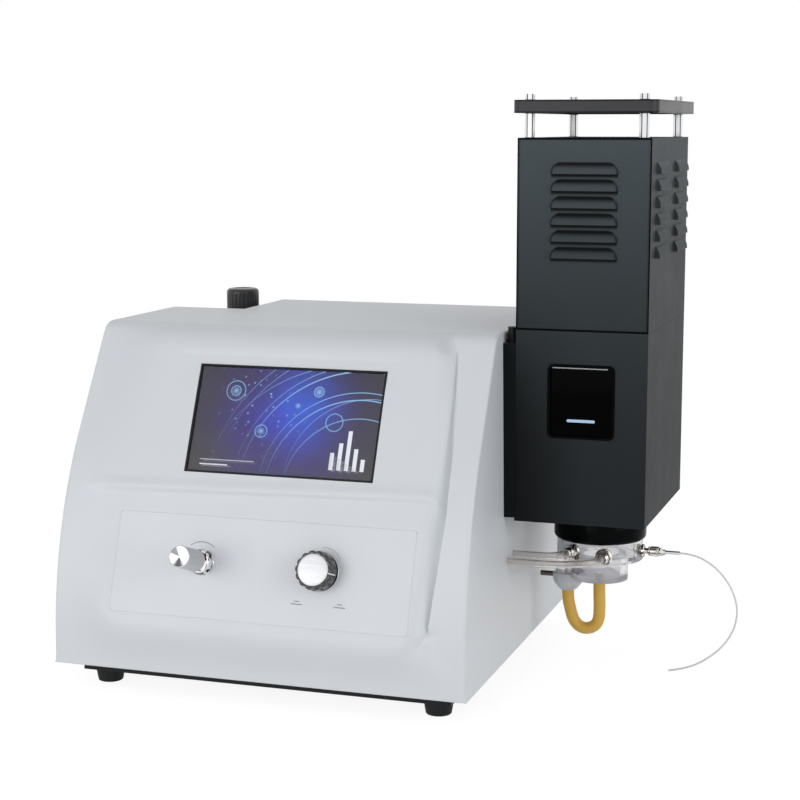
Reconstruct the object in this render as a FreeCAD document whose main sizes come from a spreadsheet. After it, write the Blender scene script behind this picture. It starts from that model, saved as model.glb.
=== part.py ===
import FreeCAD, Part
import Sketcher
import math
import os
import re
from FreeCAD import Placement, Rotation, Vector

# Flame photometer: a moulded cabinet with a tilted display and a control plate, a burner
# housing with a lift-off chimney on its right wall, and the mixing chamber below it.
# Millimetres. X runs to the right, Y to the back and Z up. Sizes are written from the middle of
# the cabinet (X), its front edge (Y) and the bench (Z); origin_x and origin_y then move the
# whole model, so that its origin is the middle of its footprint on the bench.

SIZES = {
    # where the middle of the footprint lies
    "origin_x": 62.9,
    "origin_y": 160,
    # how far a cutting tool runs past a face
    "past": 1,
    # cabinet shell
    "shell_base_width": 343,
    "shell_draft_inset": 3.5,
    "shell_height": 266,
    "shell_depth": 326,
    "shell_wall": 3,
    "shell_rear_radius": 10,
    "crest_radius": 16,
    "apron_height": 23,
    "cheek_arc_rise": 154,
    "cheek_arc_lean": 41,
    "cheek_arc_radius": 313,
    "crest_y": 95,
    # feet and base tray
    "foot_height": 12,
    "foot_radius": 12,
    "foot_sole_radius": 10,
    "foot_side_inset": 31.5,
    "foot_end_inset": 35,
    "base_height": 9,
    "base_sheet": 2,
    "base_side_inset": 16.5,
    "base_end_inset": 18,
    "floor_lip": 20,
    "foot_screw_radius": 2,
    "foot_screw_head_radius": 3.8,
    "foot_screw_head": 2.4,
    "foot_screw_well": 4,
    "foot_screw_reach": 6,
    # bay at the rear left for the regulator
    "bay_width": 73.5,
    "bay_depth": 103,
    "bay_floor_z": 130,
    # control plate
    "plate_x": 4.1,
    "plate_y": 7,
    "plate_z": 107.8,
    "plate_tilt": 18.9,
    "plate_width": 246.3,
    "plate_height": 79.7,
    "plate_thickness": 1.5,
    "plate_corner_radius": 3,
    "plate_gap": 0.4,
    "panel_margin": 14,
    "panel_depth": 24,
    "panel_wall": 5,
    "chin_up": 50,
    "chin_low_up": 75,
    "chin_low_out": 19,
    "knob_spacing": 98,
    "knob_up": 3.4,
    # display
    "display_x": 9.3,
    "display_y": 49,
    "display_z": 218.4,
    "display_tilt": 24,
    "display_width": 157,
    "display_height": 88.7,
    "display_border": 1.5,
    "display_recess": 1.5,
    "display_flange": 4,
    "display_flange_sheet": 2,
    "glass_thickness": 2,
    "lcd_thickness": 6,
    "display_gap": 0.25,
    "brow_left": 137,
    "brow_right": 125,
    "brow_low": 60,
    "brow_high": 62,
    "brow_crest_up": 80,
    "brow_crest_drop": 14,
    "brow_crest_radius": 30,
    "brow_depth": 30,
    # boards
    "board_thickness": 1.6,
    "board_rise": 6,
    "post_radius": 3,
    "post_inset": 6,
    "board_x": -10,
    "board_y": 80,
    "chip_height": 4,
    "main_chip": 25,
    "driver_chip": 18,
    "small_chip": 12,
    "display_board_inset": 10,
    "supply_x": -120,
    "supply_y": 150,
    "main_board_width": 130,
    "main_board_depth": 140,
    "supply_width": 90,
    "supply_depth": 60,
    "supply_height": 38,
    # side block and burner housing
    "side_gap": 8.6,
    "side_block_bottom_z": 140,
    "side_block_top_z": 279,
    "tower_width": 104.2,
    "tower_depth": 167,
    "burner_inset": 51.7,
    "tower_front_y": 112,
    "housing_bottom_z": 137.6,
    "seam_z": 290,
    "tower_top_z": 438,
    "sheet": 1.5,
    "spigot_height": 8,
    "lift_gap": 0.3,
    "front_inset": 0.5,
    "burner_y": 195,
    "front_lip": 10,
    "roof_rim": 14,
    "spigot_root": 12,
    "side_block_root": 8,
    # igniter
    "boot_from_housing": 5.05,
    "boot_y": 122,
    "boot_radius": 3.6,
    "boot_height": 12,
    "boot_flange_radius": 4.6,
    "boot_flange": 2,
    "igniter_y": 214,
    "electrode_z": 210,
    "electrode_radius": 3,
    "electrode_length": 34,
    "wire_radius": 0.8,
    "wire_length": 14,
    # peep window
    "window_width": 53.3,
    "window_height": 58.4,
    "window_z": 235,
    "window_lip": 2,
    "window_frame_depth": 4,
    "window_glass": 2,
    "pane_gap": 0.1,
    # louvres
    "louvre_width": 52.4,
    "louvre_height": 9.2,
    "louvre_proud": 3.6,
    "louvre_bulge": 11,
    "louvre_pitch": 12.9,
    "louvre_count": 6,
    "louvre_low_z": 346.1,
    "side_louvre_width": 48,
    "side_louvre_first": 22,
    "side_louvre_pitch": 82,
    # cap plate
    "cap_gap": 18.7,
    "cap_thickness": 10,
    "cap_overhang": 4.1,
    "cap_radius": 8,
    "cap_post_inset": 7.7,
    "cap_post_radius": 3.4,
    "cap_screw_radius": 2,
    "cap_screw_length": 12,
    "cap_screw_head": 4.5,
    # burner
    "collar_radius": 38,
    "collar_bottom_z": 111,
    "neck_radius": 14,
    "burner_bore": 9,
    "burner_head_radius": 19,
    "burner_head_z": 190,
    "burner_top_z": 203,
    "burner_roof": 4,
    "jet_radius": 1,
    "jet_inner_ring": 3.6,
    "jet_outer_ring": 7,
    # mixing chamber
    "chamber_radius": 35.5,
    "chamber_height": 17,
    "well_radius": 23.3,
    "well_height": 18,
    "chamber_wall": 6,
    "chamber_floor": 4,
    "boss_x": 26.5,
    "ear_radius": 10,
    "cup_radius": 12.4,
    "cup_height": 15,
    "cup_drop": 12,
    "cup_wall": 3,
    "cup_floor": 2,
    "spout_z": 76,
    "spout_radius": 2.2,
    "spout_bore": 1.2,
    "spout_length": 14,
    "port_z": 101.2,
    "air_port_z": 103.6,
    "gas_port_z": 101.8,
    "gas_port_x": 10.4,
    "air_port_angle": 25.5,
    "barb_screw_radius": 2.6,
    "hose_barb_base_radius": 4.6,
    "hose_barb_base": 2.5,
    "nipple_radius": 2.9,
    "nipple_length": 7,
    # nebulizer
    "nebulizer_radius": 5.4,
    "nebulizer_neck_radius": 2.4,
    "nebulizer_flange": 2,
    "nebulizer_neck": 4,
    "nebulizer_hub_radius": 3.7,
    "nebulizer_hub_length": 14.5,
    "needle_radius": 1.5,
    "needle_bore": 0.75,
    "needle_length": 12,
    "capillary_radius": 0.75,
    # hoses
    "hose_radius": 3,
    "latex_radius": 5,
    "union_flange_radius": 8,
    "union_flange": 2,
    "union_radius": 5,
    "union_length": 12,
    "air_hose_y": 142,
    "gas_hose_y": 122,
    # fine adjust valve
    "fine_stem_radius": 3,
    "fine_dome_radius": 10.4,
    "fine_dome_rim": 2,
    "fine_dome_height": 9,
    "fine_dome_top_radius": 6.4,
    "fine_clearance": 2.5,
    "fine_waist_radius": 5.2,
    "fine_waist_length": 2,
    "fine_knob_radius": 8,
    "fine_tip": 44,
    "fine_edge": 0.6,
    "fine_needle_top": 26,
    "fine_taper": 5,
    "fine_travel_in": 2.1,
    # gas valve
    "gas_knob_radius": 14.3,
    "gas_knob_clearance": 0.5,
    "gas_knob_hollow": 9.5,
    "gas_skirt": 2.5,
    "gas_rim": 0.6,
    "gas_lobes": 8,
    "gas_scoop_centre": 19.5,
    "gas_scoop_radius": 6,
    "gas_push": 4,
    "gas_cap_top": 17,
    "gas_cap_radius": 11.7,
    "gas_cap_thickness": 1.2,
    "gas_nut_radius": 8,
    "gas_nut_height": 3,
    "gas_stem_radius": 3,
    "gas_stem_top": 10,
    "stem_flat": 0.8,
    # valve bodies
    "valve_body_radius": 13,
    "valve_body_length": 26,
    "valve_front_wall": 4,
    "valve_floor": 8,
    "valve_neck_radius": 5,
    "valve_neck_length": 9,
    "plug_radius": 7,
    "plug_length": 14,
    "port_radius": 2,
    "cover_thickness": 2,
    "running_gap": 0.05,
    "face_gap": 0.3,
    # air regulator
    "regulator_inset": 46.1,
    "regulator_from_rear": 41,
    "regulator_width": 32,
    "regulator_bottom_z": 200,
    "regulator_body_height": 36,
    "regulator_port_z": 222,
    "regulator_port_depth": 8,
    "bonnet_radius": 12.2,
    "bonnet_height": 44,
    "bonnet_floor": 6,
    "spindle_radius": 4,
    "spindle_rise": 10,
    "regulator_knob_radius": 14.7,
    "regulator_knob_top_z": 299.5,
    "regulator_knob_height": 36,
    "knob_gap": 0.4,
    "knob_edge": 1.5,
    "knob_roof": 3,
    "knob_flute": 1,
    "knob_flutes": 24,
    "bowl_radius": 15,
    "bowl_height": 46,
    "bowl_dome": 8,
    "bowl_neck_radius": 12,
    "bowl_neck_height": 8,
    "bowl_wall": 2,
    "bracket_width": 20,
    "bracket_rise": 12,
    "bracket_height": 16,
    "bracket_sheet": 2,
    # rear panel
    "rear_panel_width": 230,
    "rear_panel_height": 190,
    "rear_panel_x": 38,
    "rear_panel_z": 146,
    "rear_sheet": 2,
    "rear_overlap": 10,
    "rear_screw_radius": 1.5,
    "rear_screw_head_radius": 3,
    "rear_screw_head": 2,
    "rear_screw_length": 8,
    "vent_count": 10,
    "vent_x": -40,
    "vent_z": 180,
    "vent_pitch": 14,
    "vent_width": 5,
    "vent_height": 30,
    # power inlet and fuse drawer
    "inlet_x": 110,
    "inlet_z": 85,
    "inlet_width": 30,
    "inlet_height": 36,
    "inlet_depth": 24,
    "inlet_flange": 2.5,
    "inlet_rim": 4,
    "inlet_wall": 2,
    "socket_width": 24.5,
    "socket_height": 16.5,
    "socket_depth": 15.5,
    "blade_pitch": 7,
    "blade_rise": 2,
    "blade_width": 2,
    "blade_height": 4,
    "blade_length": 10,
    "drawer_width": 24,
    "drawer_height": 10,
    "drawer_depth": 22,
    "drawer_gap": 0.3,
    "drawer_lip": 2,
    "fuse_length": 20,
    "fuse_radius": 2.5,
    # mains switch
    "switch_x": 70,
    "switch_width": 14,
    "switch_height": 22,
    "switch_depth": 16,
    "switch_rim": 2,
    "switch_flange": 2,
    "switch_floor": 4,
    "rocker_width": 8,
    "rocker_height": 17,
    "rocker_gap": 0.5,
    "rocker_end_gap": 1.2,
    "rocker_pin_wall": 1.5,
    "rocker_pin_radius": 1.5,
    "rocker_back": -6,
    "rocker_front": 5,
    "rocker_middle": 3.6,
    # inlet barbs
    "gas_inlet_x": 20,
    "gas_inlet_radius": 5,
    "gas_inlet_tail": 15,
    "barb_hexagon": 5,
    "barb_hexagon_radius": 8,
    "barb_radius": 4,
    "barb_step": 0.8,
    "barb_length": 18,
    "barb_pitch": 4,
    "barb_count": 3,
    # optics
    "beam_z": 228,
    "beam_radius": 8,
    "optics_tube_radius": 11,
    "optics_tube_length": 55,
    "optics_flange_radius": 20,
    "optics_flange": 3,
    "filter_width": 34,
    "filter_depth": 10,
    "filter_wall": 3,
    "lens_place": 12,
    "lens_thickness": 5,
    "lens_curve": 20,
    "detector_length": 14,
}

# Places and sizes that follow from the driving ones.
LAYOUT = {
    "half_base": "shell_base_width / 2",
    "draft_slope": "shell_draft_inset / shell_height",
    "shell_z": "foot_height + base_height",
    "shell_top_z": "shell_z + shell_height",
    "cheek_lean": "atan((crest_y - cheek_arc_lean) / (shell_height - apron_height - cheek_arc_rise))",
    "crest_run": "crest_radius * tan(45 deg - cheek_lean / 2)",
    "side_x": "half_base - shell_draft_inset / 2",
    "tower_x": "side_x + side_gap",
    "tower_right_x": "tower_x + tower_width",
    "tower_rear_y": "tower_front_y + tower_depth",
    "burner_x": "tower_right_x - burner_inset",
    "boot_x": "tower_x - boot_from_housing",
    "chamber_z": "collar_bottom_z - chamber_height",
    "well_z": "chamber_z - well_height",
    "cup_z": "well_z - cup_drop",
    "cup_top_z": "cup_z + cup_height",
    "gas_port_reach": "sqrt(chamber_radius^2 - gas_port_x^2)",
    "boss_centre_x": "burner_x - boss_x",
    "cap_z": "tower_top_z + cap_gap",
    "cap_top_z": "cap_z + cap_thickness",
    "bay_wall_x": "half_base - bay_width",
    "bay_front_y": "shell_depth - bay_depth",
    "rear_y": "shell_depth + rear_sheet",
    "knob_offset": "knob_spacing / 2",
    "needle_x": "burner_x + chamber_radius + 4.5 + nebulizer_hub_length",
    "needle_end_x": "needle_x + needle_length",
    "foot_x": "half_base - foot_side_inset",
    "foot_rear_y": "shell_depth - foot_end_inset",
    "regulator_x": "half_base - regulator_inset",
    "regulator_y": "shell_depth - regulator_from_rear",
    "regulator_top_z": "regulator_bottom_z + regulator_body_height",
    "glass_back": "display_recess + glass_thickness",
    "lcd_back": "glass_back + lcd_thickness",
}

TURNS = {
    "X": Rotation(Vector(0, 1, 0), 90),
    "-X": Rotation(Vector(0, 1, 0), -90),
    "Y": Rotation(Vector(1, 0, 0), -90),
    "-Y": Rotation(Vector(1, 0, 0), 90),
    "Z": Rotation(),
    "-Z": Rotation(Vector(1, 0, 0), 180),
    "side": Rotation(Vector(1, 1, 1), 120),
}

doc = FreeCAD.newDocument("flame_photometer")
parts = {}


# ---------------------------------------------------------------- sheet and expressions
def fill_sheet(name, values):
    """A spreadsheet with one named cell for each value."""
    sheet = doc.addObject("Spreadsheet::Sheet", name)
    for row, (alias, value) in enumerate(values.items(), start=1):
        sheet.set(f"A{row}", alias)
        sheet.set(f"B{row}", value)
        sheet.setAlias(f"B{row}", alias)
    doc.recompute()
    return sheet


def full(expression):
    """The expression with each size written as its sheet and its alias."""

    def named(match):
        word = match.group(0)
        if word in SIZES:
            return f"Sizes.{word}"
        if word in LAYOUT:
            return f"Layout.{word}"
        return word

    return re.sub(r"[A-Za-z_]\w*", named, expression)


fill_sheet("Sizes", {alias: str(value) for alias, value in SIZES.items()})
layout = fill_sheet("Layout", {alias: "=" + full(text) for alias, text in LAYOUT.items()})


def number(expression):
    """The expression's value now, as a plain number."""
    value = layout.evalExpression(full(expression))
    return float(getattr(value, "Value", value))


def bind(piece, **expressions):
    """Ties properties of a piece to expressions of the sheets' sizes."""
    for name, expression in expressions.items():
        piece.setExpression(name, full(expression))
    return piece


def place(piece, x="0", y="0", z="0", turn="Z", local=False):
    """Puts a piece at a point. A local piece is a tool, placed in its own sub-part's frame."""
    piece.Placement = Placement(Vector(0, 0, 0), TURNS[turn])
    shift_x = "" if local else " - origin_x"
    shift_y = "" if local else " - origin_y"
    piece.setExpression("Placement.Base.x", full(f"{x}{shift_x}"))
    piece.setExpression("Placement.Base.y", full(f"{y}{shift_y}"))
    piece.setExpression("Placement.Base.z", full(z))
    return piece


def keep(label, piece):
    """Names a finished sub-part."""
    piece.Label = label
    parts[label] = piece
    return piece


# ---------------------------------------------------------------- solids
def box(x, y, z, length, width, height, local=False):
    """A box from its lowest corner."""
    piece = doc.addObject("Part::Box", "box")
    bind(piece, Length=length, Width=width, Height=height)
    return place(piece, x, y, z, local=local)


def centred(x, y, z, width, depth, height):
    """A box that starts at y and is centred on x and z."""
    return box(f"{x} - ({width}) / 2", y, f"{z} - ({height}) / 2", width, depth, height)


def rod(x, y, z, radius, height, turn="Z", local=False):
    """A cylinder from the middle of its first end."""
    piece = doc.addObject("Part::Cylinder", "rod")
    bind(piece, Radius=radius, Height=height)
    return place(piece, x, y, z, turn, local)


def cone(x, y, z, first_radius, last_radius, height, turn="Z", local=False):
    """A cone from the middle of its first end."""
    piece = doc.addObject("Part::Cone", "cone")
    bind(piece, Radius1=first_radius, Radius2=last_radius, Height=height)
    return place(piece, x, y, z, turn, local)


def ball(x, y, z, radius, local=False):
    """A sphere."""
    piece = doc.addObject("Part::Sphere", "ball")
    bind(piece, Radius=radius)
    return place(piece, x, y, z, local=local)


def hexagon(x, y, z, radius, height, turn="Z", local=False):
    """A hexagon bar from the middle of its first end; radius runs to its corners."""
    piece = doc.addObject("Part::Prism", "hexagon")
    piece.Polygon = 6
    bind(piece, Circumradius=radius, Height=height)
    return place(piece, x, y, z, turn, local)


def fuse(*pieces):
    """One solid of several."""
    if len(pieces) == 1:
        return group(*pieces)
    piece = doc.addObject("Part::MultiFuse", "fuse")
    piece.Shapes = list(pieces)
    piece.Refine = True
    return piece


def group(*pieces):
    """Separate solids that share a sub-part."""
    piece = doc.addObject("Part::Compound", "group")
    piece.Links = list(pieces)
    return piece


def turned_round(piece, index, count, x="origin_x", y="origin_y"):
    """Turns a local tool to its place in a ring of count, round an upright axis at (x, y)."""
    holder = group(piece)
    bind(holder, **{"Placement.Rotation.Angle": f"360 * {index} / {count}"})
    holder.setExpression("Placement.Base.x", full(f"{x} - origin_x"))
    holder.setExpression("Placement.Base.y", full(f"{y} - origin_y"))
    return holder


def cut(base, *tools):
    """The base without the tools."""
    piece = doc.addObject("Part::Cut", "cut")
    piece.Base = base
    piece.Tool = tools[0] if len(tools) == 1 else fuse(*tools)
    piece.Refine = True
    return piece


def common(base, tool):
    """What two solids share."""
    piece = doc.addObject("Part::Common", "common")
    piece.Base = base
    piece.Tool = tool
    return piece


def arc_between(start, end, radius):
    """A short arc from start to end. A positive radius bulges to the right of the way."""
    way = end - start
    side = Vector(way.y, -way.x, 0).normalize()
    half = way.Length / 2
    rise = abs(radius) - math.sqrt(radius * radius - half * half)
    middle = (start + end) * 0.5 + side * math.copysign(rise, radius)
    return Part.Arc(start, middle, end)


def limit(sketch, kind, *where, size):
    """A sketch dimension tied to an expression."""
    index = sketch.addConstraint(Sketcher.Constraint(kind, *where, number(size)))
    sketch.setExpression(f"Constraints[{index}]", full(size))


def pin_point(sketch, geometry, point, x, y):
    """Ties a point of a sketch to its two coordinates."""
    for axis, kind, size in ((-2, "DistanceX", x), (-1, "DistanceY", y)):
        if abs(number(size)) < 1e-9:
            sketch.addConstraint(Sketcher.Constraint("PointOnObject", geometry, point, axis))
        else:
            limit(sketch, kind, -1, 1, geometry, point, size=size)


def draw(sketch, corners):
    """A closed outline. A corner is (x, y), or (x, y, radius) where an arc runs on from it."""
    points = [Vector(number(corner[0]), number(corner[1]), 0) for corner in corners]
    starts = []
    for index, corner in enumerate(corners):
        start = points[index]
        end = points[(index + 1) % len(points)]
        if len(corner) == 2:
            sketch.addGeometry(Part.LineSegment(start, end))
            starts.append(1)
            continue
        sketch.addGeometry(arc_between(start, end, number(corner[2])))
        forward = sketch.getPoint(index, 1).distanceToPoint(start) < 1e-6
        starts.append(1 if forward else 2)
    for index, corner in enumerate(corners):
        before = (index - 1) % len(corners)
        last_point = 3 - starts[before]
        sketch.addConstraint(
            Sketcher.Constraint("Coincident", before, last_point, index, starts[index])
        )
        pin_point(sketch, index, starts[index], corner[0], corner[1])
        if len(corner) == 3:
            limit(sketch, "Radius", index, size=f"abs({corner[2]})")


def prism(corners, length, x="0", y="0", z="0", turn="Z", local=False):
    """An outline, drawn flat and carried along its normal."""
    sketch = doc.addObject("Sketcher::SketchObject", "outline")
    draw(sketch, corners)
    place(sketch, x, y, z, turn, local)
    piece = doc.addObject("Part::Extrusion", "prism")
    piece.Base = sketch
    piece.DirMode = "Normal"
    piece.Solid = True
    bind(piece, LengthFwd=length)
    return piece


def own_plane(body, role):
    """One of a body's origin planes."""
    return [plane for plane in body.Origin.OriginFeatures if plane.Role == role][0]


def new_sketch(body, role):
    """A sketch on one of the body's origin planes."""
    sketch = body.newObject("Sketcher::SketchObject", "profile")
    sketch.AttachmentSupport = [(own_plane(body, role), "")]
    sketch.MapMode = "FlatFace"
    return sketch


def turned(corners, x="0", y="0", z="0", turn="Z", local=False):
    """A body turned about its own axis from (radius, height) corners."""
    body = doc.addObject("PartDesign::Body", "turned")
    sketch = new_sketch(body, "XZ_Plane")
    draw(sketch, corners)
    feature = body.newObject("PartDesign::Revolution", "revolution")
    feature.Profile = sketch
    feature.ReferenceAxis = (sketch, ["V_Axis"])
    feature.Angle = 360
    return place(body, x, y, z, turn, local)


def ring(inner, outer, bottom, top):
    """The corners of a plain ring, for turned()."""
    return [(inner, bottom), (outer, bottom), (outer, top), (inner, top)]


def upright_edges(shape):
    """The names of a plate's straight edges across its thickness."""
    names = []
    for index, edge in enumerate(shape.Edges, start=1):
        way = edge.lastVertex().Point - edge.firstVertex().Point
        if way.Length > 1e-6 and abs(way.normalize().z) > 0.99:
            names.append(f"Edge{index}")
    return names


def plate(width, height, thickness, radius, holes=()):
    """A plate with rounded corners, its top face on its own XY plane and centred there.

    A hole is (x, y, radius)."""
    body = doc.addObject("PartDesign::Body", "plate")
    sketch = new_sketch(body, "XY_Plane")
    left, right = f"-({width}) / 2", f"({width}) / 2"
    low, high = f"-({height}) / 2", f"({height}) / 2"
    draw(sketch, [(left, low), (right, low), (right, high), (left, high)])
    pad = body.newObject("PartDesign::Pad", "pad")
    pad.Profile = sketch
    pad.Reversed = True
    bind(pad, Length=thickness)
    doc.recompute()
    rounding = body.newObject("PartDesign::Fillet", "rounding")
    rounding.Base = (pad, upright_edges(pad.Shape))
    bind(rounding, Radius=radius)
    if holes:
        circles = new_sketch(body, "XY_Plane")
        for index, (x, y, size) in enumerate(holes):
            centre = Vector(number(x), number(y), 0)
            circles.addGeometry(Part.Circle(centre, Vector(0, 0, 1), number(size)))
            pin_point(circles, index, 3, x, y)
            limit(circles, "Radius", index, size=size)
        pocket = body.newObject("PartDesign::Pocket", "holes")
        pocket.Profile = circles
        pocket.Type = "ThroughAll"
        pocket.Midplane = True
        body.Tip = pocket
    return body


def seat(piece, frame, across="0", up="0", out="0"):
    """Sets a sub-part that was drawn level on a tilted panel.

    frame is plate or display: across runs to the right, up along the slope and out along the
    panel's outward normal, from the panel's middle."""
    tilt = f"{frame}_tilt"
    piece.Placement = Placement(Vector(0, 0, 0), Rotation(Vector(1, 0, 0), 90))
    piece.setExpression("Placement.Rotation.Angle", full(f"90 - {tilt}"))
    y = f"{frame}_y + ({up}) * sin({tilt}) - ({out}) * cos({tilt}) - origin_y"
    z = f"{frame}_z + ({up}) * cos({tilt}) + ({out}) * sin({tilt})"
    piece.setExpression("Placement.Base.x", full(f"{frame}_x + {across} - origin_x"))
    piece.setExpression("Placement.Base.y", full(y))
    piece.setExpression("Placement.Base.z", full(z))
    return piece


# ---------------------------------------------------------------- cabinet
def side_outline(inset):
    """The cabinet's side outline in (Y, Z), drawn in by inset on every side."""
    back = f"shell_depth - {inset}"
    low = f"shell_z + {inset}"
    top = f"shell_top_z - {inset}"
    corner = f"crest_y + {inset} * (1 - tan(cheek_lean))"
    bend = "shell_z + apron_height"
    return [
        (back, low),
        (back, f"{top} - shell_rear_radius", "shell_rear_radius"),
        (f"{back} - shell_rear_radius", top),
        (f"{corner} + crest_run", top, "crest_radius"),
        (f"{corner} - crest_run * sin(cheek_lean)", f"{top} - crest_run * cos(cheek_lean)"),
        (f"cheek_arc_lean + {inset}", f"{bend} + cheek_arc_rise", "cheek_arc_radius"),
        (inset, bend),
        (inset, low),
    ]


def draft_wedge(side):
    """What the draft angle takes off the cabinet's left (-1) or right (1) side."""
    foot = f"{side} * half_base"
    far = f"{side} * (half_base + shell_wall)"
    over = "(shell_top_z + shell_wall)"
    top = f"{side} * (half_base - draft_slope * ({over} - shell_z))"
    wedge = [(foot, "shell_z"), (far, "shell_z"), (far, over), (top, over)]
    return prism(wedge, "shell_depth + 2 * shell_wall", y="shell_depth + shell_wall", turn="-Y")


def shell_outside():
    """The cabinet's closed outer form: the drafted body, the apron and the brow."""
    body = prism(side_outline("0"), "shell_base_width", x="-half_base", turn="side")
    half = "(plate_width / 2 + panel_margin)"
    top = "plate_height / 2 + panel_margin"
    apron = prism(
        [
            ("-chin_up", "0"),
            (top, "0"),
            (top, "-panel_depth"),
            ("-chin_low_up", "-panel_depth"),
            ("-chin_low_up", "-chin_low_out"),
        ],
        f"{half} * 2",
        x=f"-{half}",
        turn="side",
        local=True,
    )
    brow = prism(
        [
            ("-brow_low", "0"),
            ("brow_high", "0", "-brow_crest_radius"),
            ("brow_crest_up", "-brow_crest_drop"),
            ("brow_crest_up", "-brow_depth"),
            ("-brow_low", "-brow_depth"),
        ],
        "brow_left + brow_right",
        x="-brow_left",
        turn="side",
        local=True,
    )
    return fuse(
        cut(body, draft_wedge(-1), draft_wedge(1)),
        seat(fuse(apron), "plate"),
        seat(fuse(brow), "display"),
    )


def slab(frame, left, right, low, high, back, front):
    """A block on a tilted panel: across from left to right, up from low to high."""
    width = f"{right} - ({left})"
    height = f"{high} - ({low})"
    block = box(left, low, back, width, height, f"{front} - ({back})", local=True)
    return seat(fuse(block), frame)


def panel_slab(frame, half_width, half_height, back, front):
    """A block centred on a tilted panel."""
    return slab(frame, f"-({half_width})", half_width, f"-({half_height})", half_height, back, front)


def shell_inside():
    """The cabinet's hollow, which leaves a wall round the bay and behind both panels."""
    width = "shell_base_width - 2 * (shell_wall + shell_draft_inset)"
    hollow = prism(side_outline("shell_wall"), width, x=f"-({width}) / 2", turn="side")
    half = "(plate_width / 2 + panel_margin - shell_wall)"
    top = "plate_height / 2 + panel_margin"
    behind_plate = slab(
        "plate", f"-{half}", half, "-chin_up", f"{top} - shell_wall", "-panel_depth", "-panel_wall"
    )
    behind_brow = slab(
        "display",
        "-brow_left + shell_wall",
        "brow_right - shell_wall",
        "-brow_low + shell_wall",
        "brow_high - shell_wall",
        "-brow_depth",
        "-panel_wall",
    )
    bay = box(
        "-half_base",
        "bay_front_y - shell_wall",
        "bay_floor_z - shell_wall",
        "half_base - bay_wall_x + shell_wall",
        "bay_depth + shell_wall",
        "shell_top_z",
    )
    plate_wall = slab("plate", f"-{half}", half, "-chin_up", top, "-panel_wall", "panel_wall")
    return cut(fuse(hollow, behind_plate, behind_brow), bay, plate_wall)


def rear_screw_places():
    """Where the rear panel's screws sit, as (x, z)."""
    return [
        (
            f"rear_panel_x + {side} * (rear_panel_width - rear_overlap) / 2",
            f"rear_panel_z + {up} * (rear_panel_height - rear_overlap) / 2",
        )
        for side in (-1, 1)
        for up in (-1, 0, 1)
    ]


def panel_openings():
    """What the plate, its two valve necks and the display need of the shell."""
    wide = "plate_width / 2 + panel_margin"
    top = "plate_height / 2 + panel_margin"
    neck_radius = "valve_neck_radius + plate_gap"
    pieces = [
        slab("plate", f"-({wide})", wide, "-chin_up", top, "0", "panel_depth"),
        panel_slab(
            "plate",
            "plate_width / 2 + plate_gap",
            "plate_height / 2 + plate_gap",
            "-plate_thickness",
            "panel_wall",
        ),
        panel_slab(
            "display",
            "display_width / 2 + display_gap",
            "display_height / 2 + display_gap",
            "-brow_depth",
            "brow_depth",
        ),
    ]
    for across in ("-knob_offset", "knob_offset"):
        neck = rod("0", "0", "-panel_depth", neck_radius, "panel_depth", local=True)
        pieces.append(seat(fuse(neck), "plate", across, "knob_up"))
    return pieces


def housing_shell():
    """The moulded shell, with the bay, the panel seats and every opening."""
    bay = box(
        "-half_base - shell_wall",
        "bay_front_y",
        "bay_floor_z",
        "half_base + shell_wall - bay_wall_x",
        "bay_depth + shell_wall",
        "shell_height",
    )
    floor = box(
        "-half_base + floor_lip",
        "floor_lip",
        "shell_z - shell_wall",
        "shell_base_width - 2 * floor_lip",
        "shell_depth - 2 * floor_lip",
        "shell_wall * 3",
    )
    rear = centred(
        "rear_panel_x",
        "shell_depth - shell_wall * 2",
        "rear_panel_z",
        "rear_panel_width - 2 * rear_overlap",
        "shell_wall * 3",
        "rear_panel_height - 2 * rear_overlap",
    )
    side_holes = [
        rod("half_base - shell_wall * 4", y, z, radius, "shell_wall * 6", "X")
        for y, z, radius in (
            ("air_hose_y", "air_port_z", "hose_radius + face_gap"),
            ("gas_hose_y", "gas_port_z", "hose_radius + face_gap"),
            ("burner_y", "beam_z", "optics_tube_radius + face_gap"),
        )
    ]
    screw_y = "rear_y - rear_screw_length"
    screw_holes = [
        rod(x, screw_y, z, "rear_screw_radius", "rear_screw_length", "Y")
        for x, z in rear_screw_places()
    ]
    openings = [*panel_openings(), bay, floor, rear, *side_holes, *screw_holes]
    keep("housing_shell", cut(shell_outside(), shell_inside(), *openings))


def base_and_feet():
    """The black tray below the shell, on four rubber feet with their screws."""
    width = "shell_base_width - 2 * base_side_inset"
    depth = "shell_depth - 2 * base_end_inset"
    left = "-half_base + base_side_inset"
    tray = box(left, "base_end_inset", "foot_height", width, depth, "base_height")
    inner = box(
        f"{left} + base_sheet",
        "base_end_inset + base_sheet",
        "foot_height + base_sheet",
        f"{width} - 2 * base_sheet",
        f"{depth} - 2 * base_sheet",
        "base_height",
    )
    shank_bore = "foot_screw_radius + running_gap"
    head_bore = "foot_screw_head_radius + face_gap"
    head_z = "(foot_screw_well - foot_screw_head)"
    shank_length = "foot_height - foot_screw_well + foot_screw_reach"
    holes, feet, screws = [], [], []
    for x in ("-foot_x", "foot_x"):
        for y in ("foot_end_inset", "foot_rear_y"):
            holes.append(rod(x, y, "0", shank_bore, "foot_height + base_height"))
            foot = cone(x, y, "0", "foot_sole_radius", "foot_radius", "foot_height")
            well = rod(x, y, "0", head_bore, "foot_screw_well")
            bore = rod(x, y, "0", shank_bore, "foot_height")
            feet.append(cut(foot, well, bore))
            head = rod(x, y, head_z, "foot_screw_head_radius", "foot_screw_head")
            shank = rod(x, y, "foot_screw_well", "foot_screw_radius", shank_length)
            screws.append(fuse(head, shank))
    keep("base_tray", cut(tray, inner, *holes))
    keep("rubber_feet", group(*feet))
    return screws


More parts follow.
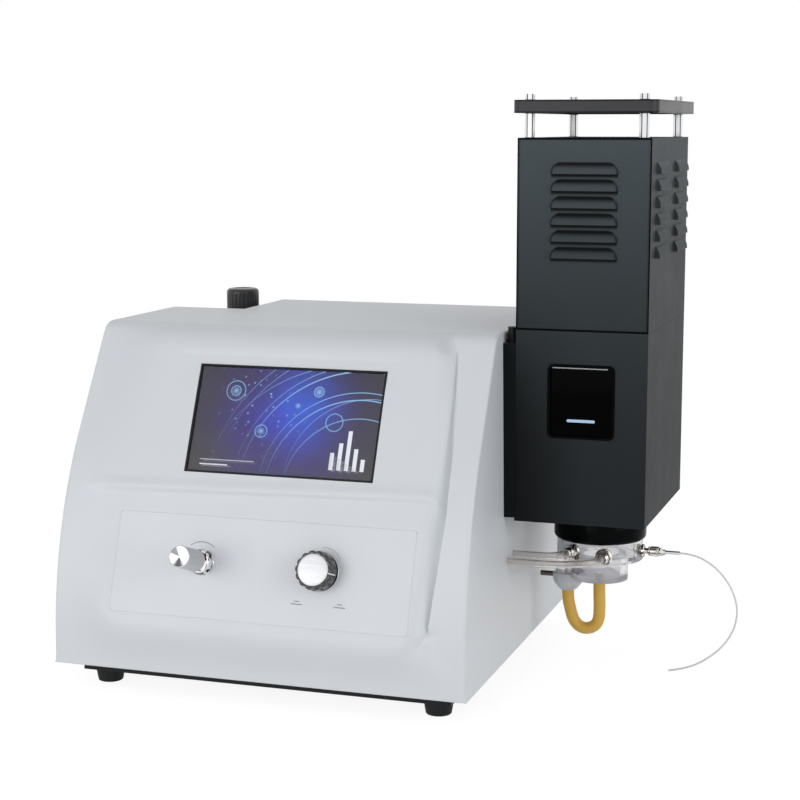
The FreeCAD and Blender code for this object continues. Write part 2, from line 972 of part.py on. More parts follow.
def control_plate():
    """The thin plate that carries both knobs."""
    holes = [
        ("-knob_offset", "knob_up", "valve_neck_radius + plate_gap"),
        ("knob_offset", "knob_up", "valve_neck_radius + plate_gap"),
    ]
    sheet = plate("plate_width", "plate_height", "plate_thickness", "plate_corner_radius", holes)
    keep("control_plate", seat(sheet, "plate"))


def display():
    """The display: its frame, touch glass and lit panel. Returns its board and four posts."""
    frame = panel_slab("display", "display_width / 2", "display_height / 2", "-lcd_back", "0")
    inner_half = "(display_width / 2 - display_border)"
    inner_rise = "(display_height / 2 - display_border)"
    hole = panel_slab("display", inner_half, inner_rise, "-lcd_back * 2", "lcd_back")
    flange = panel_slab(
        "display",
        "display_width / 2 + display_flange",
        "display_height / 2 + display_flange",
        "-panel_wall - display_flange_sheet",
        "-panel_wall",
    )
    keep("display_frame", cut(fuse(frame, flange), hole))
    half, rise = f"({inner_half} - display_gap)", f"({inner_rise} - display_gap)"
    keep("display_glass", panel_slab("display", half, rise, "-glass_back", "-display_recess"))
    keep("lit_panel", panel_slab("display", half, rise, "-lcd_back", "-glass_back"))
    board_front = "-lcd_back - board_rise"
    board_back = f"{board_front} - board_thickness"
    board_half = f"({half} - display_board_inset)"
    board_rise_up = f"({rise} - display_board_inset)"
    board = panel_slab("display", board_half, board_rise_up, board_back, board_front)
    posts = [
        rod(
            f"{across} * ({board_half} - post_inset)",
            f"{up} * ({board_rise_up} - post_inset)",
            board_front,
            "post_radius",
            "board_rise",
            local=True,
        )
        for across in (-1, 1)
        for up in (-1, 1)
    ]
    return board, seat(group(*posts), "display")


def electronics():
    """The main board on its standoffs and the power supply, on the tray's floor."""
    floor = "(foot_height + base_sheet)"
    board_z = f"({floor} + board_rise)"
    board = box(
        "board_x", "board_y", board_z, "main_board_width", "main_board_depth", "board_thickness"
    )
    chips = [
        box(
            f"board_x + main_board_width * {across}",
            f"board_y + main_board_depth * {along}",
            f"{board_z} + board_thickness",
            size,
            size,
            "chip_height",
        )
        for across, along, size in (
            (0.2, 0.25, "driver_chip"),
            (0.6, 0.3, "small_chip"),
            (0.35, 0.65, "main_chip"),
            (0.75, 0.75, "small_chip"),
        )
    ]
    display_board, display_posts = display()
    keep("circuit_boards", group(fuse(board, *chips), display_board))
    posts = [
        rod(x, y, floor, "post_radius", "board_rise")
        for x in ("board_x + post_inset", "board_x + main_board_width - post_inset")
        for y in ("board_y + post_inset", "board_y + main_board_depth - post_inset")
    ]
    keep("board_standoffs", group(*posts, display_posts))
    supply = box("supply_x", "supply_y", floor, "supply_width", "supply_depth", "supply_height")
    keep("power_supply", supply)


# ---------------------------------------------------------------- valves behind the plate
def behind_plate(label, piece, across, out="0"):
    """Names a sub-part on a knob's axis and seats it on the control plate."""
    keep(label, seat(piece, "plate", across, "knob_up", out))


def fine_valve():
    """The fine adjust needle valve: body, domed nut, needle and knurled knob."""
    axis = "-knob_offset"
    stem_bore = "fine_stem_radius + running_gap"
    floor = "(-panel_wall - valve_body_length + valve_floor)"
    body = turned(
        [
            ("port_radius", "-panel_wall - valve_body_length"),
            ("valve_body_radius", "-panel_wall - valve_body_length"),
            ("valve_body_radius", "-panel_wall"),
            ("valve_neck_radius", "-panel_wall"),
            ("valve_neck_radius", "valve_neck_length"),
            (stem_bore, "valve_neck_length"),
            (stem_bore, floor),
            ("port_radius", floor),
        ],
        local=True,
    )
    port_z = f"{floor} + port_radius * 2"
    side_port = rod("0", "0", port_z, "port_radius", "valve_body_radius + past", "X", True)
    behind_plate("fine_valve_body", cut(body, side_port), axis)
    dome = turned(
        [
            ("valve_neck_radius", "0"),
            ("fine_dome_radius", "0"),
            ("fine_dome_radius", "fine_dome_rim", "fine_dome_height"),
            ("fine_dome_top_radius", "fine_dome_height"),
            ("valve_neck_radius", "fine_dome_height"),
        ],
        local=True,
    )
    behind_plate("fine_valve_nut", dome, axis)
    seat_depth = "port_radius * fine_taper / fine_stem_radius"
    tip = f"({floor} - {seat_depth} + fine_travel_in + running_gap)"
    needle = turned(
        [
            ("0", tip),
            ("fine_stem_radius", f"{tip} + fine_taper"),
            ("fine_stem_radius", "fine_needle_top"),
            ("0", "fine_needle_top"),
        ],
        local=True,
    )
    behind_plate("fine_valve_needle", needle, axis)
    base = "(fine_dome_height + fine_clearance)"
    waist = f"({base} + fine_waist_length)"
    knob = turned(
        [
            ("fine_stem_radius", base),
            ("fine_waist_radius", base),
            ("fine_waist_radius", waist),
            ("fine_knob_radius", waist),
            ("fine_knob_radius", "fine_tip - fine_edge"),
            ("fine_knob_radius - fine_edge", "fine_tip"),
            ("0", "fine_tip - fine_edge"),
            ("0", "fine_needle_top"),
            ("fine_stem_radius", "fine_needle_top"),
        ],
        local=True,
    )
    behind_plate("fine_adjust_knob", knob, axis)


def gas_knob(top):
    """The gas knob: a skirt with scooped sides, hollow over the nut, with a D-shaped bore."""
    bottom = "(gas_push + gas_knob_clearance)"
    hollow_top = "(gas_nut_height + gas_push + face_gap)"
    bore_height = "(gas_stem_top + gas_push + face_gap)"
    flat = box(
        "gas_stem_radius - stem_flat + running_gap",
        "-gas_knob_hollow",
        "0",
        "gas_knob_hollow",
        "gas_knob_hollow * 2",
        bore_height,
        True,
    )
    round_bore = rod("0", "0", "0", "gas_stem_radius + running_gap", bore_height, local=True)
    skirt = turned(
        [
            ("gas_knob_hollow", bottom),
            ("gas_knob_radius", bottom),
            ("gas_knob_radius", f"{bottom} + gas_skirt"),
            ("gas_cap_radius + gas_rim", top),
            ("0", top),
            ("0", hollow_top),
            ("gas_knob_hollow", hollow_top),
        ],
        local=True,
    )
    scoops = []
    for index in range(SIZES["gas_lobes"]):
        scoop = rod("gas_scoop_centre", "0", bottom, "gas_scoop_radius", "gas_cap_top", local=True)
        scoops.append(turned_round(scoop, index, "gas_lobes"))
    return cut(skirt, cut(round_bore, flat), *scoops)


def gas_valve():
    """The gas cock: body with its end cover, nut, turning plug, and a knob that pushes in."""
    axis = "knob_offset"
    back = "(-panel_wall - valve_body_length)"
    front = "(-panel_wall - valve_front_wall)"
    plug_back = f"({front} - plug_length)"
    middle = f"{front} - plug_length / 2"
    stem_bore = "gas_stem_radius + running_gap"
    plug_bore = "plug_radius + running_gap"
    body = turned(
        [
            (plug_bore, back),
            ("valve_body_radius", back),
            ("valve_body_radius", "-panel_wall"),
            ("valve_neck_radius", "-panel_wall"),
            ("valve_neck_radius", "gas_nut_height"),
            (stem_bore, "gas_nut_height"),
            (stem_bore, front),
            (plug_bore, front),
        ],
        local=True,
    )
    long_way = "2 * (valve_body_radius + past)"
    ports = rod("-valve_body_radius - past", "0", middle, "port_radius", long_way, "X", True)
    cover_z = f"{back} - cover_thickness"
    inner_length = f"{plug_back} - face_gap - {back}"
    cover = fuse(
        rod("0", "0", cover_z, "valve_body_radius", "cover_thickness", local=True),
        rod("0", "0", back, "plug_radius - face_gap", inner_length, local=True),
    )
    behind_plate("gas_valve_body", group(cut(body, ports), cover), axis)
    nut = cut(
        hexagon("0", "0", "0", "gas_nut_radius", "gas_nut_height", local=True),
        rod("0", "0", "-past", "valve_neck_radius", "gas_nut_height + 2 * past", local=True),
    )
    behind_plate("gas_valve_nut", nut, axis)
    plug = fuse(
        rod("0", "0", plug_back, "plug_radius", "plug_length", local=True),
        rod("0", "0", front, "gas_stem_radius", f"gas_stem_top - {front}", local=True),
    )
    way_length = "2 * (plug_radius + past)"
    way = rod("-plug_radius - past", "0", middle, "port_radius", way_length, "X", True)
    flat = box(
        "gas_stem_radius - stem_flat",
        "-gas_stem_radius",
        "gas_nut_height",
        "stem_flat * 2",
        "gas_stem_radius * 2",
        "gas_stem_top",
        True,
    )
    behind_plate("gas_valve_plug", cut(plug, way, flat), axis)
    top = "gas_cap_top - gas_cap_thickness"
    behind_plate("gas_valve_knob", gas_knob(top), axis)
    disc = rod("0", "0", top, "gas_cap_radius", "gas_cap_thickness", local=True)
    behind_plate("gas_knob_cap", fuse(disc), axis)


# ---------------------------------------------------------------- rear side
def rear_panel():
    """The rear panel with its holes and vents. Returns its screws."""
    panel = centred(
        "rear_panel_x",
        "shell_depth",
        "rear_panel_z",
        "rear_panel_width",
        "rear_sheet",
        "rear_panel_height",
    )
    before = "shell_depth - past"
    through = "rear_sheet + 2 * past"
    holes = [
        centred("inlet_x", before, "inlet_z", "inlet_width", through, "inlet_height"),
        centred("switch_x", before, "inlet_z", "switch_width", through, "switch_height"),
        rod("gas_inlet_x", before, "inlet_z", "gas_inlet_radius", through, "Y"),
    ]
    shank_y = "rear_y - rear_screw_length"
    screws = []
    for x, z in rear_screw_places():
        holes.append(rod(x, before, z, "rear_screw_radius", through, "Y"))
        head = rod(x, "rear_y", z, "rear_screw_head_radius", "rear_screw_head", "Y")
        shank = rod(x, shank_y, z, "rear_screw_radius", "rear_screw_length", "Y")
        screws.append(fuse(head, shank))
    for column in range(SIZES["vent_count"]):
        x = f"vent_x + {column} * vent_pitch"
        holes.append(box(x, before, "vent_z", "vent_width", through, "vent_height"))
    keep("rear_panel", cut(panel, *holes))
    return screws


def cabinet_screws():
    """The screws of the feet and of the rear panel."""
    keep("cabinet_screws", group(*base_and_feet(), *rear_panel()))


def power_inlet():
    """The mains inlet with its three blades, and the fuse drawer under the socket."""
    mouth_y = "(rear_y + inlet_flange)"
    flange = centred(
        "inlet_x",
        "rear_y",
        "inlet_z",
        "inlet_width + 2 * inlet_rim",
        "inlet_flange",
        "inlet_height + 2 * inlet_rim",
    )
    body = centred(
        "inlet_x",
        "rear_y - inlet_depth",
        "inlet_z",
        "inlet_width - 2 * plate_gap",
        "inlet_depth",
        "inlet_height - 2 * plate_gap",
    )
    socket_z = "(inlet_z + (inlet_height - socket_height) / 2 - inlet_wall)"
    socket_y = f"{mouth_y} - socket_depth"
    socket = centred(
        "inlet_x", socket_y, socket_z, "socket_width", "socket_depth + past", "socket_height"
    )
    drawer_z = "(inlet_z - (inlet_height - drawer_height) / 2 + inlet_wall)"
    drawer_y = f"({mouth_y} - drawer_depth)"
    drawer_space = centred(
        "inlet_x", drawer_y, drawer_z, "drawer_width", "drawer_depth + past", "drawer_height"
    )
    blades = [
        centred(
            f"inlet_x + {across} * blade_pitch",
            socket_y,
            f"{socket_z} + {rise} * blade_rise",
            "blade_width",
            "blade_length",
            "blade_height",
        )
        for across, rise in ((-1, -1), (0, 1), (1, -1))
    ]
    keep("power_inlet", fuse(cut(fuse(flange, body), socket, drawer_space), *blades))
    drawer = centred(
        "inlet_x",
        f"{drawer_y} + drawer_gap",
        drawer_z,
        "drawer_width - 2 * drawer_gap",
        "drawer_depth - drawer_gap",
        "drawer_height - 2 * drawer_gap",
    )
    fuse_y = f"{drawer_y} + inlet_wall + fuse_radius"
    fuse_z = f"{drawer_z} - drawer_height / 2 + inlet_wall + fuse_radius"
    fuse_bed = box(
        "inlet_x - fuse_length / 2 - drawer_gap",
        f"{fuse_y} - fuse_radius - drawer_gap",
        f"{fuse_z} - fuse_radius",
        "fuse_length + 2 * drawer_gap",
        "2 * (fuse_radius + drawer_gap)",
        "drawer_height",
    )
    lip_z = f"{drawer_z} - drawer_height / 3"
    lip = centred(
        "inlet_x", mouth_y, lip_z, "drawer_width / 2", "drawer_lip", "drawer_height / 4"
    )
    glass = rod("inlet_x - fuse_length / 2", fuse_y, fuse_z, "fuse_radius", "fuse_length", "X")
    keep("fuse_drawer", group(fuse(cut(drawer, fuse_bed), lip), glass))


def mains_switch():
    """The mains switch: its frame and the rocker on a pin."""
    frame = fuse(
        centred(
            "switch_x",
            "rear_y",
            "inlet_z",
            "switch_width + 2 * switch_rim",
            "switch_flange",
            "switch_height + 2 * switch_rim",
        ),
        centred(
            "switch_x",
            "rear_y - switch_depth",
            "inlet_z",
            "switch_width - 2 * plate_gap",
            "switch_depth",
            "switch_height - 2 * plate_gap",
        ),
    )
    well = centred(
        "switch_x",
        "rear_y - switch_depth + switch_floor",
        "inlet_z",
        "rocker_width + 2 * rocker_gap",
        "switch_depth * 2",
        "rocker_height + 2 * rocker_end_gap",
    )
    pin_x = "switch_x - switch_width / 2 + rocker_pin_wall"
    pin_space = "switch_width - 2 * rocker_pin_wall"
    pin_bore = "rocker_pin_radius + running_gap"
    keep("switch_frame", cut(frame, well, rod(pin_x, "rear_y", "inlet_z", pin_bore, pin_space, "X")))
    rocker = prism(
        [
            ("rocker_back", "-rocker_height / 2"),
            ("rocker_front", "-rocker_height / 2"),
            ("rocker_middle", "0"),
            ("rocker_front", "rocker_height / 2"),
            ("rocker_back", "rocker_height / 2"),
        ],
        "rocker_width",
        x="switch_x - rocker_width / 2",
        y="rear_y",
        z="inlet_z",
        turn="side",
    )
    pin_length = f"{pin_space} - 2 * face_gap"
    pin = rod(f"{pin_x} + face_gap", "rear_y", "inlet_z", "rocker_pin_radius", pin_length, "X")
    keep("power_rocker", fuse(rocker, pin))


def inlet_barb(x, y, z, inside):
    """A hose connector through a wall: a hexagon outside, a barbed stem and a fixed tail."""
    stem_y = f"{y} + barb_hexagon"
    pieces = [
        hexagon(x, y, z, "barb_hexagon_radius", "barb_hexagon", "Y"),
        rod(x, stem_y, z, "barb_radius - barb_step", "barb_length", "Y"),
        rod(x, stem_y, z, "barb_radius", "barb_length - barb_count * barb_pitch", "Y"),
        rod(x, f"{y} - {inside}", z, "gas_inlet_radius", inside, "Y"),
    ]
    for index in range(SIZES["barb_count"]):
        start = f"{stem_y} + barb_length - ({index} + 1) * barb_pitch"
        pieces.append(cone(x, start, z, "barb_radius", "barb_radius - barb_step", "barb_pitch", "Y"))
    bore_length = f"{inside} + barb_hexagon + barb_length + 2 * past"
    return cut(fuse(*pieces), rod(x, f"{y} - {inside} - past", z, "port_radius", bore_length, "Y"))


# ---------------------------------------------------------------- regulator bay
def regulator():
    """The air regulator in the bay: body, bonnet, bowl, spindle, locking knob and bracket."""
    x, y = "-regulator_x", "regulator_y"
    half = "regulator_width / 2"
    block = box(
        f"{x} - {half}",
        f"{y} - {half}",
        "regulator_bottom_z",
        "regulator_width",
        "regulator_width",
        "regulator_body_height",
    )
    neck_bore = "bowl_neck_radius + running_gap"
    across = "regulator_width + 2 * past"
    socket_y = f"{y} + {half} - regulator_port_depth"
    ways = [
        rod(x, y, "regulator_bottom_z - past", neck_bore, "bowl_neck_height + past"),
        rod(x, f"{y} - {half} - past", "regulator_port_z", "port_radius", across, "Y"),
        rod(x, socket_y, "regulator_port_z", "gas_inlet_radius", "regulator_port_depth + past", "Y"),
        rod(x, y, "regulator_bottom_z", "port_radius", "regulator_body_height + past"),
    ]
    keep("regulator_body", cut(block, *ways))
    bonnet_top = "(regulator_top_z + bonnet_height)"
    spindle_bore = "spindle_radius + running_gap"
    bonnet = turned(
        [
            (spindle_bore, "regulator_top_z + bonnet_floor"),
            ("port_radius", "regulator_top_z + bonnet_floor"),
            ("port_radius", "regulator_top_z"),
            ("bonnet_radius", "regulator_top_z"),
            ("bonnet_radius", bonnet_top),
            (spindle_bore, bonnet_top),
        ],
        x,
        y,
    )
    keep("regulator_bonnet", bonnet)
    start = "(regulator_top_z + bonnet_floor + face_gap)"
    shaft_length = f"{bonnet_top} + spindle_rise - {start}"
    keep("regulator_spindle", fuse(rod(x, y, start, "spindle_radius", shaft_length)))
    keep("regulator_knob", regulator_knob(x, y, bonnet_top))
    keep("regulator_bowl", regulator_bowl(x, y))
    arm_x = f"({x} + {half})"
    arm_y = f"{y} - bracket_width / 2"
    arm_z = "regulator_bottom_z + bracket_rise"
    reach = f"-bay_wall_x - {arm_x}"
    foot_x = "-bay_wall_x - bracket_sheet"
    bracket = [
        box(arm_x, arm_y, arm_z, reach, "bracket_width", "bracket_sheet"),
        box(foot_x, arm_y, arm_z, "bracket_sheet", "bracket_width", "bracket_height"),
        box(arm_x, arm_y, arm_z, "bracket_sheet", "bracket_width", "bracket_height"),
    ]
    keep("regulator_bracket", fuse(*bracket))
    air = inlet_barb(x, f"{y} + {half}", "regulator_port_z", "regulator_port_depth")
    gas = inlet_barb("gas_inlet_x", "rear_y", "inlet_z", "gas_inlet_tail")
    keep("hose_inlets", group(air, gas))


def regulator_knob(x, y, bonnet_top):
    """The knob that covers the bonnet, with fine flutes round its side."""
    bottom = "(regulator_knob_top_z - regulator_knob_height)"
    inner = "bonnet_radius + knob_gap"
    spindle_bore = "spindle_radius + running_gap"
    knob = turned(
        [
            (inner, bottom),
            ("regulator_knob_radius", bottom),
            ("regulator_knob_radius", "regulator_knob_top_z - knob_edge", "knob_edge"),
            ("regulator_knob_radius - knob_edge", "regulator_knob_top_z"),
            ("0", "regulator_knob_top_z"),
            ("0", "regulator_knob_top_z - knob_roof"),
            (spindle_bore, "regulator_knob_top_z - knob_roof"),
            (spindle_bore, f"{bonnet_top} + face_gap"),
            (inner, f"{bonnet_top} + face_gap"),
        ],
        x,
        y,
    )
    flute_length = "regulator_knob_height - knob_edge * 2"
    flutes = []
    for index in range(SIZES["knob_flutes"]):
        flute = rod("regulator_knob_radius", "0", bottom, "knob_flute", flute_length, local=True)
        flutes.append(turned_round(flute, index, "knob_flutes", x, y))
    return cut(knob, *flutes)


def regulator_bowl(x, y):
    """The clear bowl that catches water, screwed into the body from below."""
    bottom = "(regulator_bottom_z - bowl_height)"
    inner = "bowl_neck_radius - bowl_wall"
    return turned(
        [
            ("0", bottom),
            ("bowl_radius - bowl_dome", bottom, "bowl_dome"),
            ("bowl_radius", f"{bottom} + bowl_dome"),
            ("bowl_radius", "regulator_bottom_z"),
            ("bowl_neck_radius", "regulator_bottom_z"),
            ("bowl_neck_radius", "regulator_bottom_z + bowl_neck_height"),
            (inner, "regulator_bottom_z + bowl_neck_height"),
            (inner, f"{bottom} + bowl_wall * 2"),
            ("0", f"{bottom} + bowl_wall * 2"),
        ],
        x,
        y,
    )


# ---------------------------------------------------------------- optics
def beam_rod(x, radius, length):
    """A rod along X on the light beam's axis."""
    return rod(x, "burner_y", "beam_z", radius, length, "X")


def optics():
    """The light path from the flame: tube, lens, filter and detector inside the right wall."""
    start = "(tower_x - optics_tube_length)"
    wall_x = "(half_base - shell_wall - shell_draft_inset)"
    flange_x = f"{wall_x} - optics_flange"
    tube = fuse(
        beam_rod(start, "optics_tube_radius", "optics_tube_length"),
        beam_rod(flange_x, "optics_flange_radius", "optics_flange"),
    )
    way = beam_rod(f"{start} - past", "beam_radius", "optics_tube_length + 2 * past")
    keep("optics_tube", cut(tube, way))
    left_ball = f"{start} + lens_place + lens_thickness / 2 - lens_curve"
    right_ball = f"{start} + lens_place - lens_thickness / 2 + lens_curve"
    lens = common(
        ball(left_ball, "burner_y", "beam_z", "lens_curve"),
        ball(right_ball, "burner_y", "beam_z", "lens_curve"),
    )
    rim = beam_rod(f"{start} + lens_place - lens_thickness", "beam_radius", "lens_thickness * 2")
    keep("lens", common(lens, rim))
    holder_x = f"({start} - filter_depth)"
    low_y, low_z = "burner_y - filter_width / 2", "beam_z - filter_width / 2"
    slot_half = "beam_radius + filter_wall"
    slot_depth = "filter_depth - 2 * filter_wall"
    holder = cut(
        box(holder_x, low_y, low_z, "filter_depth", "filter_width", "filter_width"),
        beam_rod(f"{holder_x} - past", "beam_radius", "filter_depth + 2 * past"),
        box(
            f"{holder_x} + filter_wall",
            f"burner_y - ({slot_half})",
            f"beam_z - ({slot_half})",
            slot_depth,
            f"2 * ({slot_half})",
            "filter_width",
        ),
    )
    keep("filter_holder", holder)
    glass_half = f"{slot_half} - face_gap"
    glass = box(
        f"{holder_x} + filter_wall",
        f"burner_y - ({glass_half})",
        f"beam_z - ({slot_half})",
        slot_depth,
        f"2 * ({glass_half})",
        f"2 * ({glass_half})",
    )
    keep("optical_filter", fuse(glass))
    can_x = f"{holder_x} - detector_length"
    can = beam_rod(can_x, slot_half, "detector_length")
    board_x = f"{can_x} - board_thickness"
    board = box(board_x, low_y, low_z, "board_thickness", "filter_width", "filter_width")
    keep("photodetector", fuse(can, board))


# ---------------------------------------------------------------- burner housing and chimney
def tower_box(inset, z, height, front="0"):
    """A box as wide and deep as the tower, drawn in by inset; its front may stand further in."""
    return box(
        f"tower_x + {inset}",
        f"tower_front_y + {inset} + {front}",
        z,
        f"tower_width - 2 * ({inset})",
        f"tower_depth - 2 * ({inset}) - {front}",
        height,
    )


def side_block():
    """The block that carries the housing on the cabinet's right wall."""
    root_x = "half_base - side_block_root"
    block = box(
        root_x,
        "tower_front_y",
        "side_block_bottom_z",
        f"tower_x - ({root_x})",
        "tower_depth",
        "side_block_top_z - side_block_bottom_z",
    )
    cabinet = cut(
        prism(side_outline("0"), "shell_base_width", x="-half_base", turn="side"),
        draft_wedge(1),
    )
    ways = [
        beam_rod(root_x, "optics_tube_radius + face_gap", f"tower_x - ({root_x}) + past"),
        rod("boot_x", "igniter_y", "electrode_z", "electrode_radius", "side_gap", "X"),
    ]
    keep("side_block", cut(block, cabinet, *ways))


def burner_housing():
    """The sheet box round the burner, with its peep window, and the rim the chimney sits on."""
    height = "seam_z - housing_bottom_z"
    walls = cut(
        tower_box("0", "housing_bottom_z", height),
        tower_box("sheet", "housing_bottom_z + sheet", height),
    )
    rim_z = "seam_z - spigot_root"
    rim_height = "spigot_root + spigot_height"
    rim = cut(
        fuse(
            tower_box("sheet", rim_z, "spigot_root"),
            tower_box("sheet + lift_gap", rim_z, rim_height, "front_inset"),
        ),
        tower_box("sheet * 2 + lift_gap", f"{rim_z} - past", f"{rim_height} + 2 * past", "front_inset"),
    )
    through = "sheet + 2 * past"
    side = "tower_x - past"
    openings = [
        centred(
            "burner_x", "tower_front_y - past", "window_z", "window_width", through, "window_height"
        ),
        rod("burner_x", "burner_y", "housing_bottom_z - past", "neck_radius + face_gap", through),
        beam_rod(side, "beam_radius", through),
        rod(side, "igniter_y", "electrode_z", "electrode_radius", through, "X"),
    ]
    keep("burner_housing", cut(fuse(walls, rim), *openings))


def peep_window():
    """The window's gasket frame and its glass."""

    def pane(grow, y, depth):
        width, height = f"window_width + 2 * ({grow})", f"window_height + 2 * ({grow})"
        return centred("burner_x", y, "window_z", width, depth, height)

    back = "(tower_front_y + sheet)"
    glass_y = f"{back} + window_frame_depth - window_glass"
    frame = fuse(
        pane("-pane_gap", "tower_front_y", "sheet"),
        pane("window_lip", back, "window_frame_depth"),
    )
    mouth = pane("-window_lip", "tower_front_y - past", "sheet + window_frame_depth + 2 * past")
    keep("window_frame", cut(frame, mouth, pane("0", glass_y, "window_glass + past")))
    keep("window_glass", pane("-pane_gap", glass_y, "window_glass"))


def louvre(out, wall, start, width, z, turn):
    """One pressed louvre as a hood and the hollow under it, out from a wall's outer face.

    out is 1 or -1 along the sketch's first axis, and the width runs along its normal."""
    height = "louvre_height"
    inside = f"-({out}) * sheet"
    bulge = f"({out}) * louvre_bulge"
    hood = [(inside, "0"), (f"({out}) * louvre_proud", "0", bulge), ("0", height), (inside, height)]
    hollow = [
        (f"2 * {inside}", "0"),
        (f"({out}) * (louvre_proud - sheet)", "0", bulge),
        (inside, f"{height} - 1.5 * sheet"),
        (f"2 * {inside}", f"{height} - 1.5 * sheet"),
    ]
    inner_width = f"{width} - 2 * sheet"
    if turn == "side":
        outer, inner = (start, wall), (f"{start} + sheet", wall)
    else:
        outer, inner = (wall, f"{start} + {width}"), (wall, f"{start} + {width} - sheet")
    return prism(hood, width, *outer, z, turn), prism(hollow, inner_width, *inner, z, turn)


def louvre_rows():
    """The height of each louvre's lower edge."""
    return [f"(louvre_low_z + {row} * louvre_pitch)" for row in range(SIZES["louvre_count"])]


def chimney():
    """The lift-off chimney: a three-sided shell with side louvres, and its front sheet."""
    height = "tower_top_z - seam_z"
    front_face = "(tower_front_y + front_inset)"
    outer = tower_box("0", "seam_z", height)
    hollow = tower_box("sheet", "seam_z - past", f"{height} - sheet + past")
    front_open = box(
        "tower_x + sheet",
        "tower_front_y - past",
        "seam_z - past",
        "tower_width - 2 * sheet",
        "sheet + 2 * past",
        f"{height} + 2 * past",
    )
    lips = [
        box(
            x,
            f"{front_face} + sheet",
            "seam_z + spigot_height + face_gap",
            "front_lip",
            "sheet",
            f"{height} - spigot_height - face_gap",
        )
        for x in ("tower_x", "tower_right_x - front_lip")
    ]
    roof_open = tower_box("roof_rim", "tower_top_z - sheet - past", "sheet + 2 * past")
    hoods, hollows = [], []
    for z in louvre_rows():
        for column in (0, 1):
            start = f"tower_front_y + side_louvre_first + {column} * side_louvre_pitch"
            for out, wall in ((1, "tower_right_x"), (-1, "tower_x")):
                hood, space = louvre(out, wall, start, "side_louvre_width", z, "-Y")
                hoods.append(hood)
                hollows.append(space)
    body = fuse(cut(outer, hollow, front_open), *lips, *hoods)
    keep("chimney_shell", cut(body, roof_open, *hollows))
    sheet_width = "(tower_width - 2 * sheet - 2 * lift_gap)"
    panel = box("tower_x + sheet + lift_gap", front_face, "seam_z", sheet_width, "sheet", height)
    hoods, hollows = [], []
    for z in louvre_rows():
        start = "burner_x - louvre_width / 2"
        hood, space = louvre(-1, front_face, start, "louvre_width", z, "side")
        hoods.append(hood)
        hollows.append(space)
    keep("chimney_front", cut(fuse(panel, *hoods), *hollows))


def cap():
    """The cap over the chimney, on four hexagon posts with a screw through each corner."""
    roof_width = "tower_width + 2 * cap_overhang"
    roof_depth = "tower_depth + 2 * cap_overhang"
    roof = plate(roof_width, roof_depth, "cap_thickness", "cap_radius")
    place(roof, "burner_x", "tower_front_y + tower_depth / 2", "cap_top_z")
    pan = tower_box("0", "cap_z - past", "cap_thickness - sheet + past")
    under = "(cap_top_z - sheet)"
    screw_z = f"{under} - cap_screw_length"
    posts, screws, holes = [], [], []
    for x in ("tower_x + cap_post_inset", "tower_right_x - cap_post_inset"):
        for y in ("tower_front_y + cap_post_inset", "tower_rear_y - cap_post_inset"):
            post = hexagon(x, y, "tower_top_z", "cap_post_radius", f"{under} - tower_top_z")
            tapped = rod(x, y, screw_z, "cap_screw_radius", "cap_screw_length + past")
            posts.append(cut(post, tapped))
            holes.append(rod(x, y, f"{under} - past", "cap_screw_radius", "sheet + 2 * past"))
            head = hexagon(x, y, "cap_top_z", "cap_post_radius", "cap_screw_head")
            shank = rod(x, y, screw_z, "cap_screw_radius", "cap_screw_length + sheet")
            screws.append(fuse(head, shank))
    keep("cap_plate", cut(roof, pan, *holes))
    keep("cap_posts", group(*posts))
    keep("cap_screws", group(*screws))


# ---------------------------------------------------------------- burner and mixing chamber
def burner():
    """The black collar, and the burner tube with its perforated head."""
    bore = "neck_radius + running_gap"
    outline = ring(bore, "collar_radius", "collar_bottom_z", "housing_bottom_z")
    keep("burner_collar", turned(outline, "burner_x", "burner_y"))
    head = turned(
        [
            ("burner_bore", "collar_bottom_z"),
            ("neck_radius", "collar_bottom_z"),
            ("neck_radius", "burner_head_z"),
            ("burner_head_radius", "burner_head_z"),
            ("burner_head_radius", "burner_top_z"),
            ("0", "burner_top_z"),
            ("0", "burner_top_z - burner_roof"),
            ("burner_bore", "burner_top_z - burner_roof"),
        ],
        "burner_x",
        "burner_y",
    )
    jet_z = "burner_top_z - burner_roof - past"
    jets = []
    for radius, count in (("jet_inner_ring", 6), ("jet_outer_ring", 12)):
        for index in range(count):
            jet = rod(radius, "0", jet_z, "jet_radius", "burner_roof + 2 * past", local=True)
            jets.append(turned_round(jet, index, count, "burner_x", "burner_y"))
    keep("burner_head", cut(head, *jets))


def igniter():
    """The igniter: its lead's boot on the side block, and the electrode beside the burner."""
    boot = fuse(
        rod("boot_x", "boot_y", "side_block_top_z", "boot_radius", "boot_height"),
        rod("boot_x", "boot_y", "side_block_top_z", "boot_flange_radius", "boot_flange"),
    )
    ceramic = rod(
        "boot_x", "igniter_y", "electrode_z", "electrode_radius", "electrode_length", "X"
    )
    wire_x = "boot_x + electrode_length"
    wire = rod(wire_x, "igniter_y", "electrode_z", "wire_radius", "wire_length", "X")
    keep("igniter", group(boot, fuse(ceramic, wire)))


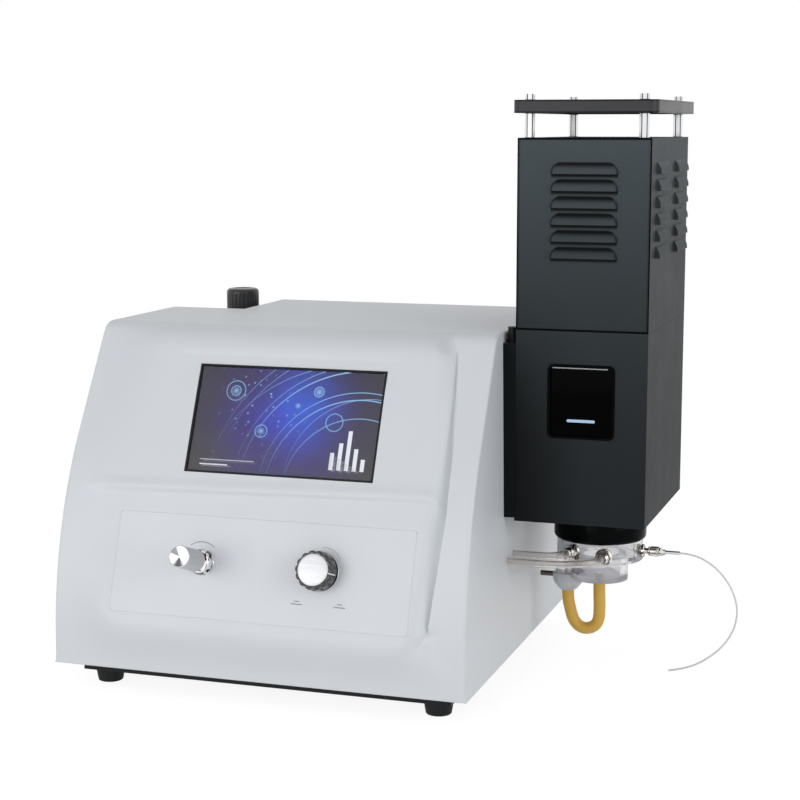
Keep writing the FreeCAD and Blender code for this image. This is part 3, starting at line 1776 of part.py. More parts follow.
def mixing_chamber():
    """The clear chamber under the collar, with its well, drain boss and ports."""
    inner = "(chamber_radius - chamber_wall)"
    well_inner = "(well_radius - chamber_wall)"
    body = turned(
        [
            ("port_radius", "well_z"),
            ("well_radius", "well_z"),
            ("well_radius", "chamber_z"),
            ("chamber_radius", "chamber_z"),
            ("chamber_radius", "collar_bottom_z"),
            (inner, "collar_bottom_z"),
            (inner, "chamber_z + chamber_floor"),
            (well_inner, "chamber_z + chamber_floor"),
            (well_inner, "well_z + chamber_floor"),
            ("port_radius", "well_z + chamber_floor"),
        ],
        "burner_x",
        "burner_y",
    )
    ear_height = "chamber_z - cup_top_z"
    ear = rod("boss_centre_x", "burner_y", "cup_top_z", "ear_radius", ear_height)
    drain_length = f"{ear_height} - chamber_floor"
    through = "chamber_wall + 2 * past"
    air_start = "chamber_radius - chamber_wall - past"
    gas_start = "gas_port_reach - chamber_wall - past"
    ports = [
        rod("burner_x", "burner_y", "port_z", "nebulizer_neck_radius", "chamber_radius + past", "X"),
        rod("boss_centre_x", "burner_y", "cup_top_z - past", "port_radius", drain_length),
        hose_port("barb_screw_radius", air_start, through),
        gas_port("barb_screw_radius", gas_start, through),
        gas_port("hose_barb_base_radius + running_gap", "gas_port_reach", "hose_barb_base"),
    ]
    keep("mixing_chamber", cut(fuse(body, ear), *ports))


def hose_port(radius, start, length):
    """A rod on the air port's axis, which points forward and a little to the left."""
    holder = group(rod("0", f"-({start})", "air_port_z", radius, length, "-Y", True))
    bind(holder, **{"Placement.Rotation.Angle": "-air_port_angle"})
    holder.setExpression("Placement.Base.x", full("burner_x - origin_x"))
    holder.setExpression("Placement.Base.y", full("burner_y - origin_y"))
    return holder


def gas_port(radius, start, length):
    """A rod on the gas port's axis, which points straight forward."""
    return rod("burner_x + gas_port_x", f"burner_y - ({start})", "gas_port_z", radius, length, "-Y")


def hose_barbs():
    """The two hose barbs on the chamber's front, for air and for gas."""
    bore_length = "chamber_wall + hose_barb_base + nipple_length + past"
    barbs = []
    for port, reach in ((hose_port, "chamber_radius"), (gas_port, "gas_port_reach")):
        root = f"{reach} - chamber_wall"
        screw = port("barb_screw_radius", f"{root} + past", "chamber_wall - past")
        base = port("hose_barb_base_radius", reach, "hose_barb_base")
        nipple = port("nipple_radius", f"{reach} + hose_barb_base", "nipple_length")
        barbs.append(cut(fuse(screw, base, nipple), port("port_radius / 2", root, bore_length)))
    keep("hose_barbs", group(*barbs))


def port_rod(x, radius, length):
    """A rod along X on the nebulizer's axis."""
    return rod(x, "burner_y", "port_z", radius, length, "X")


def nebulizer():
    """The nebulizer in the chamber's right side: its body and the steel needle."""
    face = "(burner_x + chamber_radius)"
    hub_x = "needle_x - nebulizer_hub_length"
    flange = cone(
        face,
        "burner_y",
        "port_z",
        "nebulizer_radius",
        "nebulizer_neck_radius",
        "nebulizer_flange",
        "X",
    )
    body = fuse(
        port_rod(f"{face} - chamber_wall", "nebulizer_neck_radius - running_gap", "chamber_wall"),
        flange,
        port_rod(f"{face} + nebulizer_flange", "nebulizer_neck_radius", "nebulizer_neck"),
        port_rod(hub_x, "nebulizer_hub_radius", "nebulizer_hub_length"),
    )
    start = f"({face} - chamber_wall - needle_radius)"
    length = f"needle_end_x - {start}"
    keep("nebulizer_body", cut(body, port_rod(start, "needle_radius", length)))
    bore = port_rod(f"{start} - past", "needle_bore", f"{length} + 2 * past")
    keep("nebulizer_needle", cut(port_rod(start, "needle_radius", length), bore))


def drain():
    """The drain cup under the chamber's ear, with its metal spout."""
    x, y = "boss_centre_x", "burner_y"
    spout_hole_x = f"{x} - cup_radius - past"
    spout_hole_length = "cup_wall + 2 * past"
    hollow_height = "well_z - cup_z - cup_floor * 2"
    cup = cut(
        rod(x, y, "cup_z", "cup_radius", "cup_height"),
        rod(x, y, "cup_z - past", "port_radius", "cup_height + 2 * past"),
        rod(x, y, "cup_z + cup_floor", "cup_radius - cup_wall", hollow_height),
        rod("burner_x", y, "well_z - face_gap", "well_radius + face_gap", "well_height"),
        rod(spout_hole_x, y, "spout_z", "spout_radius", spout_hole_length, "X"),
    )
    keep("drain_cup", cup)
    start = f"({x} - cup_radius + cup_wall - spout_length)"
    bore_length = "spout_length + 2 * past"
    spout = cut(
        rod(start, y, "spout_z", "spout_radius", "spout_length", "X"),
        rod(f"{start} - past", y, "spout_z", "spout_bore", bore_length, "X"),
    )
    keep("drain_spout", spout)


# ---------------------------------------------------------------- hoses
def pipe(label, points, radius):
    """A hose round a route of straight runs joined by tangent arcs."""
    size = number(radius)
    route = []
    for x, y, z in points:
        route.append(Vector(number(f"{x} - origin_x"), number(f"{y} - origin_y"), number(z)))
    edges, radii, here, length = [], [], route[0], 0
    for before, corner, after in zip(route, route[1:], route[2:]):
        come, go = (corner - before).normalize(), (after - corner).normalize()
        half_turn = come.getAngle(go) / 2
        trim = 0.45 * min((corner - before).Length, (after - corner).Length)
        bend = trim / math.tan(half_turn)
        radii.append(round(bend, 1))
        start, end = corner - come * trim, corner + go * trim
        inward = (go - come).normalize()
        middle = corner + inward * (bend / math.cos(half_turn) - bend)
        edges += [Part.LineSegment(here, start).toShape(), Part.Arc(start, middle, end).toShape()]
        length += (start - here).Length + 2 * half_turn * bend
        here = end
    edges.append(Part.LineSegment(here, route[-1]).toShape())
    length += (route[-1] - here).Length
    way = (route[1] - route[0]).normalize()
    mouth = Part.Wire([Part.makeCircle(size, route[0], way)])
    piece = doc.addObject("Part::Feature", label)
    piece.Shape = Part.Wire(edges).makePipeShell([mouth], True, False)
    share = piece.Shape.Volume / (math.pi * size * size * length)
    print(f"{label}: length {length:.1f}, radii {radii}, volume over section x length {share:.4f}")
    return keep(label, piece)


def air_port_point(distance):
    """The X and Y of a point on the air port's axis, at a distance from the burner's axis."""
    return (
        f"burner_x - {distance} * sin(air_port_angle)",
        f"burner_y - {distance} * cos(air_port_angle)",
    )


def hoses():
    """The air hose, the gas hose, the drain's latex bend and the sample capillary."""
    wall_x = "half_base - shell_wall - shell_draft_inset"
    reach = "(chamber_radius + hose_barb_base + nipple_length)"
    bend = f"({reach} + hose_radius * 2)"
    gas_reach = "(gas_port_reach + hose_barb_base + nipple_length)"
    pipe(
        "air_hose",
        [
            (*air_port_point(reach), "air_port_z"),
            (*air_port_point(bend), "air_port_z"),
            ("burner_x - 27.35", "burner_y - 50.4", "air_port_z"),
            ("burner_x - 37.85", "air_hose_y", "air_port_z"),
            (f"{wall_x} + 14", "air_hose_y - 0.4", "air_port_z"),
            (wall_x, "air_hose_y", "air_port_z"),
        ],
        "hose_radius",
    )
    pipe(
        "gas_hose",
        [
            ("burner_x + gas_port_x", f"burner_y - {gas_reach}", "gas_port_z"),
            ("burner_x + gas_port_x", "burner_y - 52", "gas_port_z"),
            ("burner_x + 2.15", "burner_y - 62", "gas_port_z"),
            ("burner_x - 11.85", "burner_y - 69", "gas_port_z"),
            ("burner_x - 28.85", "gas_hose_y + 0.5", "gas_port_z"),
            (f"{wall_x} + 19", "gas_hose_y", "gas_port_z"),
            (wall_x, "gas_hose_y", "gas_port_z"),
        ],
        "hose_radius",
    )
    pipe(
        "drain_tube",
        [
            ("burner_x", "burner_y", "well_z"),
            ("burner_x", "burner_y", "64"),
            ("burner_x + 0.55", "burner_y", "51"),
            ("burner_x + 0.15", "burner_y", "38"),
            ("burner_x - 6.35", "burner_y", "31.5"),
            ("burner_x - 15.35", "burner_y", "31.3"),
            ("burner_x - 21.85", "burner_y", "37.9"),
            ("burner_x - 24.55", "burner_y", "48"),
            ("boss_centre_x", "burner_y", "56.5"),
            ("boss_centre_x", "burner_y", "cup_z"),
        ],
        "latex_radius",
    )
    pipe(
        "sample_capillary",
        [
            ("needle_end_x", "burner_y", "port_z"),
            ("needle_end_x + 11.65", "burner_y", "port_z"),
            ("needle_end_x + 28.65", "burner_y", "92.5"),
            ("needle_end_x + 41.15", "burner_y", "78.5"),
            ("needle_end_x + 48.15", "burner_y", "60.5"),
            ("needle_end_x + 46.65", "burner_y", "42.5"),
            ("needle_end_x + 37.15", "burner_y", "25.5"),
            ("needle_end_x + 21.15", "burner_y", "11.5"),
            ("needle_end_x + 5.65", "burner_y", "4"),
            ("needle_end_x - 7.35", "burner_y", "1.2"),
        ],
        "capillary_radius",
    )
    unions = []
    for y, z in (("air_hose_y", "air_port_z"), ("gas_hose_y", "gas_port_z")):
        outer = fuse(
            rod(wall_x, y, z, "union_flange_radius", "union_flange", "-X"),
            rod(wall_x, y, z, "union_radius", "union_length", "-X"),
        )
        bore = rod(f"{wall_x} + past", y, z, "port_radius / 2", "union_length + 2 * past", "-X")
        unions.append(cut(outer, bore))
    keep("hose_unions", group(*unions))


SECTIONS = [
    housing_shell,
    control_plate,
    electronics,
    fine_valve,
    gas_valve,
    cabinet_screws,
    power_inlet,
    mains_switch,
    regulator,
    optics,
    side_block,
    burner_housing,
    peep_window,
    chimney,
    cap,
    burner,
    igniter,
    mixing_chamber,
    hose_barbs,
    nebulizer,
    drain,
    hoses,
]


def finish():
    """Builds everything, checks it and writes a file for each sub-part."""
    for section in SECTIONS:
        section()
    doc.recompute()
    failed = [piece.Name for piece in doc.Objects if set(piece.State) & {"Invalid", "Error"}]
    if failed:
        raise RuntimeError(f"these objects failed: {failed}")
    os.makedirs("parts", exist_ok=True)
    for label, piece in parts.items():
        shape = piece.Shape
        if shape.isNull() or not shape.isValid():
            raise RuntimeError(f"{label} has no valid shape")
        shape.exportStep(f"parts/{label}.step")
        print(label, round(shape.Volume), len(shape.Solids), shape.BoundBox)


finish()
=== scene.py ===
"""Studio view of a bench flame photometer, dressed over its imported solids.

Sizes are in millimetres, written from the middle of the cabinet (X), its front edge (Y) and the
bench (Z). A Place turns them into the model's metres.
"""

import logging
import math
from dataclasses import dataclass, field
from enum import Enum
import bmesh
import bpy
import numpy as np
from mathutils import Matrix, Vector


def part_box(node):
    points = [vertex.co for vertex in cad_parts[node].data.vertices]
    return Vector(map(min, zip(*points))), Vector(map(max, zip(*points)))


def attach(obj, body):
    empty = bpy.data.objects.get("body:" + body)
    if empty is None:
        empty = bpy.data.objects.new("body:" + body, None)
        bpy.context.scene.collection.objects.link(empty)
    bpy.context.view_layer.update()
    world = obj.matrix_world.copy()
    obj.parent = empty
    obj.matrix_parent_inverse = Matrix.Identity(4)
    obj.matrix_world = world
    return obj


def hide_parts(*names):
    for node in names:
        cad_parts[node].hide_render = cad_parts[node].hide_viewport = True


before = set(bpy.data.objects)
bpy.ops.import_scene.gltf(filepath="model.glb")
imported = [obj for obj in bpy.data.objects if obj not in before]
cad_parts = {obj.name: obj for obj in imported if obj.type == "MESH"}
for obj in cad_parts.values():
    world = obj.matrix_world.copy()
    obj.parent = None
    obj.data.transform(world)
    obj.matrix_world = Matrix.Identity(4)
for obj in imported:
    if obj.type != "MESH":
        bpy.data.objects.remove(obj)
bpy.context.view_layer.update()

MM = 0.001
LOG = logging.getLogger("flame_photometer")
Array = np.ndarray
Pair = tuple[float, float]
Triple = tuple[float, float, float]
Piece = bpy.types.Object
Tree = bpy.types.NodeTree
Node = bpy.types.Node
Socket = bpy.types.NodeSocket


class Body(Enum):
    """The rigid bodies that pieces ride on."""

    CABINET = "cabinet"
    FINE_KNOB = "fine_knob"
    GAS_KNOB = "gas_knob"
    REGULATOR_CAP = "regulator_cap"
    CHIMNEY = "chimney"
    ROCKER = "rocker"
    DRAWER = "drawer"


# ------------------------------------------------------------------ plain mathematics
def ease(low: float | Array, high: float | Array, value: Array) -> Array:
    """A smooth step: 0 below low, 1 above high, and 3t^2 - 2t^3 between.

    Args:
        low: where the step starts.
        high: where it ends.
        value: the places asked about.

    Returns:
        The step's height at each place.
    """
    t = np.clip((value - low) / (high - low), 0.0, 1.0)
    return t * t * (3.0 - 2.0 * t)


def line(start: Pair, end: Pair, count: int) -> Array:
    """Points on a straight run, without its last one.

    Args:
        start: the first point.
        end: the point that it runs to.
        count: how many points.

    Returns:
        A (count, 2) array.
    """
    t = np.linspace(0.0, 1.0, count, endpoint=False)[:, None]
    return np.array(start) * (1 - t) + np.array(end) * t


def arc(centre: Pair, radius: float, start: float, end: float, count: int) -> Array:
    """Points on a circle's arc: centre + radius (cos a, sin a), without its last one.

    Args:
        centre: the circle's centre.
        radius: its radius.
        start: the first angle in degrees.
        end: the last angle in degrees.
        count: how many points.

    Returns:
        A (count, 2) array.
    """
    a = np.radians(np.linspace(start, end, count, endpoint=False))
    return np.array(centre) + radius * np.stack([np.cos(a), np.sin(a)], axis=-1)


def arc_between(start: Pair, end: Pair, radius: float, count: int) -> Array:
    """Points on the arc that bows to the left of its way from start to end, without its last one.

    The centre lies on the chord's perpendicular bisector, sqrt(radius^2 - half chord^2) from it.

    Args:
        start: the first point.
        end: the point that it runs to.
        radius: the arc's radius.
        count: how many points.

    Returns:
        A (count, 2) array.
    """
    s, e = np.array(start, float), np.array(end, float)
    chord = e - s
    half = np.linalg.norm(chord) / 2
    right = np.array([chord[1], -chord[0]]) / (2 * half)
    centre = (s + e) / 2 + right * math.sqrt(radius**2 - half**2)
    first = math.degrees(math.atan2(*(s - centre)[::-1]))
    last = math.degrees(math.atan2(*(e - centre)[::-1]))
    if last - first > 180:
        first += 360
    if last - first < -180:
        last += 360
    return arc(tuple(centre), radius, first, last, count)


def bend(start: Pair, corner: Pair, end: Pair, count: int) -> Array:
    """A soft corner: the quadratic curve (1-t)^2 start + 2t(1-t) corner + t^2 end.

    Args:
        start: where the curve leaves the first run.
        corner: where the two runs would meet.
        end: where it joins the second run.
        count: how many points, the last one left out.

    Returns:
        A (count, 2) array.
    """
    t = np.linspace(0.0, 1.0, count, endpoint=False)[:, None]
    s, c, e = np.array(start), np.array(corner), np.array(end)
    return (1 - t) ** 2 * s + 2 * t * (1 - t) * c + t**2 * e


def stations(*runs: tuple[float, float, int]) -> Array:
    """Grid places made of runs, with no place twice.

    Args:
        runs: each run's start, end and number of steps.

    Returns:
        The places, rising.
    """
    places = np.concatenate([np.linspace(low, high, steps + 1) for low, high, steps in runs])
    places = np.unique(np.round(places, 4))
    return places


def rounded_rectangle(width: float, height: float, radius: float, steps: int = 6) -> Array:
    """The outline of a rectangle with round corners, anticlockwise.

    Args:
        width: full width.
        height: full height.
        radius: corner radius.
        steps: points on each corner.

    Returns:
        A (4 * (steps + 1), 2) array of points.
    """
    quarter = np.radians(np.linspace(0, 90, steps + 1))
    corners = []
    for turn, sx, sy in ((0, 1, 1), (90, -1, 1), (180, -1, -1), (270, 1, -1)):
        a = quarter + math.radians(turn)
        centre = np.array([sx * (width / 2 - radius), sy * (height / 2 - radius)])
        corners.append(centre + radius * np.stack([np.cos(a), np.sin(a)], axis=-1))
    return np.concatenate(corners)


def around(turns: int) -> Array:
    """Evenly spread angles, once round, as a column for a grid's rows."""
    return np.linspace(0, 2 * math.pi, turns, endpoint=False)[:, None]


def flats(a: Array, count: int) -> Array:
    """How a radius shrinks between corners, for count flats: cos(pi / count) / cos(a - a flat's middle)."""
    return math.cos(math.pi / count) / np.cos((a % (2 * math.pi / count)) - math.pi / count)


def rim(grid: Array) -> Array:
    """A grid's outer ring, once round."""
    return np.concatenate([grid[:-1, 0], grid[-1, :-1], grid[:0:-1, -1], grid[0, :0:-1]])


# ------------------------------------------------------------------ places
@dataclass(frozen=True)
class Place:
    """A right-handed set of axes: local (a, b, c) millimetres to the model's metres."""

    origin: Triple
    across: Triple = (1, 0, 0)
    up: Triple = (0, 1, 0)
    out: Triple = (0, 0, 1)

    def at(self, a: Array | float, b: Array | float, c: Array | float) -> Array:
        """Model points: origin + a * across + b * up + c * out, for arrays of any one shape.

        Args:
            a: millimetres across.
            b: millimetres up.
            c: millimetres out.

        Returns:
            The points in metres, X, Y and Z last.
        """
        a, b, c = np.broadcast_arrays(a, b, c)
        pairs = ((a, self.across), (b, self.up), (c, self.out))
        parts = [np.multiply.outer(v, np.array(w, float)) for v, w in pairs]
        return (np.array(self.origin, float) + sum(parts)) * MM

    def moved(self, a: float, b: float, c: float = 0.0) -> "Place":
        """The same axes with their origin at local (a, b, c)."""
        point = self.at(a, b, c) / MM
        return Place(tuple(point), self.across, self.up, self.out)


SHELL_LOW, SHELL_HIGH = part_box("housing_shell")
SHELL_HALF, SHELL_DEPTH = 171.5, 326.0
ORIGIN = (SHELL_LOW.x / MM + SHELL_HALF, SHELL_HIGH.y / MM - SHELL_DEPTH, 0.0)
BENCH = Place(ORIGIN)
BURNER = (230.85, 195.0)
CUP_AXIS = (204.35, 195.0)
AIR_HEIGHT, GAS_HEIGHT, NEEDLE_HEIGHT = 103.6, 101.8, 101.2
AIR_ANGLE = 25.5
GAS_X = 241.25
KNOB_SPACING, KNOB_UP = 98.0, 3.4


def tilted(x: float, y: float, z: float, tilt: float) -> Place:
    """A panel's axes: across to the right, up its slope, out of its face.

    Args:
        x: the panel's middle, from the cabinet's middle.
        y: from its front edge.
        z: from the bench.
        tilt: how far the panel leans back, in degrees.

    Returns:
        The panel's place.
    """
    s, c = math.sin(math.radians(tilt)), math.cos(math.radians(tilt))
    return Place((ORIGIN[0] + x, ORIGIN[1] + y, z), (1, 0, 0), (0, s, c), (0, -c, s))


def sloped(middle: Triple, tilt: float, z: float) -> Pair:
    """Y and Z of the point at height z on a tilted panel's middle line."""
    return middle[1] + (z - middle[2]) * math.tan(math.radians(tilt)), z


def up_slope(middle: Triple, tilt: float, z: Array) -> Array:
    """How far up a tilted panel from its middle the points at height z lie."""
    return (z - middle[2]) / math.cos(math.radians(tilt))


TOWER_LEFT = ORIGIN[0] + 178.35
PLATE_MIDDLE, PLATE_TILT = (4.1, 7.0, 107.8), 18.9
DISPLAY_MIDDLE, DISPLAY_TILT = (9.3, 49.0, 218.4), 24.0
PLATE = tilted(*PLATE_MIDDLE, PLATE_TILT)
DISPLAY = tilted(*DISPLAY_MIDDLE, DISPLAY_TILT)


def along_x(x: float, y: float, z: float) -> Place:
    """Axes for something turned about an X axis: out runs to the right."""
    return Place((ORIGIN[0] + x, ORIGIN[1] + y, z), (0, 1, 0), (0, 0, 1), (1, 0, 0))


def facing(x: float, y: float, z: float, angle: float) -> Place:
    """Axes whose out runs level to the front, turned to the left by angle degrees."""
    s, c = math.sin(math.radians(angle)), math.cos(math.radians(angle))
    return Place((ORIGIN[0] + x, ORIGIN[1] + y, z), (c, -s, 0), (0, 0, 1), (-s, -c, 0))


# ------------------------------------------------------------------ meshes
@dataclass
class Patchwork:
    """Vertices and faces gathered for one piece, joined where they meet."""

    points: list[Array] = field(default_factory=list)
    faces: list[Array | tuple[int, ...]] = field(default_factory=list)
    count: int = 0

    def add(self, points: Array) -> Array:
        """Adds points of any grid shape; returns their indices in that shape.

        Args:
            points: a grid of model points.

        Returns:
            Their indices.
        """
        flat = points.reshape(-1, 3)
        indices = np.arange(self.count, self.count + len(flat)).reshape(points.shape[:-1])
        self.points.append(flat)
        self.count += len(flat)
        return indices

    def quads(
        self, indices: Array, wrap: tuple[bool, bool] = (False, False), keep: Array | None = None
    ) -> None:
        """Faces between the neighbours of an index grid.

        Args:
            indices: the (rows, columns) grid of vertex indices.
            wrap: whether rows and columns close on themselves.
            keep: a mask of the faces that stay.
        """
        rows = np.concatenate([indices, indices[:1]]) if wrap[0] else indices
        grid = np.concatenate([rows, rows[:, :1]], axis=1) if wrap[1] else rows
        corners = np.stack([grid[:-1, :-1], grid[1:, :-1], grid[1:, 1:], grid[:-1, 1:]], axis=-1)
        if keep is not None:
            corners = corners[keep]
        self.faces.append(corners.reshape(-1, 4))

    def sheet(
        self, points: Array, wrap: tuple[bool, bool] = (False, False), keep: Array | None = None
    ) -> Array:
        """A grid of points with its faces; returns the indices.

        Args:
            points: the (rows, columns) grid of model points.
            wrap: whether rows and columns close on themselves.
            keep: a mask of the faces that stay.

        Returns:
            The indices of the grid.
        """
        indices = self.add(points)
        self.quads(indices, wrap, keep)
        return indices

    def polygon(self, indices: Array) -> None:
        """One flat face round a closed ring of indices."""
        self.faces.append(tuple(int(i) for i in indices))

    def lathe(self, place: Place, profile: Array, turns: int = 64, reach: Array | None = None) -> Array:
        """A profile of (radius, height) turned about the place's out axis.

        Args:
            place: its axes.
            profile: the (radius, height) points.
            turns: how many angles.
            reach: what scales the radius, for each angle and profile point.

        Returns:
            The indices of the grid.
        """
        r = profile[None, :, 0] * (np.ones((turns, 1)) if reach is None else reach)
        return self.turned(place, r, profile[None, :, 1])

    def turned(self, place: Place, r: Array, h: Array) -> Array:
        """A grid of radii r at heights h, a row for each angle a: the points (r cos a, r sin a, h)."""
        a = around(len(r))
        return self.sheet(place.at(r * np.cos(a), r * np.sin(a), h), wrap=(True, False))

    def loft(
        self, place: Place, rings: list[tuple[Array, float]], caps: tuple[bool, bool] = (True, True)
    ) -> Array:
        """Equal outlines (a, b) at heights c, joined one to the next, and closed at both ends.

        Args:
            place: its axes.
            rings: the outlines, each with its height.
            caps: whether the first and the last outline are closed.

        Returns:
            The indices of the grid.
        """
        grid = np.stack([place.at(ring[:, 0], ring[:, 1], height) for ring, height in rings])
        indices = self.sheet(grid, wrap=(False, True))
        if caps[0]:
            self.polygon(indices[0][::-1])
        if caps[1]:
            self.polygon(indices[-1])
        return indices

    def ring(
        self, place: Place, outer: Array, inner: Array, back: float, front: float, ease_by: float = 0.3
    ) -> None:
        """A flat ring between two equal-count outlines, its front edges broken by ease_by.

        Args:
            place: its axes.
            outer: the outer outline.
            inner: the inner outline.
            back: the height of its back face.
            front: the height of its front face.
            ease_by: how far the two front edges are broken.
        """
        middle = (outer + inner) / 2
        out_in = outer + (middle - outer) * ease_by / np.linalg.norm(middle - outer, axis=1, keepdims=True)
        in_out = inner + (middle - inner) * ease_by / np.linalg.norm(middle - inner, axis=1, keepdims=True)
        below = front - ease_by
        loops = [
            (outer, back), (outer, below), (out_in, front), (in_out, front), (inner, below),
            (inner, back),
        ]
        grid = np.stack([place.at(loop[:, 0], loop[:, 1], height) for loop, height in loops])
        self.sheet(grid, wrap=(True, True))

    def piece(
        self,
        name: str,
        body: Body,
        finish: "Finish",
        replaces: tuple[str, ...] = (),
        sharp: float = 35.0,
        turn_out: bool = True,
    ) -> Piece:
        """Makes the object: joins doubles, turns faces outwards, shades and dresses it.

        Args:
            name: the piece's name.
            body: what it rides on.
            finish: its surface.
            replaces: the CAD nodes that it stands for.
            sharp: edges steeper than this many degrees stay crisp.
            turn_out: whether the faces' sides are worked out.

        Returns:
            The new object.
        """
        mesh = bpy.data.meshes.new(name)
        faces = []
        for entry in self.faces:
            faces.extend([entry] if isinstance(entry, tuple) else entry.tolist())
        mesh.from_pydata(np.concatenate(self.points).tolist(), [], faces)
        work = bmesh.new()
        work.from_mesh(mesh)
        bmesh.ops.remove_doubles(work, verts=work.verts, dist=2e-6)
        if turn_out:
            bmesh.ops.recalc_face_normals(work, faces=work.faces)
        work.to_mesh(mesh)
        work.free()
        return dress_mesh(name, mesh, body, finish, replaces, sharp)


def dress_mesh(
    name: str,
    mesh: bpy.types.Mesh,
    body: Body,
    finish: "Finish",
    replaces: tuple[str, ...],
    sharp: float,
) -> Piece:
    """Links a finished mesh as a piece of the object.

    Args:
        name: the piece's name.
        mesh: its mesh, in the model's metres.
        body: what it rides on.
        finish: its surface.
        replaces: the CAD nodes that it stands for.
        sharp: edges steeper than this many degrees stay crisp.

    Returns:
        The new object.
    """
    mesh.validate()
    mesh.polygons.foreach_set("use_smooth", np.ones(len(mesh.polygons), bool))
    mesh.set_sharp_from_angle(angle=math.radians(sharp))
    obj = bpy.data.objects.new(name, mesh)
    bpy.context.scene.collection.objects.link(obj)
    mesh.materials.append(finish.material())
    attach(obj, body.value)
    if replaces:
        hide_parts(*replaces)
    LOG.info("%s: %d faces", name, len(mesh.polygons))
    return obj


def lathed(
    name: str,
    place: Place,
    profile: Array,
    turns: int,
    body: Body,
    finish: "Finish",
    replaces: tuple[str, ...] = (),
    sharp: float = 50.0,
    reach: Array | None = None,
) -> Piece:
    """A piece made of one turned profile.

    Args:
        name: the piece's name.
        place: its axes.
        profile: the (radius, height) points.
        turns: how many angles.
        body: what it rides on.
        finish: its surface.
        replaces: the CAD nodes that it stands for.
        sharp: edges steeper than this many degrees stay crisp.
        reach: what scales the radius, for each angle and profile point.

    Returns:
        The new object.
    """
    work = Patchwork()
    work.lathe(place, profile, turns, reach)
    return work.piece(name, body, finish, replaces, sharp=sharp)


def eased_copy(
    node: str, body: Body, finish: "Finish", width: float, segments: int = 2
) -> Piece:
    """A node's solid with its edges broken by a small bevel, in the node's stead.

    Args:
        node: the CAD node.
        body: what it rides on.
        finish: its surface.
        width: the bevel's width in millimetres.
        segments: how many faces the bevel has.

    Returns:
        The new object.
    """
    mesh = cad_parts[node].data.copy()
    mesh.name = node + "_eased"
    mesh.materials.clear()
    work = bmesh.new()
    work.from_mesh(mesh)
    bmesh.ops.remove_doubles(work, verts=work.verts, dist=1e-6)
    bmesh.ops.dissolve_limit(work, angle_limit=math.radians(0.5), verts=work.verts, edges=work.edges)
    work.to_mesh(mesh)
    work.free()
    obj = dress_mesh(node + "_eased", mesh, body, finish, (node,), 30.0)
    bevel = obj.modifiers.new("edges", "BEVEL")
    bevel.width = width * MM
    bevel.segments = segments
    bevel.limit_method = "ANGLE"
    bevel.angle_limit = math.radians(40)
    bevel.use_clamp_overlap = True
    bevel.harden_normals = True
    return obj


# ------------------------------------------------------------------ node helpers
Colour = Triple


def linear(colour: Colour) -> tuple[float, float, float, float]:
    """A display colour of 0 to 255 as the scene's linear light.

    Args:
        colour: red, green and blue as they show.

    Returns:
        The scene's red, green and blue, and 1.
    """
    c = np.array(colour, float) / 255.0
    c = np.where(c <= 0.04045, c / 12.92, ((c + 0.055) / 1.055) ** 2.4)
    return (*map(float, c), 1.0)


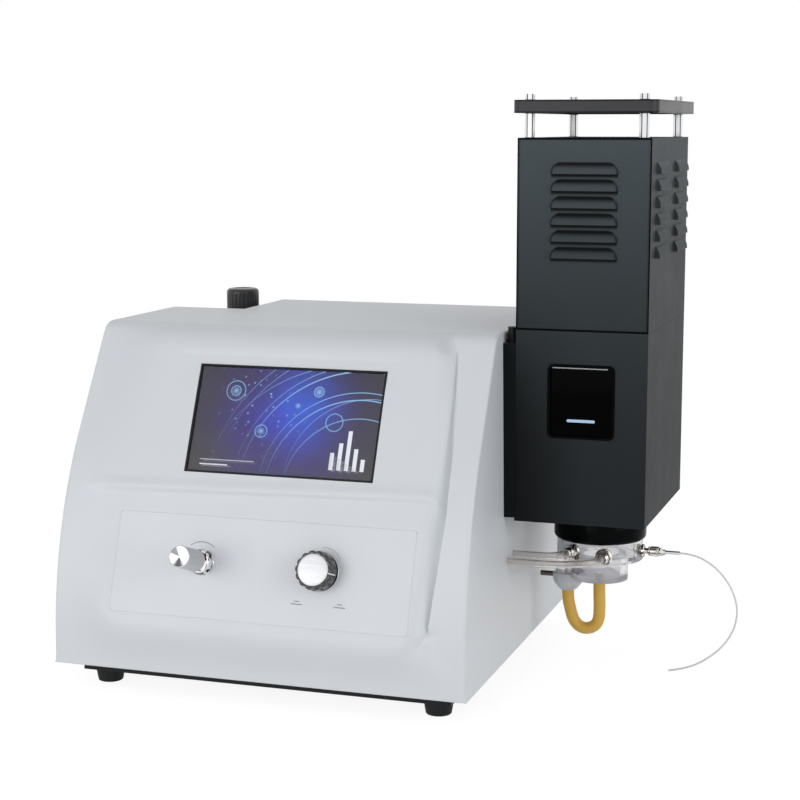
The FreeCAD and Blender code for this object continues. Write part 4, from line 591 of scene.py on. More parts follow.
class Wiring:
    """A node tree with short ways to add and join its nodes."""

    def __init__(self, tree: Tree) -> None:
        """Keeps the tree."""
        self.tree = tree

    def add(self, kind: str, values: dict[str | int, object] | None = None, **settings: object) -> Node:
        """Adds a node.

        Args:
            kind: the node's type name.
            values: its input values, by socket name or number.
            settings: its own properties.

        Returns:
            The node.
        """
        node = self.tree.nodes.new(kind)
        for key, value in settings.items():
            setattr(node, key, value)
        for key, value in (values or {}).items():
            node.inputs[key].default_value = value
        return node

    def join(self, source: Socket, target: Socket) -> None:
        """Joins an output to an input."""
        self.tree.links.new(source, target)

    def group(self, tree: Tree, **values: object) -> Node:
        """Adds a shared effect with its plain values set; returns its node.

        Args:
            tree: the effect.
            values: its plain input values.

        Returns:
            The node.
        """
        node = self.add("ShaderNodeGroup", node_tree=tree)
        for name, value in values.items():
            node.inputs[name].default_value = value
        return node

    def feed(self, node: Node, terms: dict[int | str, object]) -> None:
        """Gives inputs their sockets or plain values.

        Args:
            node: the node.
            terms: sockets or values, by input.
        """
        for key, term in terms.items():
            if isinstance(term, Socket):
                self.join(term, node.inputs[key])
            else:
                node.inputs[key].default_value = term

    def place(self) -> Socket:
        """Where a point lies, on Object coordinates."""
        return self.add("ShaderNodeTexCoord").outputs["Object"]

    def split(self, vector: Socket) -> bpy.types.bpy_prop_collection:
        """The X, Y and Z of a vector.

        Args:
            vector: the vector.

        Returns:
            Its three outputs.
        """
        node = self.add("ShaderNodeSeparateXYZ")
        self.join(vector, node.inputs[0])
        return node.outputs

    def noise(self, vector: Socket, scale: object, **values: float) -> Socket:
        """A noise pattern's value; its scale is a socket or a number.

        Args:
            vector: where the pattern is read.
            scale: how fine it is.
            values: the node's other input values.

        Returns:
            The pattern's output, 0 to 1.
        """
        node = self.add("ShaderNodeTexNoise", values)
        self.feed(node, {"Vector": vector, "Scale": scale})
        return node.outputs["Fac"]

    def scaled(self, colour: Socket, gain: Socket) -> Socket:
        """A colour made brighter or darker.

        Args:
            colour: the colour.
            gain: what it is multiplied by.

        Returns:
            The colour's output.
        """
        node = self.add("ShaderNodeVectorMath", operation="SCALE")
        self.feed(node, {0: colour, "Scale": gain})
        return node.outputs[0]

    def away(self, origin: Triple) -> Socket:
        """The way from a fixed point to the place, in metres.

        Args:
            origin: the fixed point, in metres.

        Returns:
            The way's output.
        """
        node = self.add("ShaderNodeVectorMath", operation="SUBTRACT")
        self.feed(node, {0: self.place(), 1: origin})
        return node.outputs[0]

    def along(self, vector: Socket, axis: Triple) -> Socket:
        """A vector's part along an axis.

        Args:
            vector: the vector.
            axis: the axis, of length 1.

        Returns:
            The part's output.
        """
        node = self.add("ShaderNodeVectorMath", operation="DOT_PRODUCT")
        self.feed(node, {0: vector, 1: axis})
        return node.outputs["Value"]

    def math(self, operation: str, first: object, second: object = 0.0, clamp: bool = False) -> Socket:
        """A Math node on sockets or numbers; returns its output.

        Args:
            operation: the node's operation.
            first: a socket or number.
            second: a socket or number.
            clamp: whether the result is kept within 0 to 1.

        Returns:
            The result's output.
        """
        node = self.add("ShaderNodeMath", operation=operation, use_clamp=clamp)
        self.feed(node, {0: first, 1: second})
        return node.outputs[0]

    def mix(self, factor: object, first: object, second: object) -> Socket:
        """A colour mix of sockets or colours; returns its output.

        Args:
            factor: the second one's share.
            first: a socket or colour.
            second: a socket or colour.

        Returns:
            The colour's output.
        """
        node = self.add("ShaderNodeMix", data_type="RGBA")
        self.feed(node, {0: factor, 6: first, 7: second})
        return node.outputs[2]

    def ramp(
        self, value: Socket, low: float, high: float, to_low: float = 0.0, to_high: float = 1.0
    ) -> Socket:
        """A clamped range from low..high to to_low..to_high; returns its output.

        Args:
            value: the value.
            low: where the range starts.
            high: where it ends.
            to_low: the result at low.
            to_high: the result at high.

        Returns:
            The result's output.
        """
        node = self.add("ShaderNodeMapRange", {1: low, 2: high, 3: to_low, 4: to_high})
        self.join(value, node.inputs[0])
        return node.outputs[0]


def effect(
    name: str, inputs: dict[str, tuple[str, object]], outputs: dict[str, str]
) -> tuple[Tree, Wiring, Node, Node]:
    """An empty shader node group with named sockets.

    Args:
        name: the group's name.
        inputs: its inputs as name to (socket type, default).
        outputs: its outputs as name to socket type.

    Returns:
        The tree, its wiring, its input node and its output node.
    """
    tree = bpy.data.node_groups.new(name, "ShaderNodeTree")
    for label, (kind, default) in inputs.items():
        socket = tree.interface.new_socket(name=label, in_out="INPUT", socket_type=kind)
        socket.default_value = default
    for label, kind in outputs.items():
        tree.interface.new_socket(name=label, in_out="OUTPUT", socket_type=kind)
    wiring = Wiring(tree)
    return tree, wiring, wiring.add("NodeGroupInput"), wiring.add("NodeGroupOutput")


def mottle_effect() -> Tree:
    """Colour that drifts a little lighter and darker in broad soft patches.

    Returns:
        The effect's tree.
    """
    tree, w, start, end = effect(
        "mottle",
        {
            "Colour": ("NodeSocketColor", (0.5, 0.5, 0.5, 1)),
            "Amount": ("NodeSocketFloat", 0.05),
            "Scale": ("NodeSocketFloat", 20.0),
        },
        {"Colour": "NodeSocketColor"},
    )
    noise = w.noise(w.place(), start.outputs["Scale"], Detail=3.0, Roughness=0.55)
    swing = w.math("MULTIPLY", w.math("SUBTRACT", noise, 0.5), start.outputs["Amount"])
    gain = w.math("ADD", w.math("MULTIPLY", swing, 2.0), 1.0)
    w.join(w.scaled(start.outputs["Colour"], gain), end.inputs["Colour"])
    return tree


def grain_effect() -> Tree:
    """A fine surface grain as a normal, and the roughness that goes with it.

    Returns:
        The effect's tree.
    """
    tree, w, start, end = effect(
        "grain",
        {
            "Scale": ("NodeSocketFloat", 800.0),
            "Depth": ("NodeSocketFloat", 0.00002),
            "Strength": ("NodeSocketFloat", 0.2),
            "Roughness": ("NodeSocketFloat", 0.5),
            "Spread": ("NodeSocketFloat", 0.1),
        },
        {"Normal": "NodeSocketVector", "Roughness": "NodeSocketFloat"},
    )
    place = w.place()
    bump = w.add("ShaderNodeBump")
    height = w.noise(place, start.outputs["Scale"], Detail=2.0, Roughness=0.6)
    strength, depth = start.outputs["Strength"], start.outputs["Depth"]
    w.feed(bump, {"Height": height, "Strength": strength, "Distance": depth})
    w.join(bump.outputs[0], end.inputs["Normal"])
    smear = w.noise(place, 35.0, Detail=4.0, Roughness=0.6)
    swing = w.math("MULTIPLY", w.math("SUBTRACT", smear, 0.5), start.outputs["Spread"])
    rough = w.math("ADD", start.outputs["Roughness"], w.math("MULTIPLY", swing, 2.0), clamp=True)
    w.join(rough, end.inputs["Roughness"])
    return tree


def brushed_effect() -> Tree:
    """Fine lines drawn along one axis, as a mask, from stretched noise.

    Returns:
        The effect's tree.
    """
    tree, w, start, end = effect(
        "brushed",
        {"Stretch": ("NodeSocketVector", (1.0, 1.0, 1.0)), "Scale": ("NodeSocketFloat", 900.0)},
        {"Mask": "NodeSocketFloat"},
    )
    stretched = w.add("ShaderNodeVectorMath", operation="MULTIPLY")
    w.feed(stretched, {0: w.place(), 1: start.outputs["Stretch"]})
    w.join(w.noise(stretched.outputs[0], start.outputs["Scale"], Detail=1.0), end.inputs["Mask"])
    return tree


def dust_effect() -> Tree:
    """A faint pale dust on faces that look up, broken by noise.

    Returns:
        The effect's tree.
    """
    tree, w, start, end = effect(
        "dust",
        {
            "Colour": ("NodeSocketColor", (0.5, 0.5, 0.5, 1)),
            "Dust": ("NodeSocketColor", (0.6, 0.58, 0.55, 1)),
            "Amount": ("NodeSocketFloat", 0.06),
        },
        {"Colour": "NodeSocketColor"},
    )
    upward = w.split(w.add("ShaderNodeNewGeometry").outputs["Normal"])[2]
    patches = w.noise(w.place(), 120.0, Detail=5.0, Roughness=0.7)
    mask = w.math("MULTIPLY", w.ramp(upward, 0.3, 1.0), w.ramp(patches, 0.4, 0.75))
    share = w.math("MULTIPLY", mask, start.outputs["Amount"])
    w.join(w.mix(share, start.outputs["Colour"], start.outputs["Dust"]), end.inputs["Colour"])
    return tree


def painted_reflection_effect() -> Tree:
    """Painted reflections: broad bright and dark bands that follow a shape's turning, as polished metal shows
    them.

    Returns:
        The effect's tree.
    """
    tree, w, start, end = effect(
        "bands",
        {
            "Bright": ("NodeSocketColor", (0.9, 0.9, 0.9, 1)),
            "Dark": ("NodeSocketColor", (0.1, 0.1, 0.1, 1)),
            "Scale": ("NodeSocketFloat", 2.0),
            "Share": ("NodeSocketFloat", 0.5),
        },
        {"Colour": "NodeSocketColor"},
    )
    # painted reflections, read from the surface's normal
    facing_way = w.add("ShaderNodeTexCoord").outputs["Normal"]
    noise = w.noise(facing_way, start.outputs["Scale"], Detail=1.0, Roughness=0.4)
    above = w.math("SUBTRACT", noise, start.outputs["Share"])
    mask = w.ramp(above, -0.045, 0.045)
    w.join(w.mix(mask, start.outputs["Dark"], start.outputs["Bright"]), end.inputs["Colour"])
    return tree


def painted_shade_effect() -> Tree:
    """Painted shade: darkens a colour where the piece's own float attribute of painted shade is high.

    Returns:
        The effect's tree.
    """
    tree, w, start, end = effect(
        "painted_shades",
        {"Colour": ("NodeSocketColor", (0.5, 0.5, 0.5, 1)), "Keep": ("NodeSocketFloat", 0.1)},
        {"Colour": "NodeSocketColor"},
    )
    # painted shade, read from the piece's own attribute
    painted_shade = w.add("ShaderNodeAttribute", attribute_name="painted_shade").outputs["Fac"]
    loss = w.math("MULTIPLY", painted_shade, w.math("SUBTRACT", 1.0, start.outputs["Keep"]))
    w.join(w.scaled(start.outputs["Colour"], w.math("SUBTRACT", 1.0, loss)), end.inputs["Colour"])
    return tree


MOTTLE = mottle_effect()
GRAIN = grain_effect()
BRUSHED = brushed_effect()
DUST = dust_effect()
PAINTED_REFLECTIONS = painted_reflection_effect()
PAINTED_SHADE = painted_shade_effect()


# ------------------------------------------------------------------ finishes
@dataclass(frozen=True)
class Finish:
    """A painted, moulded or metal surface.

    The colour is given as it shows, 0 to 255. Grain is the size of the fine texture and depth
    how deep it is, both in millimetres."""

    name: str
    colour: Colour
    roughness: float = 0.5
    metallic: float = 0.0
    specular: float = 0.5
    coat: float = 0.0
    mottle: float = 0.03
    grain: float = 0.8
    depth: float = 0.02
    spread: float = 0.06
    dust: float = 0.05

    def surface(self, w: Wiring) -> Node:
        """The Principled node with its plain values set.

        Args:
            w: the material's wiring.

        Returns:
            The node.
        """
        shader = w.add("ShaderNodeBsdfPrincipled")
        shader.inputs["Metallic"].default_value = self.metallic
        shader.inputs["Specular IOR Level"].default_value = self.specular
        shader.inputs["Coat Weight"].default_value = self.coat
        shader.inputs["Coat Roughness"].default_value = 0.15
        return shader

    def paint(self, w: Wiring, shader: Node) -> None:
        """Joins the colour, roughness and normal to the shader.

        Args:
            w: the material's wiring.
            shader: its Principled node.
        """
        colour = w.group(MOTTLE, Colour=linear(self.colour), Amount=self.mottle).outputs["Colour"]
        if self.dust:
            dust = w.group(DUST, Amount=self.dust)
            w.join(colour, dust.inputs["Colour"])
            colour = dust.outputs["Colour"]
        w.join(colour, shader.inputs["Base Color"])
        self.texture(w, shader)

    def texture(self, w: Wiring, shader: Node) -> None:
        """Joins the grain's normal and the roughness.

        Args:
            w: the material's wiring.
            shader: its Principled node.
        """
        grain = w.group(GRAIN, Scale=1.0 / (self.grain * MM), Depth=self.depth * MM, Strength=0.6)
        w.feed(grain, {"Roughness": self.roughness, "Spread": self.spread})
        w.join(grain.outputs["Normal"], shader.inputs["Normal"])
        w.join(grain.outputs["Roughness"], shader.inputs["Roughness"])

    def painted(self, shader: Node) -> Socket:
        """The colour that is joined to the shader so far."""
        return shader.inputs["Base Color"].links[0].from_socket

    def material(self) -> bpy.types.Material:
        """The material, made the first time it is asked for.

        Returns:
            The material.
        """
        made = bpy.data.materials.get(self.name)
        if made:
            return made
        made = bpy.data.materials.new(self.name)
        made.use_nodes = True
        made.node_tree.nodes.clear()
        w = Wiring(made.node_tree)
        shader = self.surface(w)
        self.paint(w, shader)
        end = w.add("ShaderNodeOutputMaterial")
        w.join(shader.outputs[0], end.inputs["Surface"])
        return made


@dataclass(frozen=True)
class Clear(Finish):
    """A see-through plastic, glass or rubber."""

    ior: float = 1.49
    see_through: float = 1.0
    # rim: the colour of painted shade towards the edges
    rim: Colour | None = None

    def surface(self, w: Wiring) -> Node:
        """The Principled node, with light passing through it.

        Args:
            w: the material's wiring.

        Returns:
            The node.
        """
        shader = Finish.surface(self, w)
        shader.inputs["IOR"].default_value = self.ior
        shader.inputs["Transmission Weight"].default_value = self.see_through
        return shader

    def paint(self, w: Wiring, shader: Node) -> None:
        """Joins the colour, darker towards the edges where the wall is seen along itself: painted shade.

        Args:
            w: the material's wiring.
            shader: its Principled node.
        """
        Finish.paint(self, w, shader)
        if self.rim is None:
            return
        body = self.painted(shader)
        # painted shade towards the silhouette's edges
        edge = w.add("ShaderNodeLayerWeight", {"Blend": 0.5})
        mask = w.ramp(edge.outputs["Facing"], 0.55, 0.95)
        w.join(w.mix(mask, body, linear(self.rim)), shader.inputs["Base Color"])


@dataclass(frozen=True)
class Brushed(Finish):
    """A metal with fine lines drawn along one axis."""

    stretch: Triple = (0.03, 1.0, 1.0)
    dark: float = 0.8

    def paint(self, w: Wiring, shader: Node) -> None:
        """Joins a colour broken by the lines, then the grain.

        Args:
            w: the material's wiring.
            shader: its Principled node.
        """
        lines = w.group(BRUSHED, Stretch=self.stretch)
        first = linear(self.colour)
        second = tuple(self.dark * v for v in first[:3]) + (1.0,)
        w.join(w.mix(w.ramp(lines.outputs["Mask"], 0.35, 0.65), second, first), shader.inputs["Base Color"])
        self.texture(w, shader)


@dataclass(frozen=True)
class Polished(Finish):
    """A bright plated metal with painted reflections: broad dark and bright bands."""

    dark: Colour = (70, 64, 60)
    bands: float = 2.0
    share: float = 0.46

    def paint(self, w: Wiring, shader: Node) -> None:
        """Joins the painted reflection bands, then the grain.

        Args:
            w: the material's wiring.
            shader: its Principled node.
        """
        bright, dark = linear(self.colour), linear(self.dark)
        bands = w.group(PAINTED_REFLECTIONS, Bright=bright, Dark=dark, Scale=self.bands, Share=self.share)
        w.join(bands.outputs["Colour"], shader.inputs["Base Color"])
        self.texture(w, shader)


@dataclass(frozen=True)
class Spun(Finish):
    """A metal face turned on a lathe, with painted reflections: bright and dark wedges round its middle."""

    middle: Triple = (0.0, 0.0, 0.0)
    across: Triple = (1.0, 0.0, 0.0)
    up: Triple = (0.0, 1.0, 0.0)
    dark: Colour = (70, 70, 72)

    def paint(self, w: Wiring, shader: Node) -> None:
        """Joins painted reflection wedges made of two waves of the angle: cos(3a + 1.9) + 0.7 cos(2a - 0.9).

        Args:
            w: the material's wiring.
            shader: its Principled node.
        """
        offset = w.away(self.middle)
        angle = w.math("ARCTAN2", w.along(offset, self.up), w.along(offset, self.across))
        three = w.math("COSINE", w.math("ADD", w.math("MULTIPLY", angle, 3.0), 1.9))
        two = w.math("COSINE", w.math("SUBTRACT", w.math("MULTIPLY", angle, 2.0), 0.9))
        wave = w.math("ADD", three, w.math("MULTIPLY", two, 0.7))
        mask = w.ramp(wave, -1.0, 1.1)
        w.join(w.mix(mask, linear(self.dark), linear(self.colour)), shader.inputs["Base Color"])
        self.texture(w, shader)


@dataclass(frozen=True)
class Pressed(Finish):
    """A painted sheet with painted light and shade: paler towards its top, darker low on its left and on its
    side faces, and painted shade in its pressed louvres.
    """

    # low and high set the painted light from bottom to top, left and flank the painted shade, keep what stays
    # of the colour in the louvres' painted shade
    keep: float = 0.06
    low: float = 0.4
    high: float = 1.62
    left: float = 0.3
    flank: float = 0.64

    def paint(self, w: Wiring, shader: Node) -> None:
        """Joins the paint through the louvres' painted shade, after painted light and shade by height, left
        edge and flanks.

        Painted light: the colour is scaled by low + (high - low) t^1.7 over the tower's height t.

        Args:
            w: the material's wiring.
            shader: its Principled node.
        """
        Finish.paint(self, w, shader)
        body = self.painted(shader)
        place = w.split(w.place())
        # painted light: paler towards the top
        rise = w.math("POWER", w.ramp(place[2], 0.165, 0.435), 1.7)
        height = w.math("ADD", w.math("MULTIPLY", rise, self.high - self.low), self.low)
        # painted shade: darker low down on the left, by the cabinet
        near = w.ramp(place[2], 0.33, 0.2)
        start = TOWER_LEFT * MM
        side = w.ramp(place[0], start, start + 0.055, 1.0 - self.left, 0.0)
        # painted shade: faces that look sideways are darker
        facing_way = w.split(w.add("ShaderNodeNewGeometry").outputs["True Normal"])
        flank = w.ramp(w.math("ABSOLUTE", facing_way[0]), 0.75, 0.95, 1.0, self.flank)
        height = w.math("MULTIPLY", height, flank)
        gain = w.math("MULTIPLY", height, w.math("SUBTRACT", 1.0, w.math("MULTIPLY", near, side)))
        # painted shade of the louvres
        painted_shade = w.group(PAINTED_SHADE, Keep=self.keep)
        w.join(w.scaled(body, gain), painted_shade.inputs["Colour"])
        w.join(painted_shade.outputs["Colour"], shader.inputs["Base Color"])


@dataclass(frozen=True)
class Edged(Finish):
    """A painted plate with painted shade along its upper and lower edges."""

    low: float = 456.7
    high: float = 466.7
    band: float = 1.7

    def paint(self, w: Wiring, shader: Node) -> None:
        """Darkens the paint within a band of each edge, in millimetres of height: painted shade.

        Args:
            w: the material's wiring.
            shader: its Principled node.
        """
        Finish.paint(self, w, shader)
        body = self.painted(shader)
        middle = (self.low + self.high) / 2 * MM
        off = w.math("ABSOLUTE", w.math("SUBTRACT", w.split(w.place())[2], middle))
        half = (self.high - self.low) / 2 * MM
        mask = w.ramp(off, half - self.band * MM, half - self.band * 0.5 * MM)
        # painted shade along both edges
        w.join(w.mix(mask, body, linear((12, 13, 14))), shader.inputs["Base Color"])


@dataclass(frozen=True)
class Frosted(Clear):
    """A clear plastic whose lowest band is frosted."""

    frost: Colour = (236, 234, 242)
    below: float = 80.5

    def paint(self, w: Wiring, shader: Node) -> None:
        """Mixes the frost in under a height in millimetres.

        Args:
            w: the material's wiring.
            shader: its Principled node.
        """
        Clear.paint(self, w, shader)
        body = self.painted(shader)
        smooth = shader.inputs["Roughness"].links[0].from_socket
        mask = w.ramp(w.split(w.place())[2], (self.below + 0.5) * MM, (self.below - 0.5) * MM)
        w.join(w.mix(mask, body, linear(self.frost)), shader.inputs["Base Color"])
        rough = w.math("ADD", smooth, w.math("MULTIPLY", mask, 0.4), clamp=True)
        w.join(rough, shader.inputs["Roughness"])


@dataclass(frozen=True)
class Screen(Finish):
    """The lit display: a violet and blue glow, thin arcs, rings, dots and a level gauge.

    An arc is its middle, its radius and half its line's width; a ring its middle and radius; a spot
    its middle and size; and the gauge is the bars' tops."""

    arcs: tuple[tuple[float, float, float, float], ...] = (
        (62, -52, 58, 0.5), (62, -52, 73, 0.6), (62, -52, 79, 0.4), (62, -52, 96, 0.6), (62, -52, 101, 0.3),
        (62, -52, 122, 0.35), (50, -70, 118, 0.3), (74, -64, 132, 0.3), (70, -44, 66, 0.25),
    )
    rings: tuple[Triple, ...] = ((-46, 24, 8.0), (-46, 24, 4.0), (-20, -8, 5.0), (24, 26, 4.0), (40, 2, 7.0))
    spots: tuple[Triple, ...] = ((-46, 24, 4.4), (24, 26, 5.2), (-20, -8, 4.0), (8, 14, 3.2))
    gauge: tuple[float, ...] = (-22, -14, -4, -18, -26)

    def paint(self, w: Wiring, shader: Node) -> None:
        """Draws in millimetres across (u) and up (v) the panel and joins it as light.

        Args:
            w: the material's wiring.
            shader: its Principled node.
        """
        offset = w.away(tuple(DISPLAY.at(0, 0, 0)))
        u, v = (w.math("MULTIPLY", w.along(offset, axis), 1.0 / MM) for axis in (DISPLAY.across, DISPLAY.up))
        drift = w.ramp(w.noise(w.place(), 26.0, Detail=3.0, Roughness=0.6), 0.3, 0.7, 0.55, 1.25)
        colour = w.mix(w.ramp(v, -44, 44), linear((66, 65, 66)), linear((50, 46, 58)))
        for at_u, at_v, size, light in ((0, 4, 88, (64, 34, 168)), (12, 12, 50, (50, 104, 226))):
            share = w.math("MULTIPLY", self.glow(w, u, v, at_u, at_v, size), drift)
            colour = w.mix(share, colour, linear(light))
        sky = linear((150, 205, 250))
        fade = w.math("MULTIPLY", w.ramp(u, -74, 30), w.ramp(v, -44, 30, 0.15, 1.0))
        for hoop in self.arcs:
            colour = w.mix(w.math("MULTIPLY", self.hoop(w, u, v, *hoop), fade), colour, sky)
        for hoop in self.rings:
            colour = w.mix(w.math("MULTIPLY", self.hoop(w, u, v, *hoop, 0.5), 0.7), colour, sky)
        for spot in self.spots:
            colour = w.mix(w.math("MULTIPLY", self.glow(w, u, v, *spot), 0.9), colour, sky)
        specks = w.add("ShaderNodeTexVoronoi", {"Scale": 190.0, "Randomness": 1.0})
        w.join(w.place(), specks.inputs["Vector"])
        dots = w.ramp(specks.outputs["Distance"], 0.2, 0.1)
        colour = w.mix(w.math("MULTIPLY", dots, self.glow(w, u, v, -20, 16, 62)), colour, sky)
        white = linear((236, 240, 246))
        for step, top in enumerate(self.gauge):
            colour = w.mix(self.block(w, u, v, 40 + 6.4 * step, 43.6 + 6.4 * step, -36, top), colour, white)
        colour = w.mix(self.block(w, u, v, -68, -22, -33.4, -32.6), colour, white)
        colour = w.mix(self.block(w, u, v, -68, -44, -37.6, -36.2), colour, white)
        w.join(colour, shader.inputs["Emission Color"])
        shader.inputs["Emission Strength"].default_value = 0.95
        shader.inputs["Base Color"].default_value = (0.01, 0.01, 0.012, 1)
        self.texture(w, shader)

    def reach(self, w: Wiring, u: Socket, v: Socket, at_u: float, at_v: float) -> Socket:
        """The distance from a point: sqrt((u - at_u)^2 + (v - at_v)^2)."""
        du, dv = w.math("SUBTRACT", u, at_u), w.math("SUBTRACT", v, at_v)
        return w.math("SQRT", w.math("ADD", w.math("MULTIPLY", du, du), w.math("MULTIPLY", dv, dv)))

    def glow(self, w: Wiring, u: Socket, v: Socket, at_u: float, at_v: float, size: float) -> Socket:
        """A soft round spot, 1 at its middle and 0 at its size."""
        near = w.ramp(self.reach(w, u, v, at_u, at_v), size, 0.0)
        return w.math("POWER", near, 1.6)

    def hoop(
        self, w: Wiring, u: Socket, v: Socket, at_u: float, at_v: float, radius: float, half: float
    ) -> Socket:
        """A thin circle: 1 on its radius, 0 at half a line's width from it."""
        off = w.math("ABSOLUTE", w.math("SUBTRACT", self.reach(w, u, v, at_u, at_v), radius))
        return w.ramp(off, half, half * 0.4)

    def block(
        self, w: Wiring, u: Socket, v: Socket, left: float, right: float, low: float, high: float
    ) -> Socket:
        """An upright rectangle with crisp sides.

        Args:
            w: the material's wiring.
            u: millimetres across the panel.
            v: millimetres up it.
            left: its left side.
            right: its right side.
            low: its lower side.
            high: its upper side.

        Returns:
            1 inside it and 0 outside.
        """
        sides = w.math("MULTIPLY", w.ramp(u, left, left + 0.3), w.ramp(u, right, right - 0.3))
        ends = w.math("MULTIPLY", w.ramp(v, low, low + 0.3), w.ramp(v, high, high - 0.3))
        return w.math("MULTIPLY", sides, ends)


@dataclass(frozen=True)
class Glowing(Finish):
    """A surface that gives off a little light of its own colour: painted light on a part that is no lamp."""

    strength: float = 0.8

    def paint(self, w: Wiring, shader: Node) -> None:
        """Joins the colour as light as well as paint.

        Args:
            w: the material's wiring.
            shader: its Principled node.
        """
        Finish.paint(self, w, shader)
        w.join(self.painted(shader), shader.inputs["Emission Color"])
        shader.inputs["Emission Strength"].default_value = self.strength


CASE = Finish("case_plastic_paint", (222, 225, 229), roughness=0.42, mottle=0.012, grain=0.9, depth=0.006)
PLATE_PAINT = Finish("plate_paint", (224, 226, 230), roughness=0.4, mottle=0.01, grain=0.6, depth=0.004)
MARK_INK = Finish("mark_ink", (132, 134, 138), roughness=0.6, dust=0.0)
TRAY = Finish("tray_black", (20, 22, 24), roughness=0.5, specular=0.2, grain=1.2)
RUBBER = Finish(
    "foot_rubber_black", (20, 22, 23), roughness=0.7, specular=0.25, grain=0.5, depth=0.04, mottle=0.08,
)
SCREW = Finish("screw_steel_plain", (176, 178, 180), roughness=0.3, metallic=1.0, grain=0.3)
PANEL = Finish("rear_panel_paint", (206, 209, 212), roughness=0.45, grain=0.7)
BEZEL = Finish("bezel_black", (14, 14, 16), roughness=0.4, specular=0.25, grain=0.5, depth=0.005, dust=0.0)
TOUCH = Clear(
    "touch_glass_clear", (248, 248, 250), roughness=0.02, specular=0.08, ior=1.5, grain=30.0,
    depth=0.0001, dust=0.0,
)
SCREEN = Screen("display_lit", (40, 38, 46), roughness=0.5, specular=0.1, depth=0.0005)
BOARD = Finish("board_green_mask", (28, 92, 58), roughness=0.35, mottle=0.15)
BRASS = Finish("valve_brass_plain", (198, 164, 96), roughness=0.3, metallic=1.0, grain=0.4)
# painted reflections in broad bands
CHROME = Polished(
    "polished_chrome", (240, 240, 242), roughness=0.08, metallic=1.0, depth=0.0005, spread=0.03,
    dust=0.0, dark=(52, 44, 42), bands=2.6, share=0.47,
)
KNURL = Finish(
    "knurled_steel", (206, 207, 209), roughness=0.36, metallic=1.0, grain=0.3, depth=0.004, dust=0.0,
)
STEEL = Finish("turned_steel", (190, 192, 194), roughness=0.25, metallic=1.0, grain=0.3, depth=0.003)
KNOB_BLACK = Finish(
    "knob_black_gloss", (10, 11, 12), roughness=0.12, specular=0.6, coat=0.4, grain=1.5, depth=0.004,
    dust=0.0,
)
POINTER = Finish("pointer_white", (240, 240, 240), roughness=0.5, dust=0.0)
SILVER = Brushed("cap_silver_spun", (204, 205, 208), roughness=0.5, metallic=1.0, dark=0.9, dust=0.0)
REGULATOR_CAP = Finish(
    "regulator_cap_black", (26, 27, 28), roughness=0.3, specular=0.45, grain=0.6, mottle=0.1,
)
REGULATOR_GREY = Finish("regulator_cast", (150, 153, 156), roughness=0.5, metallic=0.6, grain=0.9, depth=0.05)
BOWL = Clear("bowl_clear_plastic", (240, 242, 244), roughness=0.05, ior=1.58)
INLET = Finish("inlet_black_plastic", (30, 31, 33), roughness=0.45)
OPTICS = Finish("optics_black_anodised", (26, 26, 28), roughness=0.5, metallic=0.3)
LENS = Clear("lens_glass_clear", (250, 252, 252), roughness=0.0, ior=1.52, dust=0.0)
FILTER = Clear("filter_glass_amber", (236, 170, 84), roughness=0.02, ior=1.5, dust=0.0)
# painted light and shade by height, left edge and side faces, and painted shade in the louvres
TOWER = Pressed(
    "tower_slate_paint", (58, 64, 67), roughness=0.5, specular=0.07, mottle=0.05, grain=0.7,
    depth=0.008, dust=0.02,
)
BLOCK = Finish("block_black_paint", (15, 19, 21), roughness=0.45, specular=0.07, grain=0.7, depth=0.01)
# painted shade along its upper and lower edges
CAP = Edged(
    "cap_slate_paint", (64, 64, 67), roughness=0.32, specular=0.14, mottle=0.08, grain=0.6, depth=0.01,
    dust=0.02,
)
GASKET = Finish("gasket_black_rubber", (3, 4, 5), roughness=0.5, specular=0.03, dust=0.0)
TINT = Finish("window_tint_black", (1, 1, 2), roughness=0.05, specular=0.02, depth=0.0005, dust=0.0)
# a painted highlight
GLINT = Finish("pane_painted_highlight", (176, 178, 180), roughness=0.3, specular=0.3, mottle=0.2, dust=0.0)
# painted light: a glowing pale blue bar
PAINTED_GLOW = Glowing("painted_glow_pale_blue", (150, 172, 200), roughness=0.3, dust=0.0, strength=0.42)
POST = Finish("post_steel_bright", (232, 233, 235), roughness=0.22, metallic=1.0, grain=0.4, depth=0.003)
# painted shade on the posts' corner flats
POST_EDGE = Finish(
    "post_edge_painted_shade", (46, 48, 54), roughness=0.4, metallic=0.3, specular=0.2, grain=0.3, dust=0.0,
)
COLLAR = Finish(
    "collar_black_gloss", (3, 5, 6), roughness=0.18, specular=0.04, grain=0.8, depth=0.004, dust=0.0,
)
BURNER_METAL = Finish("burner_stainless", (170, 168, 164), roughness=0.35, metallic=1.0)
IGNITER = Finish("igniter_black_rubber", (12, 13, 15), roughness=0.5, specular=0.2)
# ACRYLIC, CUP and HOSE darken towards their edges through rim: painted shade
ACRYLIC = Frosted(
    "chamber_acrylic", (240, 240, 242), roughness=0.08, see_through=0.9, mottle=0.03, grain=2.0,
    depth=0.01, rim=(158, 156, 160), dust=0.0,
)
CUP = Clear(
    "cup_cloudy", (243, 244, 246), roughness=0.3, see_through=0.45, mottle=0.06, grain=2.0, depth=0.02,
    rim=(196, 198, 202), dust=0.0,
)
SPOUT = Finish("spout_dark_steel", (92, 84, 76), roughness=0.35, metallic=0.8, grain=0.4)
# painted reflections in broad bands
NICKEL = Polished(
    "fitting_nickel_plate", (226, 222, 216), roughness=0.16, metallic=1.0, grain=0.4, depth=0.003,
    dark=(84, 76, 70), bands=2.4, share=0.47,
)
HOSE = Clear(
    "hose_clear_vinyl", (243, 240, 237), roughness=0.08, ior=1.34, see_through=0.88, rim=(94, 87, 82),
    dust=0.0,
)
LATEX = Finish(
    "latex_amber_rubber", (226, 180, 78), roughness=0.4, specular=0.45, mottle=0.1, grain=0.8,
    depth=0.02, dust=0.0,
)
CAPILLARY = Finish("capillary_white_tube", (226, 227, 228), roughness=0.3, depth=0.002)


